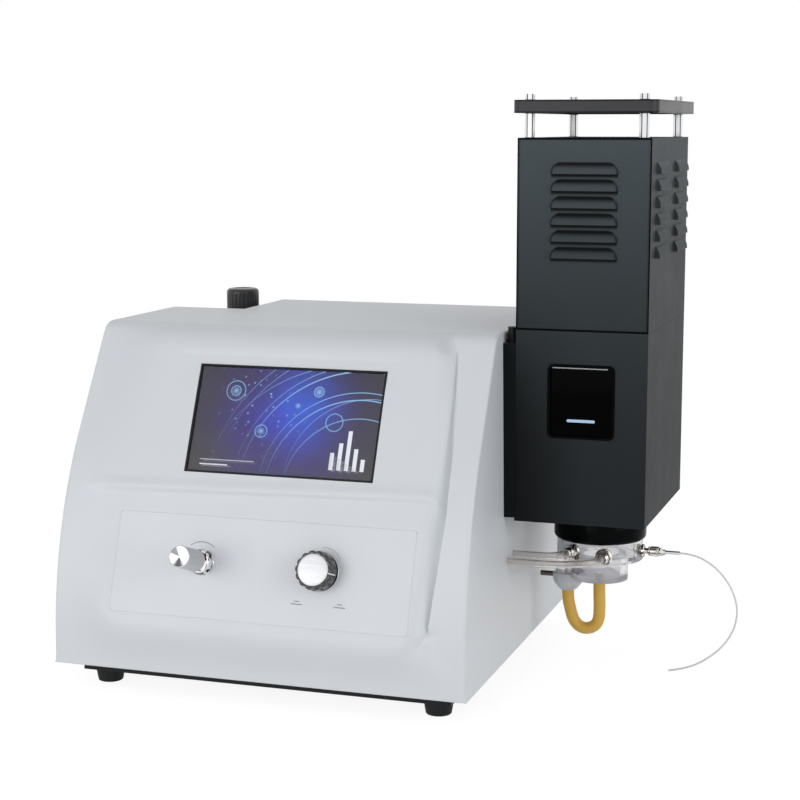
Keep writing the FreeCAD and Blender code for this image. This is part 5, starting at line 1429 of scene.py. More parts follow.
# ------------------------------------------------------------------ camera and studio
@dataclass
class Studio:
    """The camera, lights, floor and surroundings."""

    camera_point: Triple = (527.53, -1246.03, 446.27)
    azimuth: float = 18.11
    elevation: float = 8.61
    lens: float = 81.2
    floor_size: float = 12.0

    def camera(self) -> None:
        """Sets the camera where the view was solved to be."""
        data = bpy.data.cameras.new("view")
        data.sensor_fit = "HORIZONTAL"
        data.sensor_width = 36.0
        data.lens = self.lens
        data.clip_end = 50.0
        obj = bpy.data.objects.new("view", data)
        obj.location = BENCH.at(*self.camera_point)
        obj.rotation_euler = (math.radians(90 - self.elevation), 0, math.radians(self.azimuth))
        bpy.context.scene.collection.objects.link(obj)
        bpy.context.scene.camera = obj

    def seen(self, w: Wiring, rays: Node) -> Socket:
        """1 for rays that come from the camera, a gloss or a clear piece, and 0 for the others."""
        through = w.math("MAXIMUM", rays.outputs["Is Glossy Ray"], rays.outputs["Is Transmission Ray"])
        return w.math("MAXIMUM", rays.outputs["Is Camera Ray"], through)

    def surroundings(self) -> None:
        """A grey world, a little dimmer overhead, that shows as white behind the object."""
        world = bpy.data.worlds.new("studio")
        bpy.context.scene.world = world
        world.use_nodes = True
        w = Wiring(world.node_tree)
        world.node_tree.nodes.clear()
        rays = w.add("ShaderNodeLightPath")
        seen = self.seen(w, rays)
        soft = w.add("ShaderNodeBackground", {"Color": (0.96, 0.985, 1.0, 1)})
        upward = w.split(w.add("ShaderNodeTexCoord").outputs["Generated"])[2]
        w.join(w.ramp(upward, 0.0, 1.0, 0.62, 0.43), soft.inputs["Strength"])
        white = w.add("ShaderNodeBackground", {"Color": (1, 1, 1, 1), "Strength": 1.0})
        blend = w.add("ShaderNodeMixShader")
        w.join(seen, blend.inputs[0])
        w.join(soft.outputs[0], blend.inputs[1])
        w.join(white.outputs[0], blend.inputs[2])
        end = w.add("ShaderNodeOutputWorld")
        w.join(blend.outputs[0], end.inputs[0])

    def floor(self) -> None:
        """A pale floor that keeps the object's shadow."""
        half = self.floor_size / 2 / MM
        mesh = Patchwork()
        grid = np.linspace(-half, half, 3)
        mesh.sheet(BENCH.at(*np.meshgrid(grid, grid, indexing="ij"), -0.02))
        data = bpy.data.meshes.new("floor")
        data.from_pydata(np.concatenate(mesh.points).tolist(), [], mesh.faces[0].tolist())
        obj = bpy.data.objects.new("floor", data)
        bpy.context.scene.collection.objects.link(obj)
        made = bpy.data.materials.new("floor_white")
        made.use_nodes = True
        made.node_tree.nodes.clear()
        w = Wiring(made.node_tree)
        matt = w.add("ShaderNodeBsdfDiffuse", {"Color": (0.9, 0.9, 0.9, 1)})
        glow = w.add("ShaderNodeEmission", {"Color": (1, 1, 1, 1), "Strength": 1.2})
        rays = w.add("ShaderNodeLightPath")
        seen = self.seen(w, rays)
        blend = w.add("ShaderNodeMixShader")
        w.join(w.math("MULTIPLY", seen, 0.75), blend.inputs[0])
        w.join(matt.outputs[0], blend.inputs[1])
        w.join(glow.outputs[0], blend.inputs[2])
        end = w.add("ShaderNodeOutputMaterial")
        w.join(blend.outputs[0], end.inputs[0])
        data.materials.append(made)

    def lamp(self, name: str, point: Triple, target: Triple, size: float, power: float) -> None:
        """A square soft box that looks at a target.

        Args:
            name: its name.
            point: where it stands, in metres.
            target: what it looks at, in metres.
            size: its side in metres.
            power: its power in watts.
        """
        data = bpy.data.lights.new(name, "AREA")
        data.shape = "SQUARE"
        data.size = size
        data.energy = power
        obj = bpy.data.objects.new(name, data)
        way = np.array(target) - np.array(point)
        flat = math.hypot(way[0], way[1])
        obj.location = point
        obj.rotation_euler = (math.atan2(flat, -way[2]), 0, math.atan2(way[1], way[0]) - math.pi / 2)
        bpy.context.scene.collection.objects.link(obj)

    def build(self) -> None:
        """Sets up the whole studio."""
        bpy.context.scene.view_settings.view_transform = "Standard"
        self.camera()
        self.surroundings()
        self.floor()
        self.lamp("key", (-1.3, -2.4, 0.6), (0.0, 0.0, 0.2), 1.5, 16.4)
        self.lamp("fill", (2.4, -1.0, 0.7), (0.1, 0.0, 0.2), 1.4, 14.5)
        self.lamp("low", (-0.2, -1.7, 0.1), (0.0, 0.0, 0.25), 1.0, 3.0)
        LOG.info("studio: camera, floor, world and three lamps")


# ------------------------------------------------------------------ hoses
def smooth_route(points: list[Triple]) -> Array:
    """The line of a NURBS spline with these control points, as the curve itself gives it.

    Args:
        points: the control points in cabinet millimetres.

    Returns:
        The line's points in the model's metres.
    """
    obj = route_curve("route", points)
    mesh = bpy.data.meshes.new_from_object(obj)
    found = np.array([v.co[:] for v in mesh.vertices])
    bpy.data.meshes.remove(mesh)
    data = obj.data
    bpy.data.objects.remove(obj)
    bpy.data.curves.remove(data)
    return found


def route_curve(name: str, points: list[Triple]) -> Piece:
    """A curve object of one open NURBS spline through the route's control points.

    Args:
        name: its name.
        points: the control points in cabinet millimetres.

    Returns:
        The curve object.
    """
    data = bpy.data.curves.new(name, "CURVE")
    data.dimensions = "3D"
    data.resolution_u = 12
    spline = data.splines.new("NURBS")
    spline.points.add(len(points) - 1)
    placed = BENCH.at(*np.array(points, float).T)
    spline.points.foreach_set("co", np.concatenate([placed, np.ones((len(points), 1))], axis=1).ravel())
    spline.order_u = 3
    spline.use_endpoint_u = True
    obj = bpy.data.objects.new(name, data)
    bpy.context.scene.collection.objects.link(obj)
    return obj


@dataclass
class Hose:
    """A tube of two radii along a flat route: its outer wall, its bore and both end faces."""

    name: str
    points: list[Triple]
    radius: float
    bore: float
    level: Triple
    finish: Finish
    slot: str
    ring: int = 28
    nip: float = 0.0

    def build(self) -> Piece:
        """Carries both circles along the route.

        The cross-section at a point with tangent t is p + r (cos a * n + sin a * (t x n)), where n
        is the normal of the plane that holds the route. A nip pinches the tube at its ends.

        Returns:
            The hose's object.
        """
        path = smooth_route(self.points)
        tangent = np.gradient(path, axis=0)
        tangent /= np.linalg.norm(tangent, axis=1, keepdims=True)
        n = np.array(self.level, float)
        side = np.cross(tangent, n)
        a = around(self.ring)[:, 0]
        steps = np.linalg.norm(np.diff(path, axis=0), axis=1)
        run = np.concatenate([[0], np.cumsum(steps)]) / MM
        from_end = np.minimum(run, run[-1] - run)
        swell = 1 + self.nip * np.exp(-(from_end / 4.0) ** 2)
        rings = []
        for radius in (self.radius, self.bore):
            spread = radius * MM * swell[:, None, None]
            turned = np.cos(a)[None, :, None] * n + np.sin(a)[None, :, None] * side[:, None]
            rings.append(path[:, None] + spread * turned)
        outer, inner = rings
        body = np.concatenate([outer, inner[::-1]])
        work = Patchwork()
        work.sheet(body, wrap=(True, True))
        return work.piece(self.name, Body.CABINET, self.finish, (self.name,))


@dataclass
class Plumbing:
    """The capillary, both hoses and the latex bend."""

    burner: Pair = BURNER
    air_angle: float = AIR_ANGLE

    def capillary(self) -> None:
        """The sample tube: a fine white cord from the needle to just above the bench."""
        y = self.burner[1]
        flat = [
            (297.35, 101.2), (309, 101.2), (326, 92.5), (338.5, 78.5), (345.5, 60.5),
            (344, 42.5), (334.5, 25.5), (318.5, 11.5), (303, 4), (290, 1.2),
        ]
        points = [(x, y, z) for x, z in flat]
        obj = route_curve("capillary", points)
        obj.data.bevel_depth = 0.75 * MM
        obj.data.bevel_resolution = 5
        obj.data.use_fill_caps = True
        obj.data.materials.append(CAPILLARY.material())
        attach(obj, Body.CABINET.value)
        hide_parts("sample_capillary")
        start = BENCH.at(*points[0])

    def air_point(self, reach: float) -> Pair:
        """X and Y of a point on the air port's axis, at that reach from the burner's axis."""
        a = math.radians(self.air_angle)
        return self.burner[0] - reach * math.sin(a), self.burner[1] - reach * math.cos(a)

    def build(self) -> None:
        """Makes the two hoses and the latex bend."""
        air = [self.air_point(45), self.air_point(51), (203.5, 144.6), (193, 142), (179, 141.6), (165, 142)]
        gas = [(GAS_X, 151.56), (GAS_X, 143), (233, 133), (219, 126), (202, 122.5), (184, 122), (165, 122)]
        for name, level, z in (("air_hose", air, AIR_HEIGHT), ("gas_hose", gas, GAS_HEIGHT)):
            Hose(name, [(x, y, z) for x, y in level], 3.0, 2.1, (0, 0, 1), HOSE, "hose_clear").build()
        upright = [
            (BURNER[0], 76), (BURNER[0], 64), (231.4, 51), (231, 38), (224.5, 31.5),
            (215.5, 31.3), (209, 37.9), (206.3, 48), (CUP_AXIS[0], 56.5), (CUP_AXIS[0], 64),
        ]
        loop = [(x, BURNER[1], z) for x, z in upright]
        Hose("drain_tube", loop, 5.0, 3.4, (0, 1, 0), LATEX, "latex_amber", ring=36).build()


# ------------------------------------------------------------------ cabinet
@dataclass
class Shell:
    """The moulded cabinet: cheeks with a soft apron and brow between them.

    Every point lies on the cheek's side outline, moved along its normal by a relief that
    depends on the place across the front."""

    half_base: float = SHELL_HALF
    draft: float = 3.5 / 266.0
    bottom: float = 21.0
    top: float = 287.0
    depth: float = SHELL_DEPTH
    lip: float = 20.0
    edge: float = 2.6
    bay: Triple = (-98.0, 223.0, 130.0)
    seat_half: Pair = (123.3, 40.0)
    seat_corner: float = 3.4
    display_half: float = 78.7
    display_rows: Pair = (177.7, 259.1)
    rear_columns: Pair = (-67.0, 143.0)
    rear_rows: Pair = (61.0, 231.0)
    right_edges: tuple[Pair, ...] = (
        (22, 134), (60, 134.5), (75, 140.4), (116, 145.4), (155, 148.5), (197, 147.4), (244, 143),
        (275, 139), (287, 134),
    )
    right_ends: tuple[Pair, ...] = (
        (22, 168), (40, 163), (50, 152), (60, 138), (75, 140.4), (116, 145.4), (155, 148.5),
        (197, 147.4), (244, 143), (275, 139), (287, 134),
    )
    right_starts: tuple[Pair, ...] = (
        (22, 60), (40, 80), (52, 105), (62, 122), (70, 128.6), (116, 130.5), (155, 131.5), (197, 133),
        (244, 129), (275, 124), (287, 116),
    )
    valley: tuple[Pair, ...] = (
        (22, 0), (56, 0), (66, 1.6), (80, 4.8), (116, 7.0), (155, 8.6), (197, 7.4), (244, 5.4),
        (270, 3.2), (284, 0.6), (287, 0),
    )

    def cheek_outline(self) -> Array:
        """The cheek's side outline as dense (Y, Z) points, from the floor's front lip to its rear lip.

        Returns:
            A (count, 2) array.
        """
        low, top, back = self.bottom, self.top, self.depth
        lean = math.degrees(math.atan((95 - 41) / (top - low - 23 - 154)))
        run = 16 * math.tan(math.radians(45 - lean / 2))
        crest_y = 95 + run
        foot, bow = (0.0, low + 23), (41.0, low + 23 + 154)
        crest = (95 - run * math.sin(math.radians(lean)), top - run * math.cos(math.radians(lean)))
        return np.concatenate([
            line((self.lip, low), (1.2, low), 40),
            arc((1.2, low + 1.2), 1.2, 270, 180, 12),
            line((0, low + 1.2), foot, 60),
            arc_between(foot, bow, 313, 320),
            line(bow, crest, 220),
            arc((crest_y, top - 16), 16, 180 - lean, 90, 60),
            line((crest_y, top), (back - 10, top), 300),
            arc((back - 10, top - 10), 10, 90, 0, 24),
            line((back, top - 10), (back, low + 1.2), 300),
            arc((back - 1.2, low + 1.2), 1.2, 0, -90, 12),
            line((back - 1.2, low), (back - self.lip, low), 40),
            np.array([[back - self.lip, low]]),
        ])

    def relief_outline(self) -> Array:
        """The middle's side outline: chin, apron, a faint rib, brow and crest.

        Returns:
            A (count, 2) array of (Y, Z) points.
        """
        def apron(z: float) -> Pair:
            """The control plate's plane at height z."""
            return sloped(PLATE_MIDDLE, PLATE_TILT, z)

        def brow(z: float) -> Pair:
            """The display's plane at height z."""
            return sloped(DISPLAY_MIDDLE, DISPLAY_TILT, z)

        return np.concatenate([
            line((0, 10), (0, 24), 20),
            bend((0, 24), (0, 30.5), (-2.2, 37), 30),
            line((-2.2, 37), (-7.06, 50), 30),
            bend((-7.06, 50), (-10.05, 58), apron(66), 60),
            line(apron(66), apron(161.4), 300),
            bend(apron(161.4), apron(163.2), (25.2, 164.6), 16),
            bend((25.2, 164.6), (24.4, 166.0), (25.2, 168.0), 16),
            bend((25.2, 168.0), (26.4, 171.0), brow(173.5), 20),
            line(brow(173.5), brow(270), 300),
            bend(brow(270), brow(287), (106, 287), 120),
            line((106, 287), (130, 287), 20),
        ])

    def build(self) -> Piece:
        """The whole shell as one grid, with its openings, bay and side walls.

        Returns:
            The shell's object.
        """
        outline = self.cheek_outline()
        steps = np.linalg.norm(np.diff(outline, axis=0), axis=1)
        run = np.concatenate([[0], np.cumsum(steps)])
        tangent = np.gradient(outline, run, axis=0)
        tangent /= np.linalg.norm(tangent, axis=1, keepdims=True)
        normal = np.stack([-tangent[:, 1], tangent[:, 0]], axis=-1)
        relief = self.relief_heights(outline, tangent, normal)
        relief_z = outline[:, 1] + normal[:, 1] * relief
        rows = self.row_places(run, outline, relief_z)
        y = np.interp(rows, run, outline[:, 0])
        z = np.interp(rows, run, outline[:, 1])
        n = np.stack([np.interp(rows, run, normal[:, 0]), np.interp(rows, run, normal[:, 1])], axis=-1)
        h = np.interp(rows, run, relief)
        return self.surface(rows, y, z, n, h)

    def relief_heights(self, outline: Array, tangent: Array, normal: Array) -> Array:
        """How far the middle's outline stands off the cheek's, along the cheek's normal.

        For each cheek point the middle's points are written along its tangent and normal; the
        height is the normal part where the tangent part passes zero.

        Args:
            outline: the cheek's outline.
            tangent: its unit tangents.
            normal: its unit normals.

        Returns:
            A height for each point of the cheek's outline.
        """
        curve = self.relief_outline()
        front = (outline[:, 0] < 150) & (outline[:, 1] > self.bottom + 1)
        offset = curve[None] - outline[front][:, None]
        along = (offset * tangent[front][:, None]).sum(-1)
        away = (offset * normal[front][:, None]).sum(-1)
        after = np.argmax(along > 0, axis=1).clip(1)
        row = np.arange(len(after))
        a0, a1 = along[row, after - 1], along[row, after]
        share = np.where(np.abs(a1 - a0) > 1e-9, -a0 / (a1 - a0), 0.0).clip(0, 1)
        height = away[row, after - 1] * (1 - share) + away[row, after] * share
        heights = np.zeros(len(outline))
        heights[front] = height
        heights[outline[:, 0] > 104] = 0.0
        return heights

    def row_places(self, run: Array, outline: Array, relief_z: Array) -> Array:
        """Where along the outline the grid's rows lie: an even spread plus the panels' edges.

        Args:
            run: the way along the outline to each of its points.
            outline: the cheek's outline.
            relief_z: Z of the middle's relief at each point.

        Returns:
            The rows' places along the outline.
        """
        crest = run[np.argmax(outline[:, 0] > 112)]
        front = run[np.argmax(outline[:, 1] > self.bottom + 2)]
        inside = (run > front) & (run < crest)
        panel_z = [69.5, 69.95, 70.8, 72.2, 74.0, 141.4, 143.2, 144.8, 145.64, 146.1]
        hole_z = [177.65, 259.14]
        ledge_z = [
            161.4, 162.6, 163.4, 164.0, 164.6, 165.2, 166.0, 167.0, 168.0, 169.6, 171.4, 173.5, 266.5,
            267.3,
        ]
        marks = np.interp(panel_z + hole_z + ledge_z, relief_z[inside], run[inside])
        spread = np.concatenate([
            np.linspace(0, front, 6), np.linspace(front, crest, 96), np.linspace(crest, run[-1], 10),
        ])
        rear = np.argmax((outline[:, 0] > self.depth - 0.1) & (outline[:, 1] < self.top - 10))
        falling = slice(rear, len(run))
        order = np.argsort(-outline[falling, 1])
        down = np.interp([-130.0, -231.0, -61.0], -outline[falling, 1][order], run[falling][order])
        beyond = run > crest
        flat = beyond & (outline[:, 0] < self.depth - 9.99) & (outline[:, 1] > self.top - 0.01)
        top_rows = np.interp([self.bay[1], self.depth - 10], outline[flat, 0], run[flat])
        fillet = run[(outline[:, 0] > self.depth - 10) & (outline[:, 1] > self.top - 10)][::4]
        low_front = run[(outline[:, 0] < 1.3) & (outline[:, 1] < self.bottom + 1.3)][::3]
        low_rear = run[(outline[:, 0] > self.depth - 1.3) & (outline[:, 1] < self.bottom + 1.3)][::3]
        fixed = np.concatenate([marks, down, top_rows, fillet, low_front, low_rear, [0, run[-1]]])
        nearest = np.abs(spread[:, None] - fixed[None]).min(axis=1)
        return np.unique(np.concatenate([spread[nearest > 0.9], fixed]))

    def columns(self, z: Array, low_or_rear: Array) -> Array:
        """X of each grid column on each row.

        Columns run between landmarks that may move with height: the cheeks' inner edges and the
        drafted sides; between two landmarks they are evenly spread.

        Args:
            z: Z of each row.
            low_or_rear: which rows lie underneath or behind.

        Returns:
            A (rows, columns) array of X.
        """
        rows = len(z)
        fixed = stations(
            (-119.6, -116.0, 3), (-116.0, -98.0, 4), (-98.0, -69.45, 6), (-69.45, 88.05, 26),
            (88.05, 123.4, 8), (123.4, 127.8, 3),
        )
        fixed = np.unique(np.concatenate([fixed, [-119.15, -118.4, 127.35, 126.6, -67.0]]))
        edges = np.array(self.right_edges)
        right = np.interp(z, edges[:, 0], edges[:, 1])
        right = np.where(low_or_rear, 143.0, right)
        side = self.half_base - self.draft * (z - self.bottom) - self.edge
        blocks = []

        def spread(start: Array | float, end: Array | float, count: int) -> None:
            """Adds evenly spread columns from start up to end, without the last.

            Args:
                start: X of the first.
                end: X that they run to.
                count: how many.
            """
            t = np.linspace(0, 1, count, endpoint=False)[None]
            first, last = (np.broadcast_to(edge, rows)[:, None] for edge in (start, end))
            blocks.append(first * (1 - t) + last * t)

        spread(-side, -151.5, 5)
        spread(-151.5, -119.6, 17)
        blocks.append(np.broadcast_to(fixed[:-1], (rows, len(fixed) - 1)))
        spread(127.8, right, 10)
        spread(right, right + 0.9, 2)
        spread(right + 0.9, 151.5, 2)
        spread(151.5, side, 3)
        blocks.append(side[:, None])
        return np.concatenate(blocks, axis=1)

    def relief_at(self, x: Array, z: Array, h: Array, up_plate: Array, up_brow: Array) -> Array:
        """How far the surface stands off the cheek's outline at each grid point.

        On the right the middle's relief h falls as h - (h + valley) t^1.6 to the valley, from which
        a steep wall leads back to the cheek; on the left it falls to the cheek on a smooth step. The
        plate's seat and a faint dish above the display are pressed into that.

        Args:
            x: X of the points.
            z: Z of the points.
            h: the middle's relief there.
            up_plate: how far up the control plate's slope they lie.
            up_brow: how far up the display's slope they lie.

        Returns:
            The relief at each point.
        """
        def table(pairs: tuple[Pair, ...]) -> Array:
            """A table's value at each grid point's height."""
            points = np.array(pairs)
            return np.interp(z, points[:, 0], points[:, 1])

        end, start, deep = table(self.right_ends), table(self.right_starts), table(self.valley)
        t_right = np.clip((x - start) / (end - start), 0, 1)
        left_start = np.interp(z, [21, 60, 72, 150, 168, 200, 287], [96, 110, 120.5, 120.5, 114, 106, 98])
        t_left = np.clip((-x - left_start) / (161 - left_start), 0, 1)
        right = h + (-deep - h) * t_right**1.6
        left = h * (1 - t_left * t_left * (3 - 2 * t_left))
        middle = np.where(x > 3.5, right, left)
        wall_share = np.where(x > 3.5, np.clip((x - end) / 0.9, 0, 1), 0.0)
        surface = middle * (1 - wall_share)
        (half_width, half_height), corner = self.seat_half, self.seat_corner
        qx = np.abs(x - PLATE_MIDDLE[0]) - (half_width - corner)
        qu = np.abs(up_plate) - (half_height - corner)
        outside = np.hypot(np.maximum(qx, 0), np.maximum(qu, 0)) + np.minimum(np.maximum(qx, qu), 0) - corner
        seat = 1.5 * (1 - ease(-0.5, 0.02, outside))
        across = ease(-95, -80, x) * (1 - ease(90, 104, x))
        dish = 0.7 * across * (1 - ease(53.2, 54.1, up_brow)) * ease(20, 46, up_brow)
        return surface - seat - dish

    def bowed(self, x: Array, z: Array, rows: Array, h: Array) -> Array:
        """The middle's relief with its ledge on a slight slope that turns down at its right end.

        Near the ledge a point takes the relief of a place further up the outline, by
        7.5 (1 - sqrt(1 - s^2)) - 0.022 (x - 5) mm, where s runs from 0 to 1 over x = 131 to 141.

        Args:
            x: X of the points.
            z: Z of the points.
            rows: the rows' places along the outline.
            h: the middle's relief on each row.

        Returns:
            The relief at each point.
        """
        s = np.clip((x - 131.0) / 10.0, 0.0, 0.985)
        shift = 7.5 * (1 - np.sqrt(1 - s**2)) - 0.022 * (np.clip(x, -125, 135) - 5.0)
        near = ease(150.0, 160.0, z) * (1 - ease(175.0, 186.0, z))
        return np.interp(rows[:, None] + shift * near, rows, h)

    def surface(self, rows: Array, y: Array, z: Array, n: Array, h: Array) -> Piece:
        """Works out every grid point, leaves out the openings' faces and closes the sides.

        Args:
            rows: the rows' places along the outline.
            y: Y of each row.
            z: Z of each row.
            n: the outline's normal on each row.
            h: the middle's relief on each row.

        Returns:
            The shell's object.
        """
        low_or_rear = (z < self.bottom + 0.001) | (y > 130)
        x = self.columns(z, low_or_rear)
        relief_z = (z + n[:, 1] * h)[:, None] + 0 * x
        up_plate = up_slope(PLATE_MIDDLE, PLATE_TILT, relief_z)
        up_brow = up_slope(DISPLAY_MIDDLE, DISPLAY_TILT, relief_z)
        front = (y < 106)[:, None] & (z > self.bottom + 1.3)[:, None]
        relief = self.relief_at(x, relief_z, self.bowed(x, relief_z, rows, h), up_plate, up_brow)
        away = np.where(front, relief, 0.0)
        turn = np.radians([90, 75, 60, 45, 30, 15])
        left_x = x[:, :1] - self.edge * np.sin(turn)[None]
        left_in = np.broadcast_to(self.edge * (1 - np.cos(turn)), (len(z), len(turn)))
        right_x = x[:, -1:] + self.edge * np.sin(turn[::-1])[None]
        right_in = left_in[:, ::-1]
        full_x = np.concatenate([left_x, x, right_x], axis=1)
        full_away = np.concatenate([-left_in, away, -right_in], axis=1)
        shallow = ease(self.bottom, self.bottom + 4.0, z)[:, None]
        full_y = y[:, None] + n[:, :1] * full_away * shallow
        full_z = z[:, None] + n[:, 1:] * full_away * shallow
        work = Patchwork()
        indices = work.add(BENCH.at(full_x, full_y, full_z))
        keep = self.openings(full_x, full_z, y, z)
        work.quads(indices, keep=keep)
        self.floor_lips(work, indices, full_x)
        self.side_walls(work, indices, y, z)
        self.bay_faces(work, indices, full_x)
        obj = work.piece("cabinet_shell", Body.CABINET, CASE, ("housing_shell",), sharp=28)
        return obj

    def openings(self, x: Array, z: Array, row_y: Array, row_z: Array) -> Array:
        """Which faces stay: all but the display hole, the rear opening and the bay.

        Args:
            x: X of the grid's points.
            z: Z of the grid's points.
            row_y: Y of each row on the cheek's outline.
            row_z: Z of each row on the cheek's outline.

        Returns:
            A mask of the grid's faces.
        """
        cx = (x[:-1, :-1] + x[1:, 1:]) / 2
        cy = ((row_y[:-1] + row_y[1:]) / 2)[:, None] + 0 * cx
        cz = ((row_z[:-1] + row_z[1:]) / 2)[:, None] + 0 * cx
        relief = (z[:-1, :-1] + z[1:, 1:]) / 2
        (low, high), (left, right), (sill, head) = self.display_rows, self.rear_columns, self.rear_rows
        hole = (np.abs(cx - DISPLAY_MIDDLE[0]) < self.display_half) & (relief > low) & (relief < high)
        hole &= cy < 110
        rear = (cx > left) & (cx < right) & (cz > sill) & (cz < head) & (cy > self.depth - 0.1)
        bay_x, bay_y, bay_z = self.bay
        over, behind = (cy > bay_y) & (cz > self.top - 0.1), (cy > self.depth - 10) & (cz > bay_z)
        bay = (cx < bay_x) & (over | behind)
        return ~(hole | rear | bay)

    def floor_lips(self, work: Patchwork, indices: Array, x: Array) -> None:
        """Joins the outline's two ends outside the floor's opening.

        Args:
            work: the meshes gathered so far.
            indices: the grid's indices.
            x: X of the grid's points.
        """
        inner = np.abs(x[0]) <= 151.6
        closing = np.stack([indices[-1], indices[0]])
        middle = (inner[:-1] & inner[1:])[None]
        work.quads(closing, keep=~middle)

    def side_walls(self, work: Patchwork, indices: Array, y: Array, z: Array) -> None:
        """The flat cheeks' sides; the left one steps round the bay.

        Args:
            work: the meshes gathered so far.
            indices: the grid's indices.
            y: Y of each row.
            z: Z of each row.
        """
        work.polygon(indices[:, -1])
        ring = indices[:, 0]
        _, bay_y, bay_z = self.bay
        before = (y <= bay_y + 0.001) | (z < bay_z + 0.001)
        side = -self.half_base + self.draft * (bay_z - self.bottom)
        corner = work.add(BENCH.at(np.array([side]), np.array([bay_y]), np.array([bay_z])))
        first = int(np.flatnonzero(~before)[0])
        last = int(np.flatnonzero(~before)[-1]) + 1
        work.polygon(np.concatenate([ring[:first], corner, ring[last:]])[::-1])
        self.bay_corner = int(corner[0])
        self.bay_rows = (first, last)

    def bay_faces(self, work: Patchwork, indices: Array, x: Array) -> None:
        """The bay's floor and its two upright walls.

        Args:
            work: the meshes gathered so far.
            indices: the grid's indices.
            x: X of the grid's points.
        """
        first, last = self.bay_rows
        column = int(np.argmin(np.abs(x[first] - self.bay[0])))
        inner = int(work.add(BENCH.at(*(np.array([v]) for v in self.bay)))[0])
        front_row = indices[first - 1, : column + 1]
        work.polygon(np.concatenate([front_row, [inner, self.bay_corner]]))
        rear_row = indices[last, : column + 1]
        work.polygon(np.concatenate([rear_row, [inner, self.bay_corner]]))
        edge = indices[first - 1 : last + 1, column]
        work.polygon(np.concatenate([edge, [inner]]))


@dataclass
class ControlPlate:
    """The thin plate with both knobs' marks: plain arcs and short bars."""

    width: float = 246.3
    height: float = 79.7
    thickness: float = 1.5
    radius: float = 3.0
    knob_up: float = KNOB_UP
    spacing: float = KNOB_SPACING

    def plate(self) -> None:
        """The plate as stacked outlines, so that its edge is softly rounded."""
        rings = []
        for inset, height in ((0.0, -self.thickness), (0.0, -0.35), (0.1, -0.12), (0.35, 0.0)):
            width, height_up = self.width - 2 * inset, self.height - 2 * inset
            outline = rounded_rectangle(width, height_up, self.radius - inset, 8)
            rings.append((outline, height))
        work = Patchwork()
        work.loft(PLATE, rings)
        work.piece("knob_plate", Body.CABINET, PLATE_PAINT, ("control_plate",), sharp=25)

    def strip(
        self, work: Patchwork, centre: Pair, radius: float, start: float, end: float, half: float
    ) -> None:
        """A curved mark of two radii, radius - half and radius + half, a hair above the plate.

        Args:
            work: the meshes gathered so far.
            centre: the arc's centre on the plate.
            radius: its radius.
            start: its first angle in degrees.
            end: its last angle in degrees.
            half: half its width.
        """
        a = np.radians(np.linspace(start, end, 40))[:, None]
        r = radius + half * np.array([-1.0, -1.0, 1.0, 1.0])[None]
        taper = np.sin(np.linspace(0.12, math.pi - 0.12, 40))[:, None] ** 0.4
        r = radius + (r - radius) * taper
        h = np.array([0.0, 0.06, 0.06, 0.0])[None] + 0 * a
        work.sheet(PLATE.at(centre[0] + r * np.cos(a), centre[1] + r * np.sin(a), h))

    def bar(self, work: Patchwork, across: float, up: float, width: float, height: float) -> None:
        """A short straight mark."""
        outline = rounded_rectangle(width, height, min(width, height) * 0.3, 3) + np.array([across, up])
        work.loft(PLATE, [(outline, 0.0), (outline, 0.06)])

    def build(self) -> None:
        """Makes the plate and its marks."""
        self.plate()
        work = Patchwork()
        left, right = -self.spacing / 2, self.spacing / 2
        self.strip(work, (left - 1.2, self.knob_up), 16.0, 128, 48, 0.32)
        self.strip(work, (right + 1.0, self.knob_up + 2), 17.0, 95, 30, 0.18)
        for across in (32.8, 67.7):
            self.bar(work, across, -22.5, 9.0, 0.7)
            self.bar(work, across, -20.3, 4.5, 0.6)
        work.piece("plate_marks", Body.CABINET, MARK_INK)


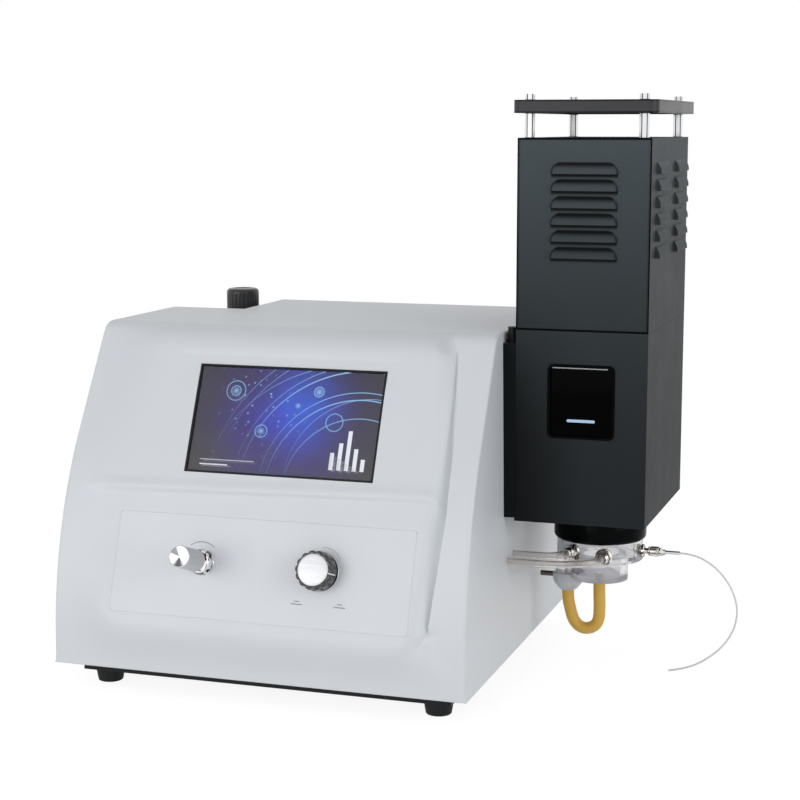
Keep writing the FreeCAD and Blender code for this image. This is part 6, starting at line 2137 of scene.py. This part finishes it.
# ------------------------------------------------------------------ knobs
@dataclass
class FineKnob:
    """The fine adjust knob: a chrome dome and a knurled barrel with a turned end."""

    axis: float = -KNOB_SPACING / 2
    up: float = KNOB_UP
    radius: float = 8.6
    tip: float = 44.0
    waist: float = 5.2
    knurls: int = 28
    knurl_pitch: float = 1.7
    knurl_depth: float = 0.34

    def dome(self, place: Place) -> None:
        """The dome: a thin rim ring, then a bulge of the valve's nut.

        Args:
            place: the knob's axes.
        """
        t = np.radians(np.linspace(0, 78, 14))
        bulge = np.stack([6.0 + 4.0 * np.cos(t) ** 0.9, 1.6 + 7.0 * np.sin(t)], axis=-1)
        profile = np.concatenate([
            [[5.05, 0.0], [10.1, 0.0], [10.4, 0.3], [10.4, 1.1], [10.15, 1.4], [10.0, 1.5]],
            bulge,
            [[6.4, 8.9], [6.0, 9.0], [5.05, 9.0], [5.05, 0.0]],
        ])
        lathed("fine_dome", place, profile, 96, Body.CABINET, CHROME, ("fine_valve_nut",))

    def barrel(self, place: Place) -> None:
        """The barrel: diamond knurling made of two crossed ridges, and a dished end.

        The radius is r - depth * max(t1, t2)^2.2, where t1 and t2 are triangle waves of
        count * a / (2 pi) + h / pitch and of the same with a minus, faded out at both ends.

        Args:
            place: the knob's axes.
        """
        turns, rows = 224, 112
        a = around(turns)
        low, high = 14.6, self.tip - 1.4
        h = np.linspace(low, high, rows)[None]
        along, up = a * self.knurls / (2 * math.pi), h / self.knurl_pitch
        one = np.abs(((along + up) % 1.0) - 0.5) * 2
        two = np.abs(((along - up) % 1.0) - 0.5) * 2
        fade = ease(low, low + 0.7, h) * (1 - ease(high - 0.7, high, h))
        r = self.radius - self.knurl_depth * np.maximum(one, two) ** 2.2 * fade
        start = np.array([
            [3.0, 11.5], [5.0, 11.5], [self.waist, 11.7],
            [self.waist, 13.3], [7.2, 13.5], [self.radius, 14.1],
        ])
        end = np.array([
            [self.radius, self.tip - 0.8], [self.radius - 0.25, self.tip - 0.2],
            [self.radius - 0.6, self.tip], [self.radius - 0.9, self.tip - 0.1],
            [self.radius - 1.0, self.tip - 0.6], [0.0, self.tip - 2.2],
        ])
        flat = np.ones_like(a)
        r = np.concatenate([flat * start[:, 0], r, flat * end[:, 0]], axis=1)
        h = np.concatenate([flat * start[:, 1], flat * h, flat * end[:, 1]], axis=1)
        work = Patchwork()
        work.turned(place, r, h)
        work.piece("fine_barrel", Body.FINE_KNOB, KNURL, ("fine_adjust_knob",), sharp=40)

    def end_face(self, place: Place) -> None:
        """The barrel's turned end: a shallow cone that dips towards its middle.

        Args:
            place: the knob's axes.
        """
        edge = self.radius - 1.05
        r = np.linspace(0.0, edge, 10)
        face = np.stack([r, self.tip - 1.15 + 0.75 * r / edge], axis=-1)
        profile = np.concatenate([face, [[edge, self.tip - 1.5], [0.0, self.tip - 1.9]]])
        middle = tuple(float(v) for v in place.at(0, 0, self.tip))
        # painted reflections: bright and dark wedges on the turned end
        finish = Spun(
            "turned_end", (238, 239, 241), roughness=0.2, metallic=1.0, grain=0.3, depth=0.001, dust=0.0,
            middle=middle, across=place.across, up=place.up, dark=(92, 94, 96),
        )
        lathed("fine_end", place, profile, 96, Body.FINE_KNOB, finish)

    def build(self) -> None:
        """Makes the dome, the barrel and its end."""
        place = PLATE.moved(self.axis, self.up)
        self.dome(place)
        self.barrel(place)
        self.end_face(place)


@dataclass
class GasKnob:
    """The gas valve's lobed black knob with a silver disc and a white pointer."""

    axis: float = KNOB_SPACING / 2
    up: float = KNOB_UP
    swell: float = 1.075
    lobes: int = 14
    scallop_depth: float = 1.5
    top: float = 15.8
    disc_radius: float = 12.2
    disc_top: float = 17.0

    def body(self, place: Place) -> None:
        """The grip: r shrinks between the lobes by a rounded scallop, up to its rounded rim.

        Args:
            place: the knob's axes.
        """
        turns = 240
        a = around(turns)
        table = np.array([
            [9.6, 4.6, 0], [13.7, 4.5, 0], [14.1, 4.8, 0], [14.3, 5.3, 0],
            [14.3, 7.0, 0.1], [14.3, 7.6, 0.45], [14.3, 8.4, 0.8], [14.3, 9.6, 1],
            [14.3, 12.2, 1], [14.2, 13.4, 1], [13.9, 14.4, 0.95], [13.4, 15.2, 0.8],
            [12.8, 15.7, 0.45], [12.2, 15.85, 0.12], [11.9, 15.7, 0], [0.0, 15.7, 0],
        ])
        profile = table[:, :2] * np.array([self.swell, 1.0])
        scallop = np.abs(np.cos(a * self.lobes / 2)) ** 0.8
        cut = self.scallop_depth * (1 - scallop) * table[None, :, 2]
        r = profile[None, :, 0] - cut
        work = Patchwork()
        work.turned(place, r, profile[None, :, 1])
        under = np.array([[9.6 * self.swell, 4.6], [9.5, 7.3], [3.05, 7.3], [3.05, 14.3], [0.0, 14.3]])
        work.lathe(place, under, turns)
        work.piece("gas_grip", Body.GAS_KNOB, KNOB_BLACK, ("gas_valve_knob",), sharp=50)

    def disc(self, place: Place) -> None:
        """The disc: a shallow dome, higher in its middle, with a small rim step.

        Args:
            place: the knob's axes.
        """
        r = np.linspace(self.disc_radius - 0.5, 0.0, 14)
        dome = np.stack([r, self.disc_top - 0.75 * (r / self.disc_radius) ** 2], axis=-1)
        foot = [[0.0, self.top], [self.disc_radius, self.top], [self.disc_radius, self.disc_top - 1.0]]
        profile = np.concatenate([foot, dome])
        lathed("gas_disc", place, profile, 96, Body.GAS_KNOB, SILVER, ("gas_knob_cap",))

    def pointer(self, place: Place) -> None:
        """The pointer: a narrow white line from the disc's rim down one lobe.

        Args:
            place: the knob's axes.
        """
        t = np.linspace(0, 1, 12)
        r = np.interp(t, [0, 0.12, 0.24, 0.36, 1.0], [12.6, 13.8, 15.0, 15.45, 15.45])
        h = np.interp(t, [0, 0.12, 0.24, 0.36, 1.0], [15.95, 15.75, 14.9, 13.6, 7.6])
        turn = math.radians(-8)
        side = np.array([-0.42, -0.42, 0.42, 0.42])
        lift = np.array([-0.3, 0.12, 0.12, -0.3])
        rr = (r[:, None] + lift[None] * 0.8)
        hh = (h[:, None] + lift[None] * 0.6)
        ss = side[None] + 0 * rr
        a = rr * math.cos(turn) - ss * math.sin(turn)
        b = rr * math.sin(turn) + ss * math.cos(turn)
        work = Patchwork()
        indices = work.sheet(place.at(a, b, hh), wrap=(False, True))
        work.polygon(indices[0])
        work.polygon(indices[-1])
        work.piece("gas_pointer", Body.GAS_KNOB, POINTER)

    def highlight_ring(self, place: Place) -> None:
        """A thin bright steel ring on the plate, just wider than the grip: a painted highlight round the
        knob's foot.

        Args:
            place: the knob's axes.
        """
        profile = np.array([
            [13.2, 0.0], [15.1, 0.0], [15.2, 0.1], [15.2, 0.25],
            [15.05, 0.38], [13.35, 0.38], [13.2, 0.25], [13.2, 0.0],
        ])
        lathed("gas_highlight_ring", place, profile, 96, Body.CABINET, STEEL, sharp=40)

    def build(self) -> None:
        """Makes the grip, disc, pointer and the ring of painted highlight."""
        place = PLATE.moved(self.axis, self.up)
        self.highlight_ring(place)
        self.body(place)
        self.disc(place)
        self.pointer(place)


@dataclass
class RegulatorKnob:
    """The air regulator's fluted black cap, which stands out of the cabinet's bay."""

    centre: Pair = (-125.4, 285.0)
    radius: float = 14.7
    bottom: float = 263.5
    top: float = 299.5
    flutes: int = 24
    flute_depth: float = 0.6

    def build(self) -> None:
        """Turns the cap's profile; flutes r - depth * |cos(n a / 2)|^6 run up its side."""
        turns = 288
        a = around(turns)
        edge = np.radians(np.linspace(0, 90, 7))
        side = np.array([[12.6, self.bottom], [14.3, self.bottom], [14.7, self.bottom + 0.4]])
        heights = np.linspace(self.bottom + 1.0, self.top - 3.4, 14)
        wall_run = np.stack([np.full(14, self.radius), heights], axis=-1)
        rim = np.stack([self.radius - 3.4 + 3.4 * np.cos(edge), self.top - 3.4 + 3.4 * np.sin(edge)], axis=-1)
        lid = np.array([[8.0, self.top], [7.6, self.top - 0.4], [0.0, self.top - 0.4]])
        profile = np.concatenate([side, wall_run, rim, lid])
        ends = [self.bottom, self.bottom + 1.5, self.top - 6.0, self.top - 3.4]
        share = np.interp(profile[:, 1], ends, [0.0, 1.0, 1.0, 0.0])
        flute = np.abs(np.cos(a * self.flutes / 2)) ** 6
        r = profile[None, :, 0] - self.flute_depth * flute * share[None]
        place = BENCH.moved(*self.centre)
        work = Patchwork()
        work.turned(place, r, profile[None, :, 1])
        roof, bore_end = self.top - 19.0, self.top - 9.0
        inner = np.array([[12.6, self.bottom], [12.6, roof], [4.05, roof], [4.05, bore_end], [0.0, bore_end]])
        work.lathe(place, inner, turns)
        stands_for = ("regulator_knob",)
        work.piece(
            "regulator_cap", Body.REGULATOR_CAP, REGULATOR_CAP, stands_for, sharp=50,
        )


# ------------------------------------------------------------------ burner tower
TOWER_FRONT = Place((ORIGIN[0], ORIGIN[1], 0.0), (1, 0, 0), (0, 0, 1), (0, -1, 0))
BURNER_AXIS = BENCH.moved(*BURNER)


@dataclass
class ChimneyFront:
    """The chimney's front sheet with its pressed louvres, and a black strip round it: painted shadow in the
    seam.
    """

    middle: float = 230.45
    width: float = 101.4
    low: float = 291.2
    high: float = 436.6
    face: float = -112.5
    thickness: float = 0.8
    louvre_middle: float = BURNER[0]
    louvre_low: float = 346.1
    pitch: float = 12.9
    count: int = 6
    louvre_height: float = 9.2
    half_width: float = 26.2
    proud: float = 3.4

    def rows(self) -> Array:
        """Z of the sheet's rows: close together over each louvre.

        Returns:
            Z of each row, rising.
        """
        edges = np.array([0.0, 0.12, 0.3, 0.6])
        over = np.array([
            -1.4, -1.15, -0.6, -0.02, 0.0, 0.3, 0.8, 1.5, 2.3, 3.1, 3.9,
            4.7, 5.5, 6.3, 7.1, 7.8, 8.4, 8.8, 9.1, 9.2, 9.5,
        ])
        louvres = (self.louvre_low + self.pitch * np.arange(self.count)[:, None] + over[None]).ravel()
        plain = np.linspace(self.low + 1, self.louvre_low - 3, 10)
        upper = np.linspace(self.louvre_low + self.pitch * self.count, self.high - 1, 4)
        places = [self.low + edges, self.high - edges, louvres, plain, upper]
        return np.unique(np.round(np.concatenate(places), 4))

    def columns(self) -> Array:
        """X of the sheet's columns: close together at the louvres' ends.

        Returns:
            X of each column, rising.
        """
        left = self.middle - self.width / 2
        edges = np.array([0.0, 0.12, 0.3, 0.6])
        ends = np.linspace(self.half_width - 9, self.half_width + 0.6, 30)
        inner = np.linspace(-self.half_width + 9, self.half_width - 9, 10)
        return np.unique(np.round(np.concatenate([
            left + edges, left + self.width - edges, self.louvre_middle + ends, self.louvre_middle - ends,
            self.louvre_middle + inner, np.linspace(left + 1, self.louvre_middle - 28, 6),
            np.linspace(self.louvre_middle + 28, left + self.width - 1, 6),
        ]), 4))

    def louvre(self, x: Array, z: Array) -> tuple[Array, Array]:
        """How far the sheet stands out at (x, z), and how much painted shade it gets.

        Along a louvre t runs up from its open lip (0) to where it leaves the sheet (1). It is as
        wide as half_width at the lip and 8.5 mm narrower on each side at the top, on a quarter
        ellipse. It stands out by proud * (1 - smooth step of t), and its ends fall to the sheet
        on a quarter round. Painted shade is deep along its top and ends, and just under its lip.

        Args:
            x: X of the points.
            z: Z of the points.

        Returns:
            How far each point stands out, and its painted shade from 0 to 1.
        """
        step = (z - self.louvre_low) / self.pitch
        index = np.clip(np.floor(step + 1e-6), 0, self.count - 1)
        t = (z - self.louvre_low - index * self.pitch) / self.louvre_height
        inside = (t >= -1e-6) & (t <= 1)
        t = np.clip(t, 0, 1)
        half = self.half_width - 8.5 * (1 - np.sqrt(1 - 0.97 * t**2))
        from_end = np.clip((half - np.abs(x - self.louvre_middle)) / 3.2, 0, 1)
        out = self.proud * (1 - ease(0.3, 1.0, t)) * np.sqrt(1 - (1 - from_end) ** 2) * inside
        top_shade = np.exp(-(((t - 0.84) / 0.24) ** 2)) * (from_end > 0.02)
        lit_side = np.where(x < self.louvre_middle, 1.0, 0.5)
        end_shade = np.exp(-((from_end - 0.14) / 0.26) ** 2) * (from_end > 0.001) * lit_side
        above = np.ceil(step - 1e-6)
        gap = self.louvre_low + above * self.pitch - z
        under = (gap > 0.001) & (gap < 1.5) & (above >= 0) & (above < self.count)
        under &= np.abs(x - self.louvre_middle) < self.half_width - 0.2
        lip = inside & (t < 0.02) & (from_end > 0.05)
        shade = np.maximum(np.maximum(top_shade, end_shade) * inside, np.maximum(under, lip * 0.9))
        return out, shade

    def build(self) -> None:
        """Makes the sheet as one closed grid and writes its painted shade as a float attribute on its points.
        """
        x, z = np.meshgrid(self.columns(), self.rows(), indexing="ij")
        out, _ = self.louvre(x, z)
        left = self.middle - self.width / 2
        from_sides = np.minimum(x - left, left + self.width - x)
        from_edge = np.minimum(from_sides, np.minimum(z - self.low, self.high - z))
        e = np.clip(from_edge / 0.6, 0, 1)
        out = out - 0.45 * (1 - np.sqrt(1 - (1 - e) ** 2))
        work = Patchwork()
        indices = work.sheet(TOWER_FRONT.at(x, z, self.face + out))
        back = work.add(TOWER_FRONT.at(rim(x), rim(z), self.face - self.thickness))
        work.quads(np.stack([rim(indices), back]), wrap=(False, True))
        work.polygon(back)
        stands_for = ("chimney_front",)
        obj = work.piece("chimney_louvre_sheet", Body.CHIMNEY, TOWER, stands_for, sharp=38)
        points = np.empty(len(obj.data.vertices) * 3)
        obj.data.vertices.foreach_get("co", points)
        points = points.reshape(-1, 3) / MM - np.array(ORIGIN)
        _, shade = self.louvre(points[:, 0], points[:, 2])
        # painted shade of the louvres, kept on the sheet's points for its finish
        held = obj.data.attributes.new("painted_shade", "FLOAT", "POINT")
        held.data.foreach_set("value", (shade * (points[:, 1] < -self.face + 0.3)).astype(np.float32))
        # a black strip round the sheet: painted shadow in the seam
        seam_shadow = Patchwork()
        place = TOWER_FRONT.moved(self.middle, (self.low + self.high) / 2)
        outer = rounded_rectangle(104.15, 147.9, 0.8, 3)
        inner = rounded_rectangle(self.width + 0.5, self.high - self.low + 0.5, 0.5, 3)
        seam_shadow.ring(place, outer, inner, -113.9, -111.85, 0.2)
        seam_shadow.piece("chimney_seam_shadow", Body.CHIMNEY, GASKET)


@dataclass
class PeepWindow:
    """The tinted window of the burner housing: a rubber gasket, the glass, a painted highlight on its top
    edge and a painted glowing bar.
    """

    x: float = BURNER[0]
    z: float = 235.0
    width: float = 53.2
    height: float = 58.3

    def outline(self, less: float, radius: float, steps: int = 8) -> Array:
        """The window's outline, smaller by less each way, with round corners."""
        return rounded_rectangle(self.width - less, self.height - less, radius, steps)

    def build(self) -> None:
        """Makes the gasket as a ring of rounded outlines, the pane, a painted highlight on its edge and a
        painted glowing bar.
        """
        place = TOWER_FRONT.moved(self.x, self.z)
        work = Patchwork()
        work.ring(place, self.outline(0, 4.5), self.outline(4, 3), -117.4, -111.5, 0.5)
        work.piece("window_gasket_ring", Body.CABINET, GASKET, ("window_frame",))
        lip = Patchwork()
        lip.ring(place, self.outline(-0.06, 0.1), self.outline(0.5, 4.3), -113.2, -112.02, 0.05)
        lip.piece("window_opening_corners", Body.CABINET, TOWER)
        pane = Patchwork()
        outline, inner = self.outline(3.4, 2.5, 6), self.outline(3.8, 2.3, 6)
        pane.loft(place, [(outline, -117.4), (outline, -114.7), (inner, -114.5)])
        pane.piece("window_pane", Body.CABINET, TINT, ("window_glass",))
        # painted highlight: a pale strip along the pane's top edge
        glint = Patchwork()
        bar = rounded_rectangle(44.0, 0.8, 0.39, 4) + np.array([-1.6, 26.0])
        glint.loft(place, [(bar, -114.6), (bar, -114.4)])
        glint.piece("pane_painted_highlight_strip", Body.CABINET, GLINT)
        # painted light: a pale blue glowing bar on the pane
        glow_bar = Patchwork()
        bar = rounded_rectangle(22.3, 2.2, 0.9, 4) + np.array([-0.4, -15.3])
        glow_bar.loft(place, [(bar, -114.6), (bar, -114.38)])
        glow_bar.piece("painted_glow_bar", Body.CABINET, PAINTED_GLOW)


@dataclass
class CapPosts:
    """The four hexagon posts under the cap and the four hexagon heads on it."""

    xs: Pair = (186.05, 274.85)
    ys: Pair = (119.7, 271.3)
    radius: float = 3.95

    def hexagon(self, radius: float, chamfer: float) -> Array:
        """A hexagon's outline with a narrow flat on each corner: 12 points.

        Args:
            radius: the radius of its corners.
            chamfer: half a flat's width.

        Returns:
            A (12, 2) array of points.
        """
        corner = np.radians(np.arange(6) * 60.0 + 11.0)
        turn = chamfer / radius
        a = np.stack([corner - turn, corner + turn], axis=-1).ravel()
        return radius * np.stack([np.cos(a), np.sin(a)], axis=-1)

    def rods(self, name: str, low: float, high: float, node: str) -> None:
        """Stands a hexagon rod at each corner, its narrow flats in a dark finish that paints shade along its
        edges.

        Args:
            name: the piece's name.
            low: Z of their lower ends.
            high: Z of their upper ends.
            node: the CAD node that they stand for.
        """
        work = Patchwork()
        outline, small = self.hexagon(self.radius, 0.42), self.hexagon(self.radius - 0.35, 0.42)
        rings = [(small, low), (outline, low + 0.3), (outline, high - 0.4), (small, high)]
        marks = []
        for x in self.xs:
            for y in self.ys:
                work.loft(BENCH.moved(x, y), rings)
                marks += [1, 0] * 6 * 3 + [0, 0]
        obj = work.piece(name, Body.CHIMNEY, POST, (node,), sharp=20)
        obj.data.materials.append(POST_EDGE.material())
        obj.data.polygons.foreach_set("material_index", np.array(marks, dtype=np.int32))

    def build(self) -> None:
        """Makes the posts and the heads."""
        self.rods("hexagon_posts", 438.0, 456.7, "cap_posts")
        self.rods("hexagon_heads", 466.7, 471.2, "cap_screws")


@dataclass
class BurnerBase:
    """What hangs under the housing: the collar, the hose fittings, the nebulizer and the drain cup."""

    axis: Place = BURNER_AXIS
    air_angle: float = AIR_ANGLE

    def collar(self) -> None:
        """The collar: r 38 with a wide round on its lower edge."""
        a = np.radians(np.linspace(270, 360, 8))
        low = np.stack([34.5 + 3.5 * np.cos(a), 114.5 + 3.5 * np.sin(a)], axis=-1)
        high = [[38.0, 137.0], [37.6, 137.6], [26.0, 137.6], [26.0, 111.0]]
        profile = np.concatenate([[[26.0, 111.0]], low, high])
        stands_for = ("burner_collar",)
        lathed(
            "burner_collar_ring", self.axis, profile, 128, Body.CABINET, COLLAR,
            stands_for, 45,
        )

    def fitting(self, work: Patchwork, place: Place, start: float) -> None:
        """A hose fitting along a port's axis: a seat disc, a hexagon nut, a bead and a ferrule.

        Args:
            work: the meshes gathered so far.
            place: axes whose out runs along the port.
            start: where the seat disc stands, from the burner's axis.
        """
        a = around(72)
        profile = np.array([
            [2.2, 0.0], [6.8, 0.0], [7.0, 0.3], [7.0, 1.2], [6.4, 1.5],
            [5.9, 1.7], [6.6, 1.9], [6.6, 5.0], [6.0, 5.4], [4.9, 5.4],
            [4.4, 5.8], [5.1, 6.2], [5.1, 7.0], [4.4, 7.4], [4.2, 7.7],
            [4.7, 8.1], [4.7, 10.0], [4.0, 10.5], [2.2, 10.5], [2.2, 0.0],
        ])
        nut = ((profile[:, 1] > 1.8) & (profile[:, 1] < 5.1) & (profile[:, 0] > 6.5))[None]
        reach = np.where(nut, flats(a, 6), 1.0)
        work.lathe(place.moved(0, 0, start), profile, 72, reach)

    def barbs(self) -> None:
        """Both hose fittings: the air port's, turned to the left, and the gas port's."""
        work = Patchwork()
        self.fitting(work, facing(*BURNER, AIR_HEIGHT, self.air_angle), 35.2)
        self.fitting(work, facing(GAS_X, BURNER[1], GAS_HEIGHT, 0.0), 34.0)
        work.piece("hose_fittings", Body.CABINET, NICKEL, ("hose_barbs",), sharp=30)

    def nebulizer(self) -> None:
        """The nebulizer: a flange, a thin neck and a knurled hub that tapers to the needle."""
        place = along_x(0.0, BURNER[1], NEEDLE_HEIGHT)
        a = around(96)
        profile = np.array([
            [1.6, 260.4], [5.3, 260.4], [5.4, 260.7], [5.4, 267.6], [5.0, 268.0], [2.6, 268.0],
            [2.4, 268.4], [2.4, 270.8], [3.4, 271.2], [3.9, 271.6], [3.9, 272.2], [3.5, 272.6],
            [4.0, 273.2], [4.1, 273.8], [4.1, 279.4], [3.9, 279.9], [3.3, 280.3], [3.5, 280.8],
            [3.4, 281.6], [2.7, 284.2], [2.3, 285.3], [1.6, 285.3], [1.6, 260.4],
        ])
        grip = ((profile[:, 1] > 273.5) & (profile[:, 1] < 279.6) & (profile[:, 0] > 4.0))[None]
        reach = np.where(grip, 1 - 0.07 * (np.cos(a * 16) > 0), 1.0)
        stands_for = ("nebulizer_body",)
        lathed(
            "nebulizer_hub", place, profile, 96, Body.CABINET, NICKEL, stands_for, 30,
            reach,
        )

    def cup(self) -> None:
        """The drain cup: a moulded funnel with nine soft flats."""
        a = around(90)
        profile = np.array([
            [3.0, 64.0], [6.4, 64.0], [7.0, 64.4], [8.8, 66.4], [11.4, 69.8],
            [12.4, 72.0], [12.7, 74.0], [12.9, 78.0], [12.5, 79.0], [9.6, 79.0],
            [9.4, 78.0], [9.2, 73.0], [6.5, 68.0], [3.0, 66.2], [3.0, 64.0],
        ])
        outside = (np.arange(len(profile)) < 9)[None]
        reach = np.where(outside, flats(a, 9), 1.0)
        place, stands_for = BENCH.moved(*CUP_AXIS), ("drain_cup",)
        lathed(
            "drain_cup_moulded", place, profile, 90, Body.CABINET, CUP, stands_for, 12,
            reach,
        )

    def build(self) -> None:
        """Makes the collar, the hose fittings, the nebulizer and the cup."""
        self.collar()
        self.barbs()
        self.nebulizer()
        self.cup()


EASED: tuple[tuple[str, Body, Finish, str, float], ...] = (
    ("base_tray", Body.CABINET, TRAY, "tray_metal", 0.4),
    ("rubber_feet", Body.CABINET, RUBBER, "foot_rubber", 1.2),
    ("side_block", Body.CABINET, BLOCK, "tower_slate", 0.6),
    ("burner_housing", Body.CABINET, TOWER, "tower_slate", 0.5),
    ("chimney_shell", Body.CHIMNEY, TOWER, "tower_slate", 0.3),
    ("cap_plate", Body.CHIMNEY, CAP, "tower_slate", 0.6),
    ("mixing_chamber", Body.CABINET, ACRYLIC, "chamber_clear", 0.7),
)


def ease_nodes() -> None:
    """Puts softly broken edges on the solids whose shape stays."""
    for node, body, finish, slot, width in EASED:
        eased_copy(node, body, finish, width, 3)


# ------------------------------------------------------------------ carried-over nodes
CARRIED: tuple[tuple[Finish, str], ...] = (
    (TRAY, "base_tray"),
    (RUBBER, "rubber_feet"),
    (SCREW, "cabinet_screws regulator_bracket"),
    (PANEL, "rear_panel power_supply"),
    (BEZEL, "display_frame"),
    (TOUCH, "display_glass"),
    (SCREEN, "lit_panel"),
    (BOARD, "circuit_boards"),
    (BRASS, "board_standoffs fine_valve_body gas_valve_body hose_inlets"),
    (STEEL, "fine_valve_needle gas_valve_plug regulator_spindle nebulizer_needle"),
    (CHROME, "gas_valve_nut"),
    (INLET, "power_inlet fuse_drawer switch_frame"),
    (KNOB_BLACK, "power_rocker"),
    (REGULATOR_GREY, "regulator_body regulator_bonnet"),
    (BOWL, "regulator_bowl"),
    (OPTICS, "optics_tube filter_holder photodetector"),
    (LENS, "lens"),
    (FILTER, "optical_filter"),
    (BLOCK, "side_block"),
    (TOWER, "burner_housing chimney_shell chimney_front"),
    (GASKET, "window_frame"),
    (TINT, "window_glass"),
    (CAP, "cap_plate"),
    (POST, "cap_posts cap_screws"),
    (COLLAR, "burner_collar"),
    (BURNER_METAL, "burner_head"),
    (IGNITER, "igniter"),
    (ACRYLIC, "mixing_chamber"),
    (NICKEL, "hose_barbs nebulizer_body hose_unions"),
    (CUP, "drain_cup"),
    (SPOUT, "drain_spout"),
)


def dress_carried() -> None:
    """Gives every CAD node its finish."""
    finishes = {name: finish for finish, names in CARRIED for name in names.split()}
    for name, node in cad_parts.items():
        finish = finishes.get(name, CASE)
        for index in range(len(node.material_slots)):
            node.material_slots[index].material = finish.material()
    LOG.info("carried nodes dressed: %d", len(finishes))


def main() -> None:
    """Builds the studio and the object, piece by piece."""
    logging.basicConfig(level=logging.INFO, format="%(name)s %(message)s")
    Studio().build()
    plumbing = Plumbing()
    plumbing.capillary()
    plumbing.build()
    dress_carried()
    Shell().build()
    ControlPlate().build()
    FineKnob().build()
    GasKnob().build()
    RegulatorKnob().build()
    ChimneyFront().build()
    PeepWindow().build()
    CapPosts().build()
    BurnerBase().build()
    ease_nodes()


if __name__ == "__main__":
    main()
